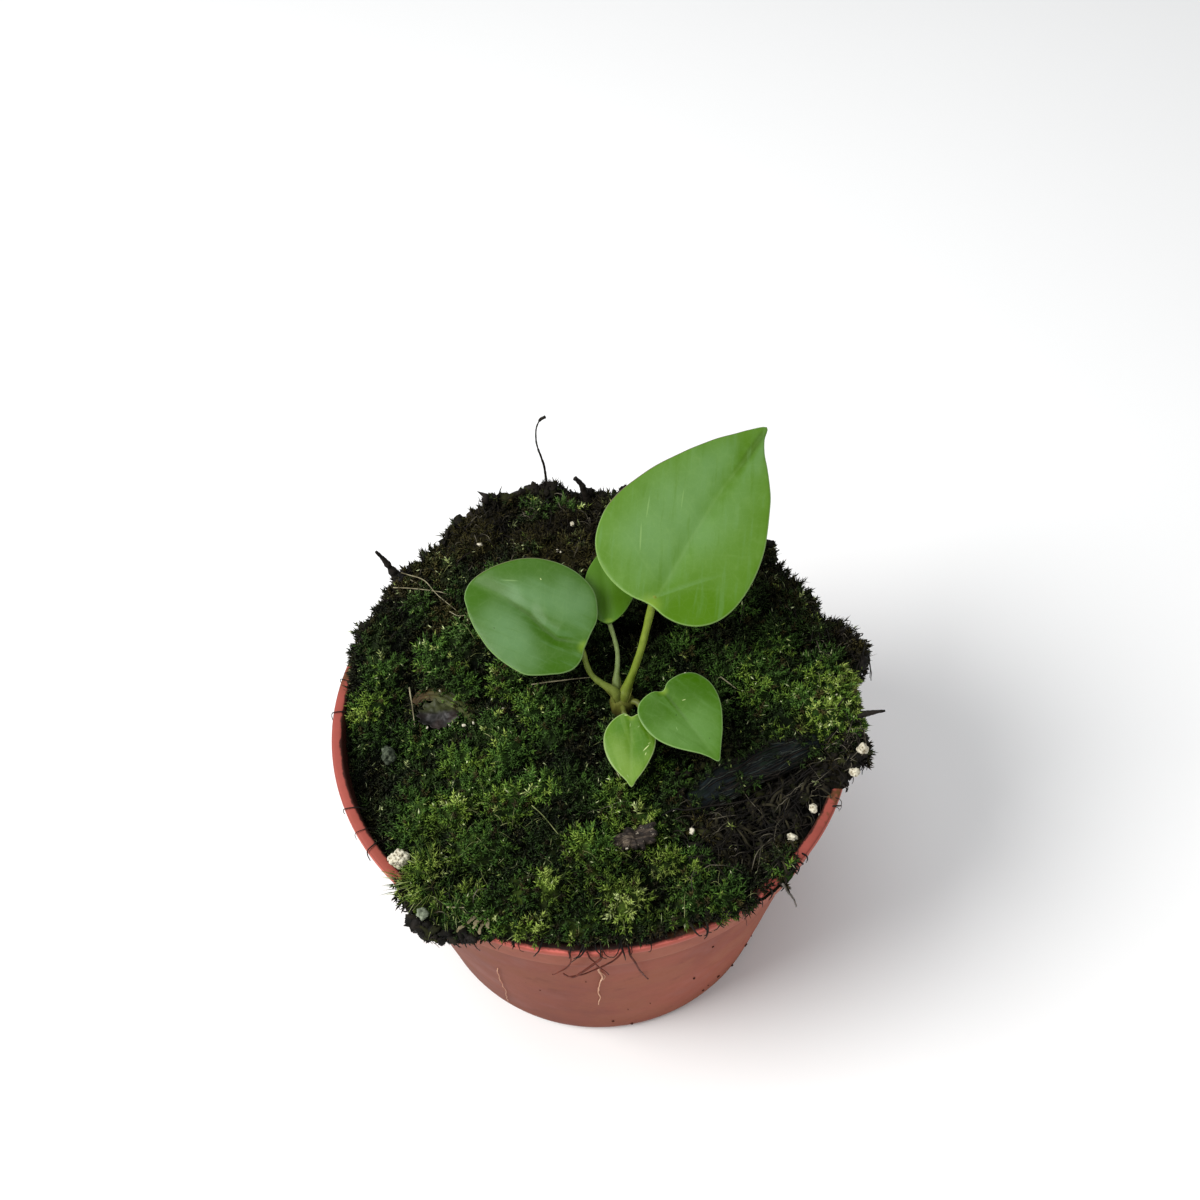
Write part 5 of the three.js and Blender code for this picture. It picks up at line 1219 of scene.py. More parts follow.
    # what is left of an old leaf: a thin ribbed band on the moss
    heap = Heap()
    line = [[-30.6, 2.6], [-29.2, 4.0], [-26.4, 4.0], [-23.6, 2.4], [-21.4, 0.2], [-20.5, -2.4], [-21.0, -3.6]]
    top = max(bump_up(x_, y_) for x_, y_ in line)
    spine = spline([[x_, y_, 0.5 * bump_up(x_, y_) + 0.5 * top + 0.75] for x_, y_ in line], 70)
    t = np.linspace(0, 1, 70)
    r = 1.75 * np.sin(np.pi * np.clip(0.12 + 0.84 * t, 0, 1)) ** 0.7 + 0.2 * noise(spine, 1.1, 14)
    v, f = tubes(spine[None], r[None], 40, ref=(0.1, 0.1, 1.0), flat=0.07)
    ang = np.tile(np.arange(40) / 40 * TAU, 70)
    across = np.cos(ang)
    v[:, 2] += 0.13 * np.cos(across * 11 + 2.0 * np.repeat(noise(spine, 4.0, 3), 40)) + 0.35 * noise(v, 2.4, 12, 2) - 0.35 * across ** 2
    heap.add(v, f, 0, np.stack([np.repeat(t, 40), 0.5 + 0.5 * across], 1))
    k = Look("old_leaf_band", 0.6, 0.3)
    m = k.uv("along")
    stripes = k.noise(1.0, 3, 0.6, k.stretched(m, (3, 26, 1)))
    colour = k.ramp(stripes, [(0.3, lin(32, 34, 10)), (0.5, lin(54, 60, 18)), (0.7, lin(84, 88, 36))])
    colour = k.mix(k.fade(k.split(m)[0], 0.42, 0.12, 0.0, 0.8), colour, lin(60, 38, 16))
    piece("old_leaf_band", heap, [k.done(colour, k.fade(stripes, 0.3, 0.7, 0.5, 0.8), k.bump(stripes, 0.5, 0.25))], uv_name="along")
    # dead black strands in the back of the carpet and round its ragged edge
    heap = Heap()
    x, y = scattered(rng, 420, [(-8, 40, 7, 3), (8, 38, 6, 2), (-20, 35, 5, 2), (42, 14, 4, 2), (47, 6, 3, 1.2), (25, 32, 6, 1.2), (43, -13, 2, 2.2), (-25, -41, 3, 1), (30, 22, 6, 1), (-35, 22, 4, 1)])
    n = len(x)
    paths, radii = laid(x, y, rng.uniform(0, TAU, n), rng.uniform(2.0, 5.0, n), rng.normal(0, 1.4, n), rng.uniform(0.5, 2.0, n), rng, 7, 0.07, rng.uniform(0.06, 0.15, n), 4)
    pale = rng.random(n) < 0.2
    heap.add(*tubes(paths[~pale], radii[~pale], 4), 0)
    heap.add(*tubes(paths[pale], radii[pale] * 0.7, 4), 1)
    piece("dead_strands_back", heap, [DARK, DEAD])
    # black rootlets and shreds that hang out of the edge of the moss
    heap = Heap()
    spots = np.concatenate([rng.uniform(-132, -114, 40), rng.normal(-90, 5, 11), rng.normal(-66, 5, 8), rng.normal(-52, 4, 9), rng.uniform(-114, -46, 8), rng.uniform(-30, -14, 16), rng.uniform(5, 158, 134)])
    a = np.radians(spots)
    edge = carpet_edge(spots) + ragged(a)
    ok = edge > 43.3
    a, edge = a[ok], edge[ok]
    n = len(a)
    top = ground_height((edge - 0.8) * np.cos(a), (edge - 0.8) * np.sin(a))
    front = np.sin(a) < -0.5
    drop = rng.uniform(0.2, 1.0, n) ** 1.8 * np.where(front, 2.6, 2.2)
    sway = rng.normal(0, 1.0, n)
    corners = [(edge - 1.0, top - 0.3), (np.maximum(edge + 0.2, 45.3), np.maximum(top - 0.4, 62.0)), (np.maximum(edge + 0.5, 45.9), np.full(n, 61.3)),
               (np.maximum(edge + 0.1, 45.5) + rng.uniform(0, 0.5, n) * ~front, 61.0 - drop)]
    t = np.linspace(0, 1, 8)[None]
    w = [(1 - t) ** 3, 3 * (1 - t) ** 2 * t, 3 * (1 - t) * t * t, t ** 3]
    pr, pz = (sum(wk * c[q][:, None] for wk, c in zip(w, corners)) for q in (0, 1))
    turn_ = a[:, None] + sway[:, None] * t ** 1.5 / 45
    paths = np.stack([pr * np.cos(turn_), pr * np.sin(turn_), pz], -1) + rng.normal(0, 0.05, (n, 8, 3))
    radii = rng.uniform(0.08, 0.2, n)[:, None] * np.linspace(1.2, 0.4, 8)[None]
    heap.add(*tubes(paths, radii, 5, ref=(0.13, 0.07, 0.97)), 0)
    piece("edge_shreds", heap, [DARK])
    # black clods that break the outline of the carpet at the back and on the right
    heap = Heap()
    bv, bf = ball(2)
    for q in range(340):
        az = rng.uniform(75, 160) if q < 190 else rng.uniform(3, 75) if q < 260 else rng.uniform(-128, -115) if q < 312 else rng.uniform(-24, -13)
        b = math.radians(az)
        edge = float(carpet_edge(az)) + float(ragged(np.array([b]))[0])
        if edge < 44.2:
            continue
        rr = edge - rng.uniform(0.1, 1.2)
        zz = float(ground_height(np.array([(edge - 0.8) * math.cos(b)]), np.array([(edge - 0.8) * math.sin(b)]))[0]) - rng.uniform(-0.9, 1.3)
        r_ = rng.uniform(0.3, 0.75) + 0.45 * (rng.random() < 0.2)
        body = bv * (1 + 0.75 * noise(bv * 1.2 + q * 3.3, 0.9, 5) + 0.6 * noise(bv + q, 0.42, 6) + 0.3 * noise(bv + q, 0.2, 8))[:, None] * r_ * rng.uniform(0.6, 1.3, 3)
        c = body + [rr * math.cos(b), rr * math.sin(b), zz]
        heap.add(c, [bf], int(rng.integers(0, 4)) % 3)
    # a torn-up heap where the dark stem stands
    for q in range(60):
        x_ = -5.8 + rng.normal(0, 2.0)
        h_ = 2.6 * max(0.0, 1 - abs(x_ + 5.8) / 4.4) ** 1.2
        y_ = 45.6 + rng.uniform(-1.6, 0.8)
        z_ = bump_up(x_, min(y_, 45.0)) + rng.uniform(0.0, 1.0) * h_
        r_ = rng.uniform(0.35, 0.8)
        body = bv * (1 + 0.75 * noise(bv * 1.2 + q * 2.9, 0.9, 25) + 0.6 * noise(bv + q, 0.42, 26))[:, None] * r_ * rng.uniform(0.6, 1.3, 3)
        heap.add(body + [x_, y_, z_], [bf], int(rng.integers(0, 4)) % 3)
    piece("edge_clods", heap, [SOIL, DARK, MOULD])
    # torn black tips that stand out of the back edge
    az = np.radians(np.concatenate([rng.uniform(74, 160, 620), rng.uniform(8, 74, 240), rng.normal(97, 2.6, 110)]))
    n = len(az)
    edge = carpet_edge(np.degrees(az)) + ragged(az)
    top = ground_height((edge - 0.8) * np.cos(az), (edge - 0.8) * np.sin(az))
    out_ = np.stack([np.cos(az), np.sin(az), 0 * az], 1)
    heapish = np.clip(1 - np.abs(np.degrees(az) - 97) / 5.4, 0, 1)
    base = out_ * (edge - rng.uniform(0.2, 1.6, n))[:, None] + np.stack([0 * az, 0 * az, top + rng.uniform(-0.9, 0.5, n) + 2.0 * heapish * rng.random(n)], 1)
    way = unit(out_ * rng.uniform(0.1, 1.0, n)[:, None] + rng.normal(0, 0.45, (n, 3)) + np.array([0, 0, 0.75]))
    heap = Heap()
    for mat_, part in enumerate((slice(0, None, 2), slice(1, None, 2))):
        m = len(base[part])
        v, faces, uv = spikes(base[part], way[part], rng.uniform(0.7, 2.2, m), rng.uniform(0.1, 0.26, m), np.full(m, 0.5), rng, rng.normal(0, 0.5, (m, 3)))
        heap.add(v, faces, mat_)
    # old fibres drawn up round the foot of the dark stem
    m = 90
    turn_ = rng.uniform(0, TAU, m)
    foot = np.stack([-5.8 + 3.6 * np.cos(turn_) * rng.uniform(0.3, 1, m), 45.4 + 1.5 * np.sin(turn_) * rng.uniform(0.3, 1, m)], 1)
    foot = np.column_stack([foot, [bump_up(*q) - 0.2 for q in foot]])
    aim = np.array([-5.95, 46.4, bump_up(-5.8, 45.2) + 4.0]) + rng.normal(0, 0.3, (m, 3))
    v, faces, uv = spikes(foot, aim - foot, np.linalg.norm(aim - foot, axis=1) * rng.uniform(0.6, 0.98, m), rng.uniform(0.12, 0.3, m), np.full(m, 0.5), rng, rng.normal(0, 0.12, (m, 3)))
    heap.add(v, faces, 0)
    piece("edge_tips", heap, [DARK, MOULD])
    # three rootlets that lie across the lip on the left
    heap = Heap()
    for az, sway_, r_ in ((176.8, 0.8, 0.13), (-156.2, -1.6, 0.12), (-146.9, 1.2, 0.15), (-150.5, -0.7, 0.09), (169.0, -1.0, 0.11)):
        pts = []
        for q, (rr, zz) in enumerate(((41.6, 59.6), (42.8, 60.9), (43.8, 61.15), (44.9, 61.12), (45.25, 60.2), (45.2, 58.6))):
            b = math.radians(az) + sway_ * q / 5 / 45
            pts.append([rr * math.cos(b), rr * math.sin(b), zz + r_])
        heap.add(*tubes(spline(pts, 26)[None], np.linspace(r_, r_ * 0.5, 26)[None], 7, ref=(0.2, 0.1, 0.95)))
    piece("rootlets_over_lip", heap, [DARK])
    # crumbs of soil that stuck to the wall
    heap = Heap()
    bv, bf = ball(2)
    for q, (az, z, r_) in enumerate(((-65.1, 22.5, 0.3), (-52.4, 7.6, 0.28), (-44.0, 3.2, 0.4), (-84.3, 15.3, 0.2), (-82.7, 2.6, 0.3), (-88.8, 6.7, 0.24), (-56.3, 6.6, 0.2),
                                     (-77.8, 16.3, 0.18), (-57.9, 5.1, 0.22), (-40.0, 10.0, 0.42), (-38.5, 13.0, 0.3), (-108.0, 27.2, 0.15), (-63.0, 40.0, 0.2), (-95.0, 38.0, 0.15), (30.0, 20.0, 0.3), (120.0, 30.0, 0.3), (200.0, 14.0, 0.3))):
        b = math.radians(az)
        out_, side_ = np.array([math.cos(b), math.sin(b), 0.0]), np.array([-math.sin(b), math.cos(b), 0.0])
        lump_ = bv * (1 + 0.35 * noise(bv * 1.3 + q * 3.1, 0.8, 3))[:, None] * r_
        c = out_ * (outer_wall(z) + 0.08) + [0, 0, z] + lump_[:, :1] * 0.55 * out_ + lump_[:, 1:2] * side_ * (0.8 + 0.5 * math.sin(q * 1.7)) + lump_[:, 2:] * np.array([0, 0, 1.0])
        heap.add(c, [bf])
    piece("crumbs_on_wall", heap, [CRUMB])


# ---------------------------------------------------------------- leaves
LEAVES = {
    "rear_large": {
        "j": [10.61, 3.9, 84], "u": [0.5739, 0.7818, 0.2438], "v": [0.8184, -0.5586, -0.135], "len": 39.42, "half": 14, "rise": 1.5, "curl": 1.9, "tip": 2.2, "lobe": 1.6, "lobeLen": 9,
        "outline": [[39.42, 0], [37.14, -2.22], [34.62, -4.21], [32.1, -6.22], [29.43, -8.02], [26.69, -9.71], [23.91, -11.33], [21.06, -12.82],
                    [18.07, -14.02], [15.02, -15.04], [11.84, -15.43], [8.65, -15], [5.62, -13.95], [3.08, -11.99], [1.29, -9.34], [0.16, -6.33],
                    [-0.27, -3.15], [0.08, 0.02], [-0.44, 2.99], [-0.07, 5.97], [1.24, 8.68], [3.43, 10.74], [6.21, 11.91], [9.19, 12.35], [12.21, 12.31],
                    [15.21, 11.92], [18.14, 11.18], [20.96, 10.1], [23.75, 8.91], [26.48, 7.64], [29.05, 6.04], [31.52, 4.3], [33.94, 2.48], [36.58, 1.04]],
    },
    "left_round": {
        "j": [-0.38, 1.74, 76.5], "u": [-0.8808, 0.4591, 0.116], "v": [0.4696, 0.8149, 0.3397], "len": 22.58, "half": 10, "rise": 1.9, "curl": 2.2, "tip": 1.2, "lobe": 1.3, "lobeLen": 7,
        "outline": [[22.58, 0], [22.98, 2.43], [21.95, 4.67], [20.36, 6.59], [18.52, 8.27], [16.48, 9.7], [14.24, 10.78], [11.82, 11.38], [9.34, 11.62],
                    [6.87, 11.39], [4.51, 10.59], [2.43, 9.24], [0.96, 7.24], [0.01, 4.94], [-0.01, 2.47], [0, 0], [-0.44, -2], [0, -4], [1.36, -5.52],
                    [3.12, -6.58], [4.92, -7.58], [6.83, -8.31], [8.88, -8.24], [10.92, -7.9], [12.91, -7.4], [14.82, -6.61], [16.59, -5.57], [18.32, -4.45],
                    [19.89, -3.11], [21.28, -1.6]],
    },
    "rear_small": {
        "j": [3.94, 6.48, 76.5], "u": [-0.0344, 0.9872, 0.1559], "v": [0.9994, 0.0349, 0], "len": 14.69, "half": 4.3, "rise": 0.6, "curl": 0.9, "tip": 0.8, "lobe": 0.5, "lobeLen": 3,
        "outline": [[14.69, 0], [13.41, -0.91], [12.11, -1.8], [10.75, -2.58], [9.28, -3.15], [7.76, -3.52], [6.2, -3.69], [4.63, -3.57], [3.12, -3.17],
                    [1.7, -2.5], [0.54, -1.46], [0, 0], [0.65, 1.56], [1.8, 2.82], [3.19, 3.83], [4.71, 4.61], [6.39, 4.9], [8.11, 4.87], [9.79, 4.53],
                    [11.36, 3.84], [12.71, 2.79], [13.82, 1.48]],
    },
    "front_right_heart": {
        "j": [12, -5.66, 73.2], "u": [0.5502, -0.8114, -0.1973], "v": [-0.8347, -0.5411, -0.1025], "len": 14.81, "half": 7.2, "rise": 0.8, "curl": 1.3, "tip": 0.9, "lobe": 0.9, "lobeLen": 5,
        "outline": [[14.81, 0], [13.7, -1.18], [12.45, -2.36], [11.21, -3.55], [9.86, -4.63], [8.46, -5.65], [6.96, -6.5], [5.33, -7.07], [3.63, -7.32],
                    [1.93, -7.07], [0.38, -6.35], [-0.56, -4.92], [-0.86, -3.23], [-0.72, -1.51], [0, 0], [-0.8, 1.39], [-0.96, 3.01], [-0.55, 4.55],
                    [0.63, 5.65], [2.17, 6.17], [3.78, 6.31], [5.4, 6.14], [6.94, 5.63], [8.38, 4.88], [9.7, 3.93], [10.94, 2.87], [12.15, 1.78], [13.48, 0.86]],
    },
    "front_young": {
        "j": [6.6, -8.65, 70.6], "u": [-0.0648, -0.9618, -0.266], "v": [-0.9977, 0.0672, 0], "len": 11.73, "half": 4.6, "rise": 0.6, "curl": 0.9, "tip": 0.6, "lobe": 0.5, "lobeLen": 4,
        "outline": [[11.73, 0], [10.64, -0.77], [9.62, -1.61], [8.51, -2.37], [7.35, -3.01], [6.13, -3.56], [4.85, -3.91], [3.52, -4], [2.2, -3.83],
                    [0.99, -3.3], [0.04, -2.37], [-0.44, -1.13], [0, 0], [-0.58, 1.06], [-0.03, 2.34], [0.91, 3.39], [2.08, 4.16], [3.43, 4.53], [4.83, 4.51],
                    [6.19, 4.19], [7.49, 3.65], [8.67, 2.89], [9.71, 1.94], [10.68, 0.92]],
    },
}
# Of each blade: its main, deep, painted-sheen and margin colours; the spacing of its side veins and how strongly they
# show; its midrib, as across over along; and the places where it is deep green, partly painted shade, and where it has
# a painted sheen, each as along, across, reach, amount.
TINTS = {
    "rear_large": dict(main=(78, 115, 32), deep=(66, 104, 1), painted_sheen=(91, 127, 70), pale=(138, 168, 100), gap=6.6, veins=0.035, rough=0.42, groove=0.32, sheen=0.45, line=(25.0, 33.0, 39.0, 0.95, 0.5),
                       mid=[[0, 0.2], [5, 0.3], [13, -0.1], [24, -0.3], [30, 0.1], [39, 0.2]],
                       deeps=[(2.6, 3.4, 2.2, 1.0), (4.8, 5.2, 2.0, 0.95), (4.2, 7.6, 2.2, 0.8), (1.2, 1.8, 1.4, 0.8), (28.5, 0.2, 1.0, 0.9), (25.5, 0.1, 0.9, 0.8), (22.5, 0.0, 0.9, 0.6), (19.5, 0.0, 1.0, 0.4),
                              (31.5, -0.4, 1.1, 0.9), (34.3, -0.4, 1.2, 0.9), (5.2, -5.6, 1.5, 0.3), (1.5, -2.2, 1.3, 0.4), (3.0, -10.5, 2.0, 0.5), (8.0, 4.4, 1.6, 0.5), (12.0, 6.0, 2.0, 0.3),
                              (22.0, 7.5, 2.5, 0.3), (16.0, -12.6, 2.5, 0.3)],
                       painted_sheen_spots=[(8.0, -4.5, 3.6, 0.8), (12.5, -6.5, 3.4, 0.8), (18.0, -7.0, 3.4, 0.8), (17.0, -2.0, 3.2, 0.7), (14.5, 1.4, 2.6, 0.7), (22.5, -3.6, 3.0, 0.7), (27.0, -4.2, 2.6, 0.9), (31.0, -2.8, 1.8, 0.7),
                               (20.5, 3.4, 2.2, 0.5), (25.5, 2.6, 2.0, 0.5), (30.5, 2.4, 1.6, 0.6), (34.5, 1.6, 1.3, 0.8), (36.5, 0.9, 0.9, 0.6), (8.6, -8.6, 2.0, 0.5), (5.6, 0.4, 1.6, 0.4)]),
    "left_round": dict(main=(58, 92, 27), deep=(48, 86, 0), painted_sheen=(84, 118, 72), pale=(130, 160, 100), gap=5.0, veins=0.02, rough=0.4, groove=0.55, sheen=0.0, line=(1.5, 4.0, 17.0, 0.5, 0.5),
                       mid=[[0, 0.6], [2.4, 0.1], [4.9, -0.6], [7.7, 0.1], [10.8, 1.4], [14.2, 2.0], [17, 2.4], [22.6, 2.6]],
                       deeps=[(4.6, -1.3, 1.5, 1.0), (6.8, -0.5, 1.25, 1.0), (8.8, 0.5, 1.0, 0.95), (10.8, 1.3, 0.85, 0.8), (13.0, 1.7, 0.75, 0.6), (15.5, 2.2, 0.7, 0.5), (1.8, -3.0, 1.9, 1.0), (4.0, -4.4, 1.5, 0.8),
                              (0.6, -2.0, 1.3, 0.8), (15.7, 8.4, 1.7, 0.8), (13.0, 9.9, 1.4, 0.8), (18.0, 6.9, 1.7, 0.7), (10.4, 10.6, 1.3, 0.5), (20.6, 0.6, 1.8, 0.7), (20.0, 3.5, 1.8, 0.5), (20.4, -1.6, 1.3, 0.5),
                              (9.6, 7.8, 1.1, 0.35), (2.6, -5.6, 1.2, 0.6)],
                       painted_sheen_spots=[(14.4, 3.9, 1.7, 0.95), (11.8, 4.4, 1.7, 0.85), (8.8, 4.4, 1.8, 0.8), (5.2, 4.8, 2.0, 0.75), (3.8, 6.5, 1.9, 0.75), (7.4, 8.0, 1.8, 0.6), (13.6, -2.1, 2.2, 0.95), (10.2, -3.8, 2.1, 0.95),
                               (12.6, -4.6, 1.8, 0.8), (10.2, -7.4, 1.5, 0.5), (6.8, -6.0, 1.5, 0.5), (17.0, -1.2, 1.5, 0.5), (2.6, 3.2, 1.4, 0.4)]),
    "rear_small": dict(main=(70, 109, 26), deep=(60, 96, 6), painted_sheen=(80, 119, 38), pale=(100, 136, 60), gap=3.6, veins=0.03, rough=0.5, groove=0.12, sheen=0.0,
                       mid=[[0, 0], [14, 0]], deeps=[(4.2, 1.9, 1.8, 0.9), (2.6, 0.4, 1.4, 0.5)], painted_sheen_spots=[(8, -1.0, 2.0, 0.6), (6.0, -1.8, 1.4, 0.4)]),
    "front_right_heart": dict(main=(63, 102, 15), deep=(50, 88, 0), painted_sheen=(82, 119, 54), pale=(138, 168, 106), gap=3.6, veins=0.015, rough=0.38, groove=0.2, sheen=0.3, line=(0.3, 1.0, 7.0, 0.4, 0.4),
                              mid=[[0, 0], [15, 0]],
                              deeps=[(0.2, -2.6, 1.7, 1.0), (1.6, -5.3, 1.7, 1.0), (3.4, -5.4, 1.4, 0.8), (1.0, 3.2, 1.9, 1.0), (2.4, 3.0, 1.4, 0.6), (1.6, 5.6, 1.4, 0.8), (1.0, 0.3, 1.5, 0.95), (2.4, -3.4, 1.5, 0.8),
                                     (2.6, 0.8, 1.2, 0.5), (5.4, -5.6, 1.1, 0.4)],
                              painted_sheen_spots=[(9.4, 1.8, 2.0, 0.9), (10.2, -1.4, 1.8, 0.7), (6.2, 3.9, 1.5, 0.8), (7.4, 0.9, 1.9, 0.9), (7.0, -2.6, 1.7, 0.6), (12.0, 0.4, 1.2, 0.3)]),
    "front_young": dict(main=(82, 116, 25), deep=(58, 100, 2), painted_sheen=(110, 140, 60), pale=(160, 180, 122), gap=3.0, veins=0.03, rough=0.3, groove=0.12, sheen=0.2,
                        mid=[[0, 0], [12, 0]], deeps=[(1.3, 1.9, 1.3, 0.85), (3.4, -1.6, 1.4, 0.9), (5.2, -1.4, 1.1, 0.7), (1.4, -0.9, 1.2, 0.6), (6.8, -1.2, 0.9, 0.4)],
                        painted_sheen_spots=[(8.6, 0.6, 1.4, 0.95), (9.8, -0.1, 1.0, 0.9), (5.6, 2.2, 1.5, 0.55), (7.5, 2.0, 1.2, 0.6), (6.8, -2.6, 0.7, 0.6)]),
}
# short painted glints (pale highlights) and dark specks on a blade: along, across, half length, half width, turn, light
# or dark
MARKS = {
    "rear_large": [(9.4, -7.4, 2.8, 0.16, -0.5, 0.3), (14.8, -9.2, 2.2, 0.14, -0.4, 0.25), (19.0, -5.0, 2.0, 0.12, -0.4, 0.2)],
    "left_round": [(15.1, -3.2, 0.18, 0.1, 0.3, -0.7), (11.6, 7.6, 0.22, 0.1, 0.6, 0.5), (16.4, 5.4, 1.6, 0.14, -0.3, 0.3)],
    "rear_small": [],
    "front_right_heart": [(3.4, -1.7, 0.34, 0.08, 1.9, 0.5), (4.7, 0.9, 0.16, 0.09, 1.2, -0.8), (6.6, 2.3, 0.4, 0.07, 0.3, 0.4), (11.0, -1.0, 0.14, 0.1, 0, -0.5)],
    "front_young": [(5.4, -2.4, 0.8, 0.08, 0.75, 0.8), (6.4, -2.3, 0.3, 0.07, 0.4, 0.6), (4.6, -2.9, 0.25, 0.06, 1.1, 0.5), (1.5, 0.2, 0.4, 0.08, 0.1, 0.4), (1.8, -1.2, 0.25, 0.08, 0.9, 0.4), (8.9, 1.8, 0.3, 0.06, -0.7, 0.35),
                    (10.0, 0.6, 0.3, 0.07, -0.5, 0.45), (-0.2, 0.9, 0.3, 0.1, 1.6, 0.6), (-0.3, -0.8, 0.25, 0.1, 1.6, 0.5)],
}
LEAF_T = 0.42
SCALE_UV = 60.0  # mm over one unit of a blade's own map


def blade_frame(L):
    u, v = np.array(L["u"], float), np.array(L["v"], float)
    return np.array(L["j"], float), u, v, np.cross(v, u)


def blade_height(L, s, t):
    q = np.sqrt((t / L["half"]) ** 2 + 0.01) - 0.1
    h = L["rise"] * q - L["curl"] * q * q
    w = np.clip((s / L["len"] - 0.5) / 0.5, 0, 1.2)
    h = h - L["tip"] * w * w
    w = np.clip((L["lobeLen"] - s) / L["lobeLen"], 0, 1.3)
    return h - L["lobe"] * w * w * np.minimum(q, 1.3)


def midrib(name, s):
    m = np.array(TINTS[name]["mid"], float)
    return np.interp(s, m[:, 0], m[:, 1])


def blade_detail(L, name, s, t):
    """Relief of the blade: the sunken midrib, a faint swell between the side veins, a slow wave of the edge and the folded lobe."""
    tint = TINTS[name]
    big = L["len"] / 39.42
    rib = -tint["groove"] * np.exp(-(t / (1.5 * big ** 0.5)) ** 2) * np.clip(1.1 - s / L["len"], 0, 1)
    phase = (s - 0.62 * np.abs(t) * (1 - 0.012 * np.abs(t))) / tint["gap"]
    quilt = 0.035 * big * np.cos(TAU * phase) * np.clip(np.abs(t) / 2.0, 0, 1)
    p = np.stack([s, t, np.zeros_like(s)], 1)
    slow = 0.42 * big * noise(p, 14 * big + 2, 30 + len(name)) + 0.06 * big * noise(p, 5 * big + 1, 50 + len(name))
    h = rib - quilt + slow * np.clip(np.hypot(s, t) / (4 * big + 1), 0, 1)
    if name == "rear_large":
        # the lobe on the right of the joint is folded down along a line that runs out from the joint
        over = -(s - 1.2) * 0.62 + (t - 0.4) * 0.785
        h = h - 0.16 * np.log1p(np.exp(np.clip(over / 0.35, -30, 30))) * 0.35 * np.clip((t + 0.5) / 1.5, 0, 1)
    return h


def blade_point(L, name, s, t, lift=0.0):
    j, u, v, n = blade_frame(L)
    off = t - midrib(name, s)
    h = blade_height(L, s, off) + blade_detail(L, name, s, off) + lift
    return j + s[:, None] * u + t[:, None] * v + h[:, None] * n


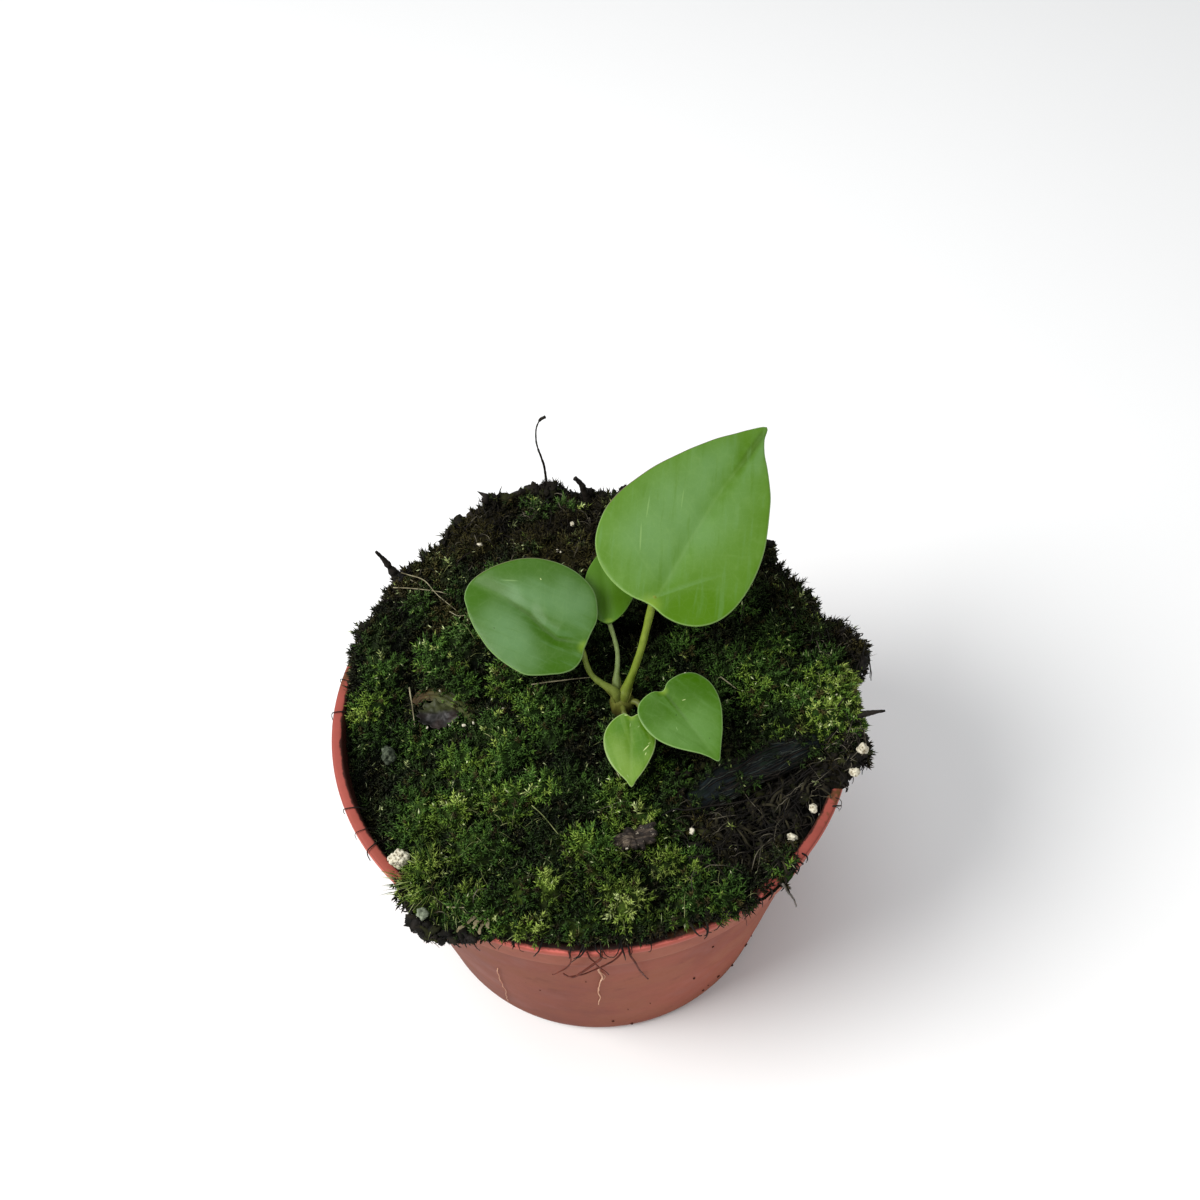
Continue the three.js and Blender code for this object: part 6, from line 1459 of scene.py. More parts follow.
def leaf_material(name, under):
    tint = TINTS[name]
    k = Look("leaf_" + name + ("_under" if under else "_top"), tint["rough"], 0.1)
    k.b.inputs["Coat Weight"].default_value = 0.0 if under else 0.07
    k.b.inputs["Coat Roughness"].default_value = 0.22
    map_ = k.uv("blade")
    x, y, _ = k.split(map_)
    s = k.math("MULTIPLY", k.math("SUBTRACT", x, 0.1), SCALE_UV)
    t = k.math("MULTIPLY", k.math("SUBTRACT", y, 0.5), SCALE_UV)
    side = k.math("ABSOLUTE", k.number("off"))
    main, deep, painted_sheen, pale = lin(*tint["main"]), lin(*tint["deep"]), lin(*tint["painted_sheen"]), lin(*tint["pale"])
    if under:
        main = tuple(0.72 * a + 0.28 * b for a, b in zip(main, pale))
        deep, painted_sheen = main, main
    broad = k.noise(SCALE_UV / 8.0, 3, 0.55, map_)
    mottle = k.noise(SCALE_UV / 1.6, 3, 0.6, map_)
    colour = k.mix(k.fade(broad, 0.4, 0.7, 0.0, 0.3), main, deep)
    # painted sheen patches, and deep green patches that are partly the leaf's own colour and partly painted shade
    colour = k.mix(k.math("MULTIPLY", k.number("painted_sheen"), 0.85), colour, painted_sheen)
    colour = k.mix(k.math("MULTIPLY", k.number("deep"), 0.9), colour, deep)
    colour = k.mix(k.fade(mottle, 0.45, 0.8, 0.0, 0.06), colour, pale)
    # painted shade along the sunken midrib, with a painted highlight beside it
    if "line" in tint and not under:
        s0, s1, s2, wide, amount = tint["line"]
        off = k.number("off")
        near = k.fade(k.math("ABSOLUTE", off), wide * 0.25, wide, amount, 0.0)
        near = k.math("MULTIPLY", near, k.math("MULTIPLY", k.fade(s, s0, s1), k.fade(s, s1 + 0.7 * (s2 - s1), s2, 1.0, 0.0)))
        colour = k.mix(near, colour, lin(*[q * 0.72 for q in tint["deep"]]))
        lit = k.math("MULTIPLY", k.fade(off, wide * 0.9, wide * 1.6), k.fade(off, wide * 2.0, wide * 4.0, 1.0, 0.0))
        lit = k.math("MULTIPLY", lit, k.math("MULTIPLY", k.fade(s, s0, s1), k.fade(s, s1 + 0.7 * (s2 - s1), s2, 0.45, 0.0)))
        colour = k.mix(lit, colour, painted_sheen)
    if name == "rear_large" and not under:
        # painted shade on the lobe past the fold line from the joint, and a painted highlight just before the fold
        past = k.math("SUBTRACT", t, k.math("SUBTRACT", k.math("MULTIPLY", s, 0.88), 1.1))
        colour = k.mix(k.math("MULTIPLY", k.fade(past, -0.15, 0.4), k.fade(s, 4.5, 10.5, 0.7, 0.0)), colour, deep)
        colour = k.mix(k.math("MULTIPLY", k.math("MULTIPLY", k.fade(past, -1.5, -0.3), k.fade(past, -0.2, 0.1, 1.0, 0.0)), k.fade(s, 5.0, 12.0, 0.35, 0.0)), colour, painted_sheen)
    # long faint streaks of painted sheen, with painted shade between them
    streak = k.noise(1.0, 3, 0.55, k.stretched(k.turned(map_, tint["sheen"]), (6, 46, 1)))
    colour = k.mix(k.fade(streak, 0.52, 0.72, 0.0, 0.0 if under else 0.35), colour, painted_sheen)
    colour = k.mix(k.fade(streak, 0.46, 0.3, 0.0, 0.0 if under else 0.3), colour, deep)
    # side veins, curving up from the midrib
    rise = k.math("MULTIPLY", side, k.math("SUBTRACT", 0.62, k.math("MULTIPLY", side, 0.0074)))
    wobble = k.math("MULTIPLY", k.math("SUBTRACT", broad, 0.5), 2.4)
    phase = k.math("DIVIDE", k.math("ADD", k.math("SUBTRACT", s, rise), wobble), tint["gap"])
    line = k.math("ABSOLUTE", k.math("SUBTRACT", k.math("FRACT", phase), 0.5))
    vein = k.fade(line, 0.0, 0.07, 1.0, 0.0)
    vein = k.math("MULTIPLY", vein, k.fade(side, 0.2, 1.6))
    vein = k.math("MULTIPLY", vein, k.fade(k.noise(SCALE_UV / 5.0, 2, 0.5, map_), 0.35, 0.6))
    net = k.fade(k.voronoi(SCALE_UV / 1.5, "DISTANCE_TO_EDGE", map_), 0.0, 0.08, 1.0, 0.0)
    colour = k.mix(k.math("MULTIPLY", vein, tint["veins"] * (3.0 if under else 1.0)), colour, pale)
    colour = k.mix(k.math("MULTIPLY", net, 0.03), colour, pale)
    rib = k.fade(side, 0.08 if not under else 0.3, 0.4 if not under else 0.9, 1.0, 0.0)
    colour = k.mix(k.math("MULTIPLY", rib, 0.05 if not under else 0.5), colour, pale)
    # the joint with the stalk is yellowish
    knot = k.fade(k.math("POWER", k.math("ADD", k.math("MULTIPLY", s, s), k.math("MULTIPLY", t, t)), 0.5), 0.2, 2.6 * (LEAVES[name]["len"] / 39.42) ** 0.8, 0.7, 0.0)
    colour = k.mix(knot, colour, lin(112, 140, 40))
    colour = k.mix(k.fade(k.number("edge"), 0.0, 1.0, 0.0, 0.6), colour, pale)
    if name in ("rear_large", "left_round") and not under:
        # a purple-brown painted shade along the margin on one side of the blade
        sunny = k.math("MULTIPLY", k.fade(t, -0.8, -2.4), k.fade(s, 9.0, 14.0)) if name == "rear_large" else k.math("MULTIPLY", k.fade(t, 2.0, 5.0), k.fade(s, 9.0, 14.0))
        colour = k.mix(k.math("MULTIPLY", sunny, k.fade(k.number("edge"), 0.1, 0.6, 0.0, 0.9 if name == "rear_large" else 0.6)), colour, lin(86, 70, 52))
    if not under:
        # painted glints in pale, and the blade's own dark specks
        for s0, t0, long_, wide, turn_, amount in MARKS[name]:
            ds, dt = k.math("SUBTRACT", s, s0), k.math("SUBTRACT", t, t0)
            c_, s_ = math.cos(turn_), math.sin(turn_)
            along = k.math("MULTIPLY", k.math("ADD", k.math("MULTIPLY", ds, c_), k.math("MULTIPLY", dt, s_)), 1 / long_)
            across = k.math("MULTIPLY", k.math("SUBTRACT", k.math("MULTIPLY", dt, c_), k.math("MULTIPLY", ds, s_)), 1 / wide)
            near = k.fade(k.math("ADD", k.math("MULTIPLY", along, along), k.math("MULTIPLY", across, across)), 0.2, 1.3, abs(amount), 0.0)
            colour = k.mix(near, colour, lin(206, 218, 150) if amount > 0.45 else pale if amount > 0 else lin(36, 56, 18))
    rough = k.math("ADD", tint["rough"] - 0.06 + (0.14 if under else 0.0), k.math("MULTIPLY", mottle, 0.14))
    height = k.math("ADD", k.math("MULTIPLY", vein, -0.3 if not under else 0.8), k.math("MULTIPLY", net, -0.15))
    height = k.math("ADD", height, k.math("MULTIPLY", k.noise(SCALE_UV / 0.35, 2, 0.5, map_), 0.12))
    return k.done(colour, rough, k.bump(height, 0.12, 0.1))


def closed_spline(points, n):
    p = np.asarray(points, float)
    m = len(p)
    out = []
    t = np.linspace(0, 1, 12, endpoint=False)[:, None]
    for k in range(m):
        a, b, c, d = p[(k - 1) % m], p[k], p[(k + 1) % m], p[(k + 2) % m]
        out.append(0.5 * (2 * b + (c - a) * t + (2 * a - 5 * b + 4 * c - d) * t ** 2 + (3 * b - a - 3 * c + d) * t ** 3))
    out = np.vstack(out + [p[:1]])
    s = np.concatenate([[0], np.cumsum(np.linalg.norm(np.diff(out, axis=0), axis=1))])
    return np.stack([np.interp(np.linspace(0, s[-1], n, endpoint=False), s, out[:, k]) for k in range(2)], 1)


def make_leaf(name, around, rings):
    L = LEAVES[name]
    outline = closed_spline(L["outline"], around)
    c = np.array([0.36 * L["len"], 0.0])
    share = np.concatenate([np.linspace(0.03, 0.9, rings - 6), [0.93, 0.953, 0.97, 0.983, 0.993]])
    reach = np.linalg.norm(outline - c, axis=1)
    half = LEAF_T / 2 * (0.8 if L["len"] < 16 else 1.0)
    top, under, edge_n, uv = [], [], [], []
    for f in share:
        st = c + (outline - c) * f
        gone = (1 - f) * reach
        thin = half * np.sqrt(np.clip(1 - np.clip(1 - gone / 0.5, 0, 1) ** 2, 0.12, 1))
        rib = 0.35 * np.exp(-(st[:, 1] / 0.6) ** 2) * np.clip(1.15 - st[:, 0] / L["len"], 0.1, 1) * (L["len"] / 39.4) ** 0.4
        base = np.clip(1.4 - np.hypot(st[:, 0], st[:, 1]) / 1.6, 0, 1) * 0.25
        top.append(blade_point(L, name, st[:, 0], st[:, 1], thin))
        under.append(blade_point(L, name, st[:, 0], st[:, 1], -thin - rib - base))
        edge_n.append(np.clip(1 - (gone - 0.04) / 0.24, 0, 1))
        uv.append(st)
    rim = blade_point(L, name, outline[:, 0], outline[:, 1])
    n, m = around, len(share)
    verts = np.vstack(top + [rim] + under[::-1])
    flat = np.vstack(uv + [outline] + uv[::-1])
    edge = np.concatenate(edge_n + [np.ones(n)] + edge_n[::-1])
    deep, painted_sheen = [1 - np.prod([1 - amount * np.exp(-((flat[:, 0] - s) ** 2 + (flat[:, 1] - t) ** 2) / (2 * r * r)) for s, t, r, amount in TINTS[name][key]], axis=0)
                   for key in ("deeps", "painted_sheen_spots")]
    i = np.arange(n)
    i2 = (i + 1) % n
    quads = np.vstack([np.stack([k * n + i, (k + 1) * n + i, (k + 1) * n + i2, k * n + i2], 1) for k in range(2 * m)])
    # the outline runs round the other way on some blades, so the faces are turned to face out
    j, u, v, up = blade_frame(L)
    a, b, d = verts[quads[0, 0]], verts[quads[0, 1]], verts[quads[0, 2]]
    flip = np.dot(np.cross(b - a, d - a), up) < 0
    caps = [np.arange(n)[None], (2 * m * n + np.arange(n))[None, ::-1]]
    p = verts[caps[0][0]]
    area_way = np.dot(np.cross(p - p.mean(0), np.roll(p, -1, 0) - p.mean(0)).sum(0), up)
    if area_way < 0:
        caps = [q[:, ::-1] for q in caps]
    if flip:
        quads = quads[:, ::-1]
    uvs = np.stack([flat[:, 0] / SCALE_UV + 0.1, flat[:, 1] / SCALE_UV + 0.5], 1)
    heap = Heap()
    lower = quads.min(1) >= m * n
    heap.add(verts, [quads[~lower], caps[0]], 0, uvs)
    heap.n = 0
    heap.v = []
    heap.add(verts, [quads[lower], caps[1]], 1, uvs)
    ob = piece("leaf_" + name + "_blade", heap, [leaf_material(name, False), leaf_material(name, True)],
               ["leaf_" + name], uv_name="blade", numbers={"edge": edge, "deep": deep, "painted_sheen": painted_sheen, "off": flat[:, 1] - midrib(name, flat[:, 0])})
    return ob


for name_, around_, rings_ in (("rear_large", 172, 30), ("left_round", 140, 26), ("rear_small", 90, 18), ("front_right_heart", 110, 21), ("front_young", 96, 19)):
    make_leaf(name_, around_, rings_)

# ---------------------------------------------------------------- stalks and crown
CX, CY, CROWN_Z = 5.4, -1.6, 66.6
STALKS = {
    "rear_large": dict(r=0.66, foot=[0.5, 0.0], bend=[0.3, -0.5, 0.1], flare=0.25, dark=(94, 112, 30), light=(116, 132, 46)),
    "left_round": dict(r=0.5, foot=[-0.95, -0.15], bend=[-1.2, -0.2, -0.6], flare=0.25, dark=(96, 112, 40), light=(120, 134, 60)),
    "rear_small": dict(r=0.42, foot=[-0.72, 1.45], bend=[0.8, 0.4, 0.2], flare=0.2, dark=(98, 116, 58), light=(130, 146, 94)),
    "front_right_heart": dict(r=0.47, way=[[7.85, -2.75, 66.0], [8.6, -3.9, 65.9], [10.2, -5.4, 67.3], [11.6, -6.0, 70.2]], flare=0.2, dark=(60, 70, 22), light=(84, 96, 34)),
    "front_young": dict(r=0.42, way=[[5.55, -4.3, 65.9], [5.8, -5.6, 65.7], [6.2, -7.4, 66.7], [6.5, -8.8, 68.6]], flare=0.2, dark=(60, 70, 22), light=(84, 96, 34)),
}


def stalk_material(name, dark, light):
    k = Look("stalk_" + name, 0.45, 0.2)
    grain = k.noise(1.0, 3, 0.6, k.stretched(k.place(), (1400, 1400, 160)))
    blotch = k.noise(4.0, 2)
    colour = k.ramp(grain, [(0.3, lin(*dark)), (0.7, lin(*light))])
    foot = k.fade(k.split(k.place())[2], 0.0655, 0.0705, 0.65, 0.0)
    colour = k.mix(foot, colour, lin(88, 92, 36))
    colour = k.mix(k.fade(blotch, 0.5, 0.75, 0.0, 0.25), colour, lin(104, 108, 50))
    return k.done(colour, k.fade(grain, 0.3, 0.7, 0.36, 0.52), k.bump(grain, 0.25, 0.08))


def make_stalk(name):
    S, L = STALKS[name], LEAVES[name]
    top = blade_point(L, name, np.array([0.9]), np.array([0.0]), -LEAF_T / 2 - S["r"] * 0.9)[0]
    join = blade_point(L, name, np.array([2.6]), np.array([0.0]), -LEAF_T / 2 - 0.46)[0]
    if "way" in S:  # the two front stalks leave the side of the crown
        w = np.array(S["way"])
        path = spline([[CX + (w[0, 0] - CX) * 0.3, CY + (w[0, 1] - CY) * 0.3, 65.2], *w, top, join], 44)
    else:
        foot = np.array([CX + S["foot"][0], CY + S["foot"][1], CROWN_Z + GAP])
        mid = (foot + top) / 2 + S["bend"]
        lead = foot + [(top[0] - foot[0]) * 0.08, (top[1] - foot[1]) * 0.08, 0.9]
        root = np.array([CX + S["foot"][0] * 0.5, CY + S["foot"][1] * 0.5, CROWN_Z - 3.0])
        path = spline([root, foot, lead, mid, top, join], 44)
    t = np.linspace(0, 1, 44)
    r = S["r"] * (0.94 + 0.5 * S["flare"] * np.clip((t - 0.7) / 0.2, 0, 1) - 1.0 * np.clip((t - 0.93) / 0.07, 0, 1) ** 2 * 0.6)
    sheath = np.clip((CROWN_Z + 3.6 - path[:, 2]) / 4.0, 0, 1) * (0.2 if "way" in S else 1.0)
    r = r * (1 + (1.35 if name != "rear_large" else 1.0) * sheath ** 1.3) + 0.018 * np.sin(t * 37 + len(name))
    v, f = tubes(path[None], r[None], 18, ref=(0.2, -0.95, 0.1))
    v = v + noise(v, 1.6, 12)[:, None] * unit(v - np.repeat(path, 18, 0)) * 0.03
    heap = Heap()
    heap.add(v, f)
    piece("stalk_" + name + "_stem", heap, [stalk_material(name, S["dark"], S["light"])], ["stalk_" + name])
    return path, r


STEMS = {name_: make_stalk(name_) for name_ in STALKS}


def make_crown():
    k = Look("crown", 0.6, 0.15)
    grain = k.noise(1.0, 3, 0.6, k.stretched(k.place(), (1300, 1300, 260)))
    colour = k.ramp(grain, [(0.3, lin(74, 76, 26)), (0.55, lin(92, 96, 36)), (0.75, lin(112, 112, 50))])
    low = k.fade(k.split(k.place())[2], 0.0632, 0.0662, 0.75, 0.0)
    colour = k.mix(low, colour, lin(58, 48, 24))
    crown = k.done(colour, k.fade(grain, 0.3, 0.7, 0.5, 0.7), k.bump(grain, 0.4, 0.15))
    kr = Look("fleshy_root", 0.7, 0.3)
    g = kr.noise(1.2, 3)
    roots = kr.done(kr.ramp(g, [(0.3, lin(120, 98, 70)), (0.7, lin(168, 146, 112))]), kr.fade(g, 0.3, 0.7, 0.6, 0.8), kr.bump(g, 0.3, 0.15))
    heap = Heap()
    rows = [(0.0, 56), (0.9, 56.4), (1.5, 58.5), (1.9, 61.5), (2.05, 63.0), (2.12, 64.0), (2.1, 64.9), (1.95, 65.5), (1.7, 66.0), (1.3, 66.4), (0.8, 66.6), (0.4, 66.7), (0.0, 66.72)]
    prof = spline([(r, 0, z) for r, z in rows], 34)
    seg, n = 40, 34
    a = np.arange(seg) / seg * TAU
    rr = np.maximum(prof[1:-1, 0], 0.02)
    wob = 1 + 0.06 * np.cos(3 * a + 0.7)[:, None] * np.clip((prof[1:-1, 2] - 62) / 4, 0, 1) + 0.03 * np.sin(7 * a)[:, None]
    v = np.stack([CX + np.cos(a)[:, None] * rr * wob, CY + np.sin(a)[:, None] * rr * wob, np.broadcast_to(prof[1:-1, 2], (seg, n - 2))], -1).reshape(-1, 3)
    m = n - 2
    i, j = np.meshgrid(np.arange(seg), np.arange(m - 1), indexing="ij")
    i2 = (i + 1) % seg
    quads = np.stack([i * m + j, i2 * m + j, i2 * m + j + 1, i * m + j + 1], -1).reshape(-1, 4)
    caps = [np.array([[s * m for s in reversed(range(seg))]]), np.array([[s * m + m - 1 for s in range(seg)]])]
    heap.add(v, [quads, caps[0], caps[1]], 0)
    # papery edges of the sheaths, that meet in a V below each stalk
    for name, lean in (("rear_large", -0.4), ("left_round", 0.5), ("rear_small", 0.0)):
        path, r = STEMS[name]
        zz = path[:, 2]
        c = [path[np.argmin(np.abs(zz - h))] for h in (64.2, 65.6, 67.0, 68.3)]
        rad = [r[np.argmin(np.abs(zz - h))] for h in (64.2, 65.6, 67.0, 68.3)]
        for turn_ in (-1, 1):
            line = []
            for q, (cc, rc) in enumerate(zip(c, rad)):
                b = -math.pi / 2 + lean + turn_ * (0.25 + 0.45 * q)
                line.append(cc + np.array([math.cos(b), math.sin(b), 0]) * (rc + 0.03))
            heap.add(*tubes(spline(line, 14)[None], np.linspace(0.12, 0.07, 14)[None], 6, ref=(0.3, 0.9, 0.2)), 0)
    for path in ([[CX, CY, 59], [CX - 6, CY + 3, 54], [-13, 6, 44], [-20, 8, 30], [-19, 5, 15]],
                 [[CX, CY, 59], [CX + 5, CY + 5, 53], [18, 12, 42], [23, 16, 28], [19, 12, 13]],
                 [[CX, CY, 58.5], [CX + 4, CY - 5, 52], [15, -16, 40], [17, -21, 26], [12, -19, 10]],
                 [[CX, CY, 58.5], [CX - 3, CY - 5, 51], [-6, -16, 38], [-11, -22, 24], [-8, -19, 9]],
                 [[CX, CY, 58], [CX - 0.5, CY + 2, 48], [2, 6, 34], [0, 9, 20], [2, 5, 8]]):
        heap.add(*tubes(spline(path, 30)[None], (1.1 * (1 - 0.55 * np.linspace(0, 1, 30)))[None], 10, ref=(0.4, 0.9, 0.15)), 1)
    piece("crown_and_roots", heap, [crown, roots], ["crown_with_roots"])


make_crown()


# ---------------------------------------------------------------- grains, bark and fallen leaf
def grain_material(name, dark, mid, light, pits):
    k = Look(name, 0.85, 0.2)
    pit = k.voronoi(0.55) if pits else k.noise(0.8, 4, 0.7)
    dust = k.noise(0.9, 3, 0.65)
    colour = k.ramp(pit, [(0.1 if pits else 0.3, lin(*dark)), (0.3 if pits else 0.5, lin(*mid)), (0.6 if pits else 0.72, lin(*light))])
    colour = k.mix(k.fade(dust, 0.5, 0.7, 0.0, 0.6), colour, lin(*dark))
    return k.done(colour, k.fade(dust, 0.3, 0.7, 0.75, 0.95), k.bump(pit, 0.5, 0.2))


PERLITE = grain_material("perlite", (92, 80, 58), (168, 160, 138), (204, 198, 178), True)
GRIT = grain_material("grit", (28, 33, 26), (60, 68, 54), (106, 114, 94), False)
GRIT_PALE = grain_material("grit_pale", (56, 62, 50), (98, 106, 88), (140, 148, 126), False)


def bump_up(x, y):
    return float(ground_height(np.array([x]), np.array([y]))[0])


GRAINS = [
    ("perlite_front_left", -31.8, -28.2, 1.75), ("perlite_right_front", 31.4, -27.2, 0.8), ("perlite_right_inner", 35.2, -22.6, 0.7),
    ("perlite_right_edge_upper", 44.4, -14.0, 0.95), ("perlite_right_edge_lower", 42.6, -17.9, 0.95), ("perlite_middle_front", 15.1, -26.2, 0.5),
    ("perlite_back", -1.4, 36.3, 0.45), ("perlite_back_left", -18.7, 32.5, 0.45), ("grit_left", -35.1, -6.7, 1.35), ("grit_front_left", -27.6, -38.0, 1.2),
]
for q_, (name_, x_, y_, r_) in enumerate(GRAINS):
    lo_, hi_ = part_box(name_)
    mid_ = (np.array(lo_) + np.array(hi_)) / 2 / MM
    bv_, bf_ = ball(5 if r_ > 1.5 else 4)
    popped = 0.94 + 0.42 * noise(bv_ * 1.0 + q_ * 5.1, 1.1, 3) + 0.30 * np.abs(noise(bv_ + q_ * 2.3, 0.5, 8)) - 0.16 * np.abs(noise(bv_ + q_, 0.22, 15))
    squash_ = 0.75 if name_.startswith("grit") else 0.88
    if name_.startswith("grit"):
        popped = 0.9 + 0.75 * noise(bv_ + q_ * 5.1, 0.95, 3, 2) - 0.25 * np.abs(noise(bv_ + q_, 0.3, 8))
    pv_ = mid_ + bv_ * popped[:, None] * r_ * (np.array([0.84, 0.88, 1.06]) if q_ == 0 else np.array([1.0 + 0.15 * math.sin(q_ * 2.1), 1.0 - 0.15 * math.sin(q_ * 2.1), squash_]))
    heap_ = Heap()
    heap_.add(pv_, [bf_])
    grit_ = name_.startswith("grit")
    piece(name_ + "_grain", heap_, [GRIT_PALE if name_ == "grit_front_left" else GRIT if grit_ else PERLITE], [name_])

build_strands()


def make_lump():
    """The charred, streaky lump: a rough stick lying in the moss."""
    spine = spline([[15.4, -20.2, 61.1], [21.5, -16.9, 61.5], [27.5, -14.4, 62.1], [33.5, -12.2, 62.9], [37.5, -11.0, 63.4]], 64)
    t = np.linspace(0, 1, 64)
    r = 3.3 * np.sin(np.pi * (0.1 + 0.8 * t)) ** 0.55 * (0.9 + 0.12 * np.sin(11 * t) + 0.07 * np.sin(23 * t + 1))
    v, f = tubes(spine[None], r[None], 48, ref=(0, 0, 1), flat=0.66)
    ang = np.tile(np.arange(48) / 48 * TAU, 64)
    tt = np.repeat(t, 48)
    c = np.repeat(spine, 48, 0)
    out = unit(v - c)
    grain = noise(np.stack([tt * 5, 3 * np.cos(ang) * 2, 3 * np.sin(ang) * 2], 1), 0.55, 3, 2) * 0.32
    grain += noise(np.stack([tt * 7, np.cos(ang) * 2, np.sin(ang) * 2], 1), 1.3, 13, 2) * 0.75
    v = v + out * grain[:, None]
    uv = np.stack([tt, ang / TAU], 1)
    k = Look("charred_bark", 0.7, 0.12)
    m = k.uv("along")
    streak = k.noise(1.0, 4, 0.65, k.stretched(m, (5, 42, 1)))
    fleck = k.noise(1.0, 3, 0.6, k.stretched(m, (14, 90, 1)))
    colour = k.ramp(streak, [(0.35, lin(4, 6, 7)), (0.5, lin(9, 15, 17)), (0.64, lin(24, 34, 36)), (0.76, lin(76, 86, 84))])
    colour = k.mix(k.fade(fleck, 0.6, 0.72, 0.0, 0.3), colour, lin(54, 60, 48))
    colour = k.mix(k.fade(k.noise(4.5, 3), 0.48, 0.6, 0.0, 0.8), colour, lin(12, 24, 12))
    mat = k.done(colour, k.fade(streak, 0.3, 0.7, 0.42, 0.75), k.bump(streak, 0.7, 0.35))
    heap = Heap()
    heap.add(v, f, 0, uv)
    piece("charred_bark_lump_fine", heap, [mat], ["charred_bark_lump"], uv_name="along")
    # frayed fibres that lie along it
    rng = np.random.default_rng(31)
    heap = Heap()
    skin = v.reshape(64, 48, 3)
    for q in range(170):
        a, b = sorted(rng.integers(1, 62, 2))
        if b - a < 7:
            continue
        ring = rng.uniform(0, 48)
        idx = np.linspace(a, b, 12)
        drift = ring + rng.normal(0, 2.5) * np.linspace(0, 1, 12)
        c = np.stack([skin[int(i), int(w) % 48] for i, w in zip(idx, drift)])
        mid = np.stack([spine[int(i)] for i in idx])
        way = unit(c - mid)
        if way[:, 2].mean() < -0.1:
            continue
        lift = 0.05 + rng.uniform(0, 0.35) * np.sin(np.linspace(0, math.pi, 12)) + np.array([0] * 9 + [0.1, 0.3, 0.6]) * rng.uniform(0, 1.2)
        line = spline(c + way * lift[:, None] + rng.normal(0, 0.07, c.shape), 14)
        r = rng.uniform(0.05, 0.12) * np.linspace(1.0, 0.5, 14)
        tv, tf = tubes(line[None], r[None], 4, ref=(0.1, -0.2, 1.0))
        heap.add(tv, tf, int(rng.random() < 0.3), flat_map(tv))
    # moss that creeps over it from the back and at both ends
    pts, ups = [], []
    for q in range(2600):
        i, w = int(rng.integers(1, 62)), int(rng.integers(0, 48))
        c = skin[i, w]
        n = unit(c - spine[i])
        tt_ = i / 63
        if n[2] < 0.05 or rng.random() > np.clip(0.03 + 1.3 * max(0, n[1] - 0.25) ** 1.3 + 0.8 * max(0, tt_ - 0.7) * 3 + 0.5 * max(0, 0.12 - tt_) * 8 + 0.5 * (noise(c[None], 3.0, 77)[0] > 0.35), 0, 1) * 0.33:
            continue
        pts.append(c)
        ups.append(n)
    pts, ups = np.array(pts), np.array(ups)
    m = len(pts)
    v4, uv4, _ = leafy(pts, ups, unit(ups + rng.normal(0, 0.35, (m, 3))), rng.uniform(0.34, 0.56, m), rng.uniform(0.5, 0.95, m), np.zeros(m), rng.uniform(0.1, 0.4, m), rng)
    heap.add(v4.reshape(-1, 3), [quads4(len(v4))], 2, uv4.reshape(-1, 2))
    piece("charred_fibres", heap, [DARK, ASHEN, MOSS], uv_name="OFBake")


make_lump()


def plate(name, outline, z, thick, material, seed, curl=0.0, rough=0.25, jag=0.0):
    """A thin uneven piece with a broken outline."""
    o = closed_spline(outline, 90)
    c = o.mean(0)
    d = unit(o - c)
    o = o + d * (noise(np.stack([o[:, 0], o[:, 1], 0 * o[:, 0]], 1), 1.1, seed, 2) * 0.55)[:, None]
    o = o + d * (jag * noise(np.stack([o[:, 0], o[:, 1], 0 * o[:, 0]], 1), 0.45, seed + 5))[:, None]
    rings = np.concatenate([np.linspace(0.05, 0.92, 14), [0.97]])
    top, under = [], []
    for f in rings:
        q = c + (o - c) * f
        p = np.stack([q[:, 0], q[:, 1], 0 * q[:, 0]], 1)
        w = z + curl * np.hypot(*(q - c).T) ** 2 / 10 + rough * noise(p, 1.5, seed + 1, 3)
        th = thick * (1 - 0.5 * f ** 4)
        top.append(np.stack([q[:, 0], q[:, 1], w + th], 1))
        under.append(np.stack([q[:, 0], q[:, 1], w + 0 * th], 1))
    p = np.stack([o[:, 0], o[:, 1], 0 * o[:, 0]], 1)
    w = z + curl * np.hypot(*(o - c).T) ** 2 / 10 + rough * noise(p, 1.5, seed + 1, 3)
    rim = np.stack([o[:, 0], o[:, 1], w + thick * 0.3], 1)
    v = np.vstack(top + [rim] + under[::-1])
    n, m = 90, len(rings)
    i = np.arange(n)
    i2 = (i + 1) % n
    quads = np.vstack([np.stack([k * n + i, (k + 1) * n + i, (k + 1) * n + i2, k * n + i2], 1) for k in range(2 * m)])
    caps = [np.arange(n)[None], (2 * m * n + np.arange(n))[None, ::-1]]
    area2 = np.cross(o - c, np.roll(o, -1, 0) - c).sum()
    if area2 < 0:
        quads, caps = quads[:, ::-1], [q[:, ::-1] for q in caps]
    heap = Heap()
    heap.add(v, [quads, caps[0], caps[1]])
    piece(name + "_fine", heap, [material], [name])


def bark_material():
    k = Look("bark", 0.85, 0.3)
    grain = k.noise(1.0, 4, 0.65, k.stretched(k.place(), (350, 1500, 600)))
    colour = k.ramp(grain, [(0.3, lin(12, 10, 8)), (0.5, lin(38, 30, 25)), (0.68, lin(104, 92, 78))])
    colour = k.mix(k.fade(k.noise(0.8, 3, 0.7), 0.62, 0.68, 0.0, 0.8), colour, lin(150, 140, 122))
    return k.done(colour, k.fade(grain, 0.3, 0.7, 0.7, 0.95), k.bump(grain, 0.8, 0.3))


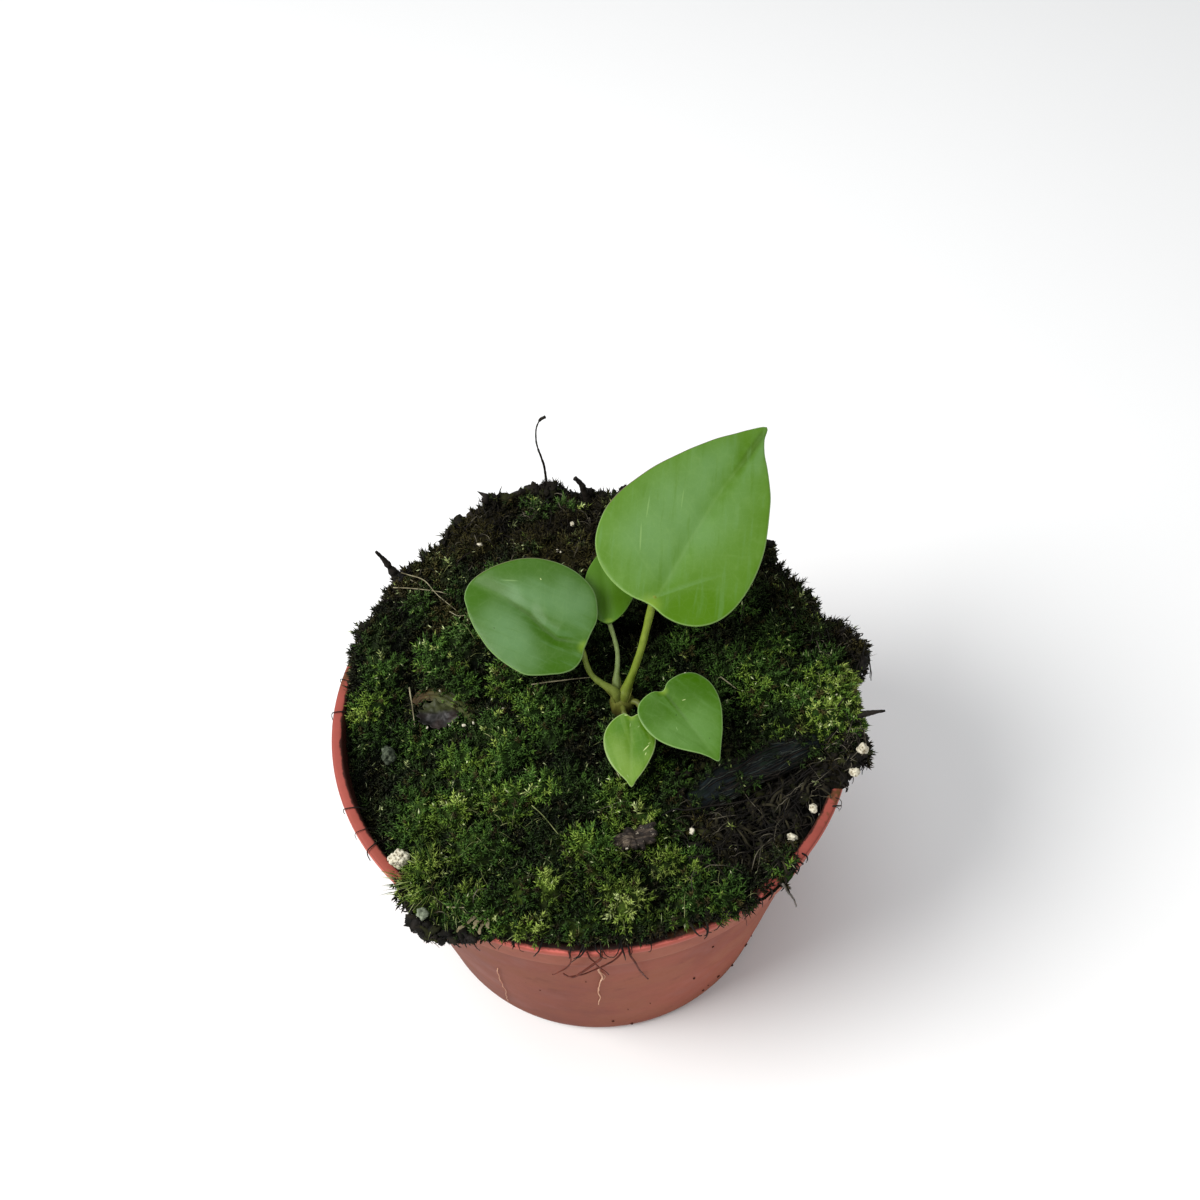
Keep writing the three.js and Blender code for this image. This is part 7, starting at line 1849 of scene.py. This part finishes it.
def fallen_material():
    k = Look("fallen_leaf", 0.6, 0.4)
    broad = k.noise(3.2, 3)
    grain = k.noise(1.0, 3, 0.6, k.stretched(k.place(), (700, 300, 300)))
    colour = k.ramp(broad, [(0.35, lin(14, 10, 8)), (0.55, lin(32, 20, 17)), (0.72, lin(36, 30, 15))])
    colour = k.mix(k.fade(k.split(k.place())[1], -0.0006, 0.0008), colour, lin(44, 48, 15))
    colour = k.mix(1.0, colour, k.ramp(grain, [(0.3, 0.6), (0.7, 1.25)]), "MULTIPLY")
    return k.done(colour, k.fade(grain, 0.3, 0.7, 0.5, 0.75), k.bump(grain, 0.5, 0.2))


plate("bark_chip", [[1.6, -28.2], [4.4, -26.0], [8.4, -25.4], [9.0, -27.7], [4.9, -29.6]], 63.8, 1.5, bark_material(), 5, rough=1.3, jag=0.7)
plate("fallen_leaf_piece", [[-29.6, 0.1], [-27.6, 2.5], [-24.2, 2.3], [-22.4, -1.0], [-25.1, -3.0], [-28.7, -2.3]], 61.9, 0.3, fallen_material(), 9, curl=0.5, rough=0.8, jag=0.5)

# ---------------------------------------------------------------- straws, stems and rootlets
STRAWS = [
    ("straw_back_left_long", [[-34.6, 25.4, 0.5], [-29.7, 24.0, 0.3], [-24.0, 22.1, 0.4]], 0.12, STRAW, "straw"),
    ("straw_back_left_arched", [[-33.2, 28.6, 0.4], [-31.3, 27.0, 1.3], [-28.6, 24.8, 1.9], [-25.4, 20.9, 0.9], [-23.0, 18.6, 0.2]], 0.095, STRAW, "straw"),
    ("straw_by_crown", [[-10.0, 2.6, 0.1], [-4.1, 3.0, 0.1], [0.8, 3.2, 0.1]], 0.125, STRAW, "straw"),
    ("straw_right", [[22.5, 1.0, 0.1], [25.2, -1.6, 0.1]], 0.12, STRAW, "straw"),
    ("straw_left_pale", [[-31.4, 5.0, 0.1], [-30.9, 1.7, 0.3], [-30.3, -2.6, 0.1]], 0.125, STRAW, "straw"),
    ("straw_front", [[-10.3, -21.2, 0.1], [-8.3, -23.7, 0.2], [-6.0, -27.4, 0.1]], 0.09, HAIR, "straw"),
    ("straw_front_left", [[-23.9, -37.1, 0.1], [-21.1, -37.9, 0.1]], 0.125, STRAW, "straw"),
    ("root_across_middle", [[10.2, -23.9, 0.2], [12.6, -22.6, 0.4], [14.5, -22.9, 1.2], [19.5, -21.6, 1.0], [24.7, -20.6, 0.8], [29.0, -19.6, 0.2]], 0.15, DARK, "dark_root"),
]
for q_, (name_, pts_, r_, mat_, slot_) in enumerate(STRAWS):
    lo_, hi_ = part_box(name_)
    line_ = [[x, y, max(bump_up(x, y) + 1.05, carpet_height(np.array([x]), np.array([y]))[0] + 0.25) + up_ + r_] for x, y, up_ in pts_]
    path_ = spline(line_, 26)
    path_ = path_ + noise(path_ + q_ * 9, 2.2, 31)[:, None] * np.array([0.08, 0.08, 0.05])
    rad_ = r_ * (1.0 - 0.35 * np.linspace(0, 1, 26)) * (1 + 0.12 * noise(path_, 0.8, 6))
    heap_ = Heap()
    heap_.add(*tubes(path_[None], rad_[None], 9, ref=(0.05, 0.03, 1.0)))
    piece(name_ + "_stem", heap_, [mat_], [name_])


def standing(name, points, radius, sides=9, steps=40, taper=lambda t: 1.15 - 0.55 * t, mat=DARK, wob=0.07, slot_name="dark_root", ref=(0.1, 1.0, 0.2)):
    path = spline(points, steps)
    path = path + noise(path + len(name) * 3.3, 1.8, 37)[:, None] * wob * np.array([1, 0.6, 0.4]) * np.linspace(0.2, 1, steps)[:, None]
    t = np.linspace(0, 1, steps)
    r = radius * taper(t) * (1 + 0.35 * noise(path, 0.7, 3, 2))
    heap = Heap()
    heap.add(*tubes(path[None], r[None], sides, ref=ref))
    return heap, name, mat, slot_name


def top_at(x, y):
    return max(bump_up(x, y), float(carpet_height(np.array([x]), np.array([y]))[0]) - 0.8)


heap_, *_rest = standing("dark_stem_back", [[-5.8, 46.3, top_at(-5.8, 46.2) - 0.8], [-6.0, 46.6, 73.4], [-6.4, 46.9, 75.6], [-6.8, 47, 77.6], [-7.1, 47, 80.1], [-6.9, 47, 83.1],
                         [-6.1, 47, 85.3], [-5.1, 47, 86.0]], 0.2, steps=60, taper=lambda t: np.where(t > 0.93, 1.45, 1.35 - 0.75 * t + 0.9 * np.clip(0.12 - t, 0, 1) * 8))
piece("dark_stem_back_stem", heap_, [DARK], ["dark_stem_back"])
heap_, *_rest = standing("twig_stub_back", [[1.9, 43.8, top_at(1.6, 44.0) - 0.6], [1.6, 44.2, top_at(1.6, 44.0) + 0.6], [0.9, 44.6, 70], [-0.4, 45, 71.8]], 0.58, taper=lambda t: 1.25 - 0.45 * t)
piece("twig_stub_back_stem", heap_, [DARK], ["twig_stub_back"])
heap_, *_rest = standing("twig_spike_left", [[-33.8, 28.8, top_at(-34.0, 28.8) - 0.4], [-34.6, 29.2, top_at(-34.6, 29.0) + 0.6], [-36.0, 29.8, 68.7], [-37.3, 30, 71.1]], 0.75, taper=lambda t: 1.3 - 0.95 * t)
piece("twig_spike_left_stem", heap_, [DARK], ["twig_spike_left"])
heap_, *_rest = standing("twig_right_edge", [[44.4, -7.8, top_at(44.6, -7.8) - 0.2], [45.4, -8.0, 66.0], [47.2, -8.2, 66.8], [49.0, -8.3, 67.2]], 0.62, taper=lambda t: 1.2 - 0.85 * t, ref=(0, 0, 1))
piece("twig_right_edge_stem", heap_, [DARK], ["twig_right_edge"])


def on_wall(deg, z, off, flat=False):
    a = math.radians(deg)
    low = 1.0 if flat else float(np.clip((54.0 - z) / 10.0, 0, 1))
    r = RIM_R + (outer_wall(z) - RIM_R) * low + off
    return [r * math.cos(a), r * math.sin(a), z]


def hanging(name, rows, radius, extra=(), mat=WALLROOT, flat=False):
    heap = Heap()
    for line, r in [(rows, radius)] + list(extra):
        pts = [on_wall(d, z, 0.12 + r + o, flat) for d, z, o in line]
        path = spline(pts, 34)
        path = path + noise(path * 1.0 + r * 99, 1.6, 19)[:, None] * np.array([0.16, 0.0, 0.05])
        t = np.linspace(0, 1, 34)
        heap.add(*tubes(path[None], (r * (1.1 - 0.6 * t) * (1 + 0.15 * noise(path, 0.8, 2)))[None], 8, ref=(0.1, -1.0, 0.1)))
    piece(name + "_strand", heap, [mat], [name])


hanging("hanging_root_front_long", [[-90.6, 61.6, -0.3], [-90.8, 60.4, 0.15], [-92, 58.6, 0.1], [-94.5, 55.4, 0.1], [-97, 51.0, 0.2], [-99.8, 44.2, 0.0]], 0.21,
        [([[-86.5, 61.6, -0.3], [-87.6, 60.2, 0.15], [-90, 57.6, 0.1], [-94.6, 53.6, 0.0], [-97.4, 49.0, 0.0]], 0.15), ([[-93.5, 61.6, -0.3], [-92.8, 60.0, 0.15], [-91.6, 57.4, 0.1], [-89.4, 53.0, 0.1]], 0.13), ([[-97.0, 61.6, -0.3], [-96.6, 60.2, 0.15], [-97.4, 57.0, 0.1], [-100.1, 53.5, 0.2], [-101.5, 48.5, 0.0]], 0.13)])
hanging("hanging_root_front_short", [[-85.2, 61.6, -0.3], [-85.2, 60.4, 0.15], [-84, 56.4, 0.1], [-82.6, 50.4, 0.2], [-79.8, 36.2, 0.0]], 0.17, [([[-61.0, 61.6, 0.3], [-61.0, 60.0, 0.5], [-60.6, 58.0, 0.4], [-60.0, 55.5, 0.3]], 0.1)])
hanging("hanging_root_front_right", [[-51.6, 61.9, 0.4], [-51.0, 60.2, 0.9], [-50.0, 57.6, 1.2], [-48.8, 54.4, 1.7], [-47.6, 51.0, 2.6]], 0.2, mat=GREY)
hanging("root_on_wall_front", [[-91.0, 51.0, 0.1], [-91.6, 46.6, 0.06], [-91.0, 42.2, 0.06], [-91.9, 37.0, 0.06], [-92.2, 32.9, 0.06]], 0.18,
        [([[-91.5, 45.4, 0.05], [-90.4, 42.4, 0.05], [-90.6, 40.0, 0.05]], 0.09), ([[-118.4, 34.0, 0.03], [-120.2, 24.0, 0.03], [-121.2, 15.0, 0.03], [-123.4, 5.0, 0.03]], 0.08)], TAN, flat=True)
# the thin end of that root, further down the wall
heap = Heap()
pts = [on_wall(d, z, 0.12, True) for d, z in ((-92.1, 34.0), (-92.3, 30.5), (-91.9, 27.0), (-92.4, 24.0), (-92.6, 21.5))]
heap.add(*tubes(spline(pts, 26)[None], np.linspace(0.14, 0.06, 26)[None], 7, ref=(0.2, 0.1, 0.95)))
piece("pale_root_end", heap, [TAN])

# ---------------------------------------------------------------- floor
floor_mesh = bpy.data.meshes.new("floor")
floor_mesh.from_pydata([(-4, -4, 0), (4, -4, 0), (4, 4, 0), (-4, 4, 0)], [], [(0, 1, 2, 3)])
floor = bpy.data.objects.new("floor", floor_mesh)
scene.collection.objects.link(floor)
kf = Look("pale_floor", 0.85, 0.1)
floor_mesh.materials.append(kf.done(kf.ramp(kf.noise(300, 2), [(0.3, (0.86, 0.86, 0.86)), (0.7, (0.88, 0.88, 0.88))])))

print("TRIANGLES", sum(TABLE.values()), max(TABLE.items(), key=lambda q: q[1]))
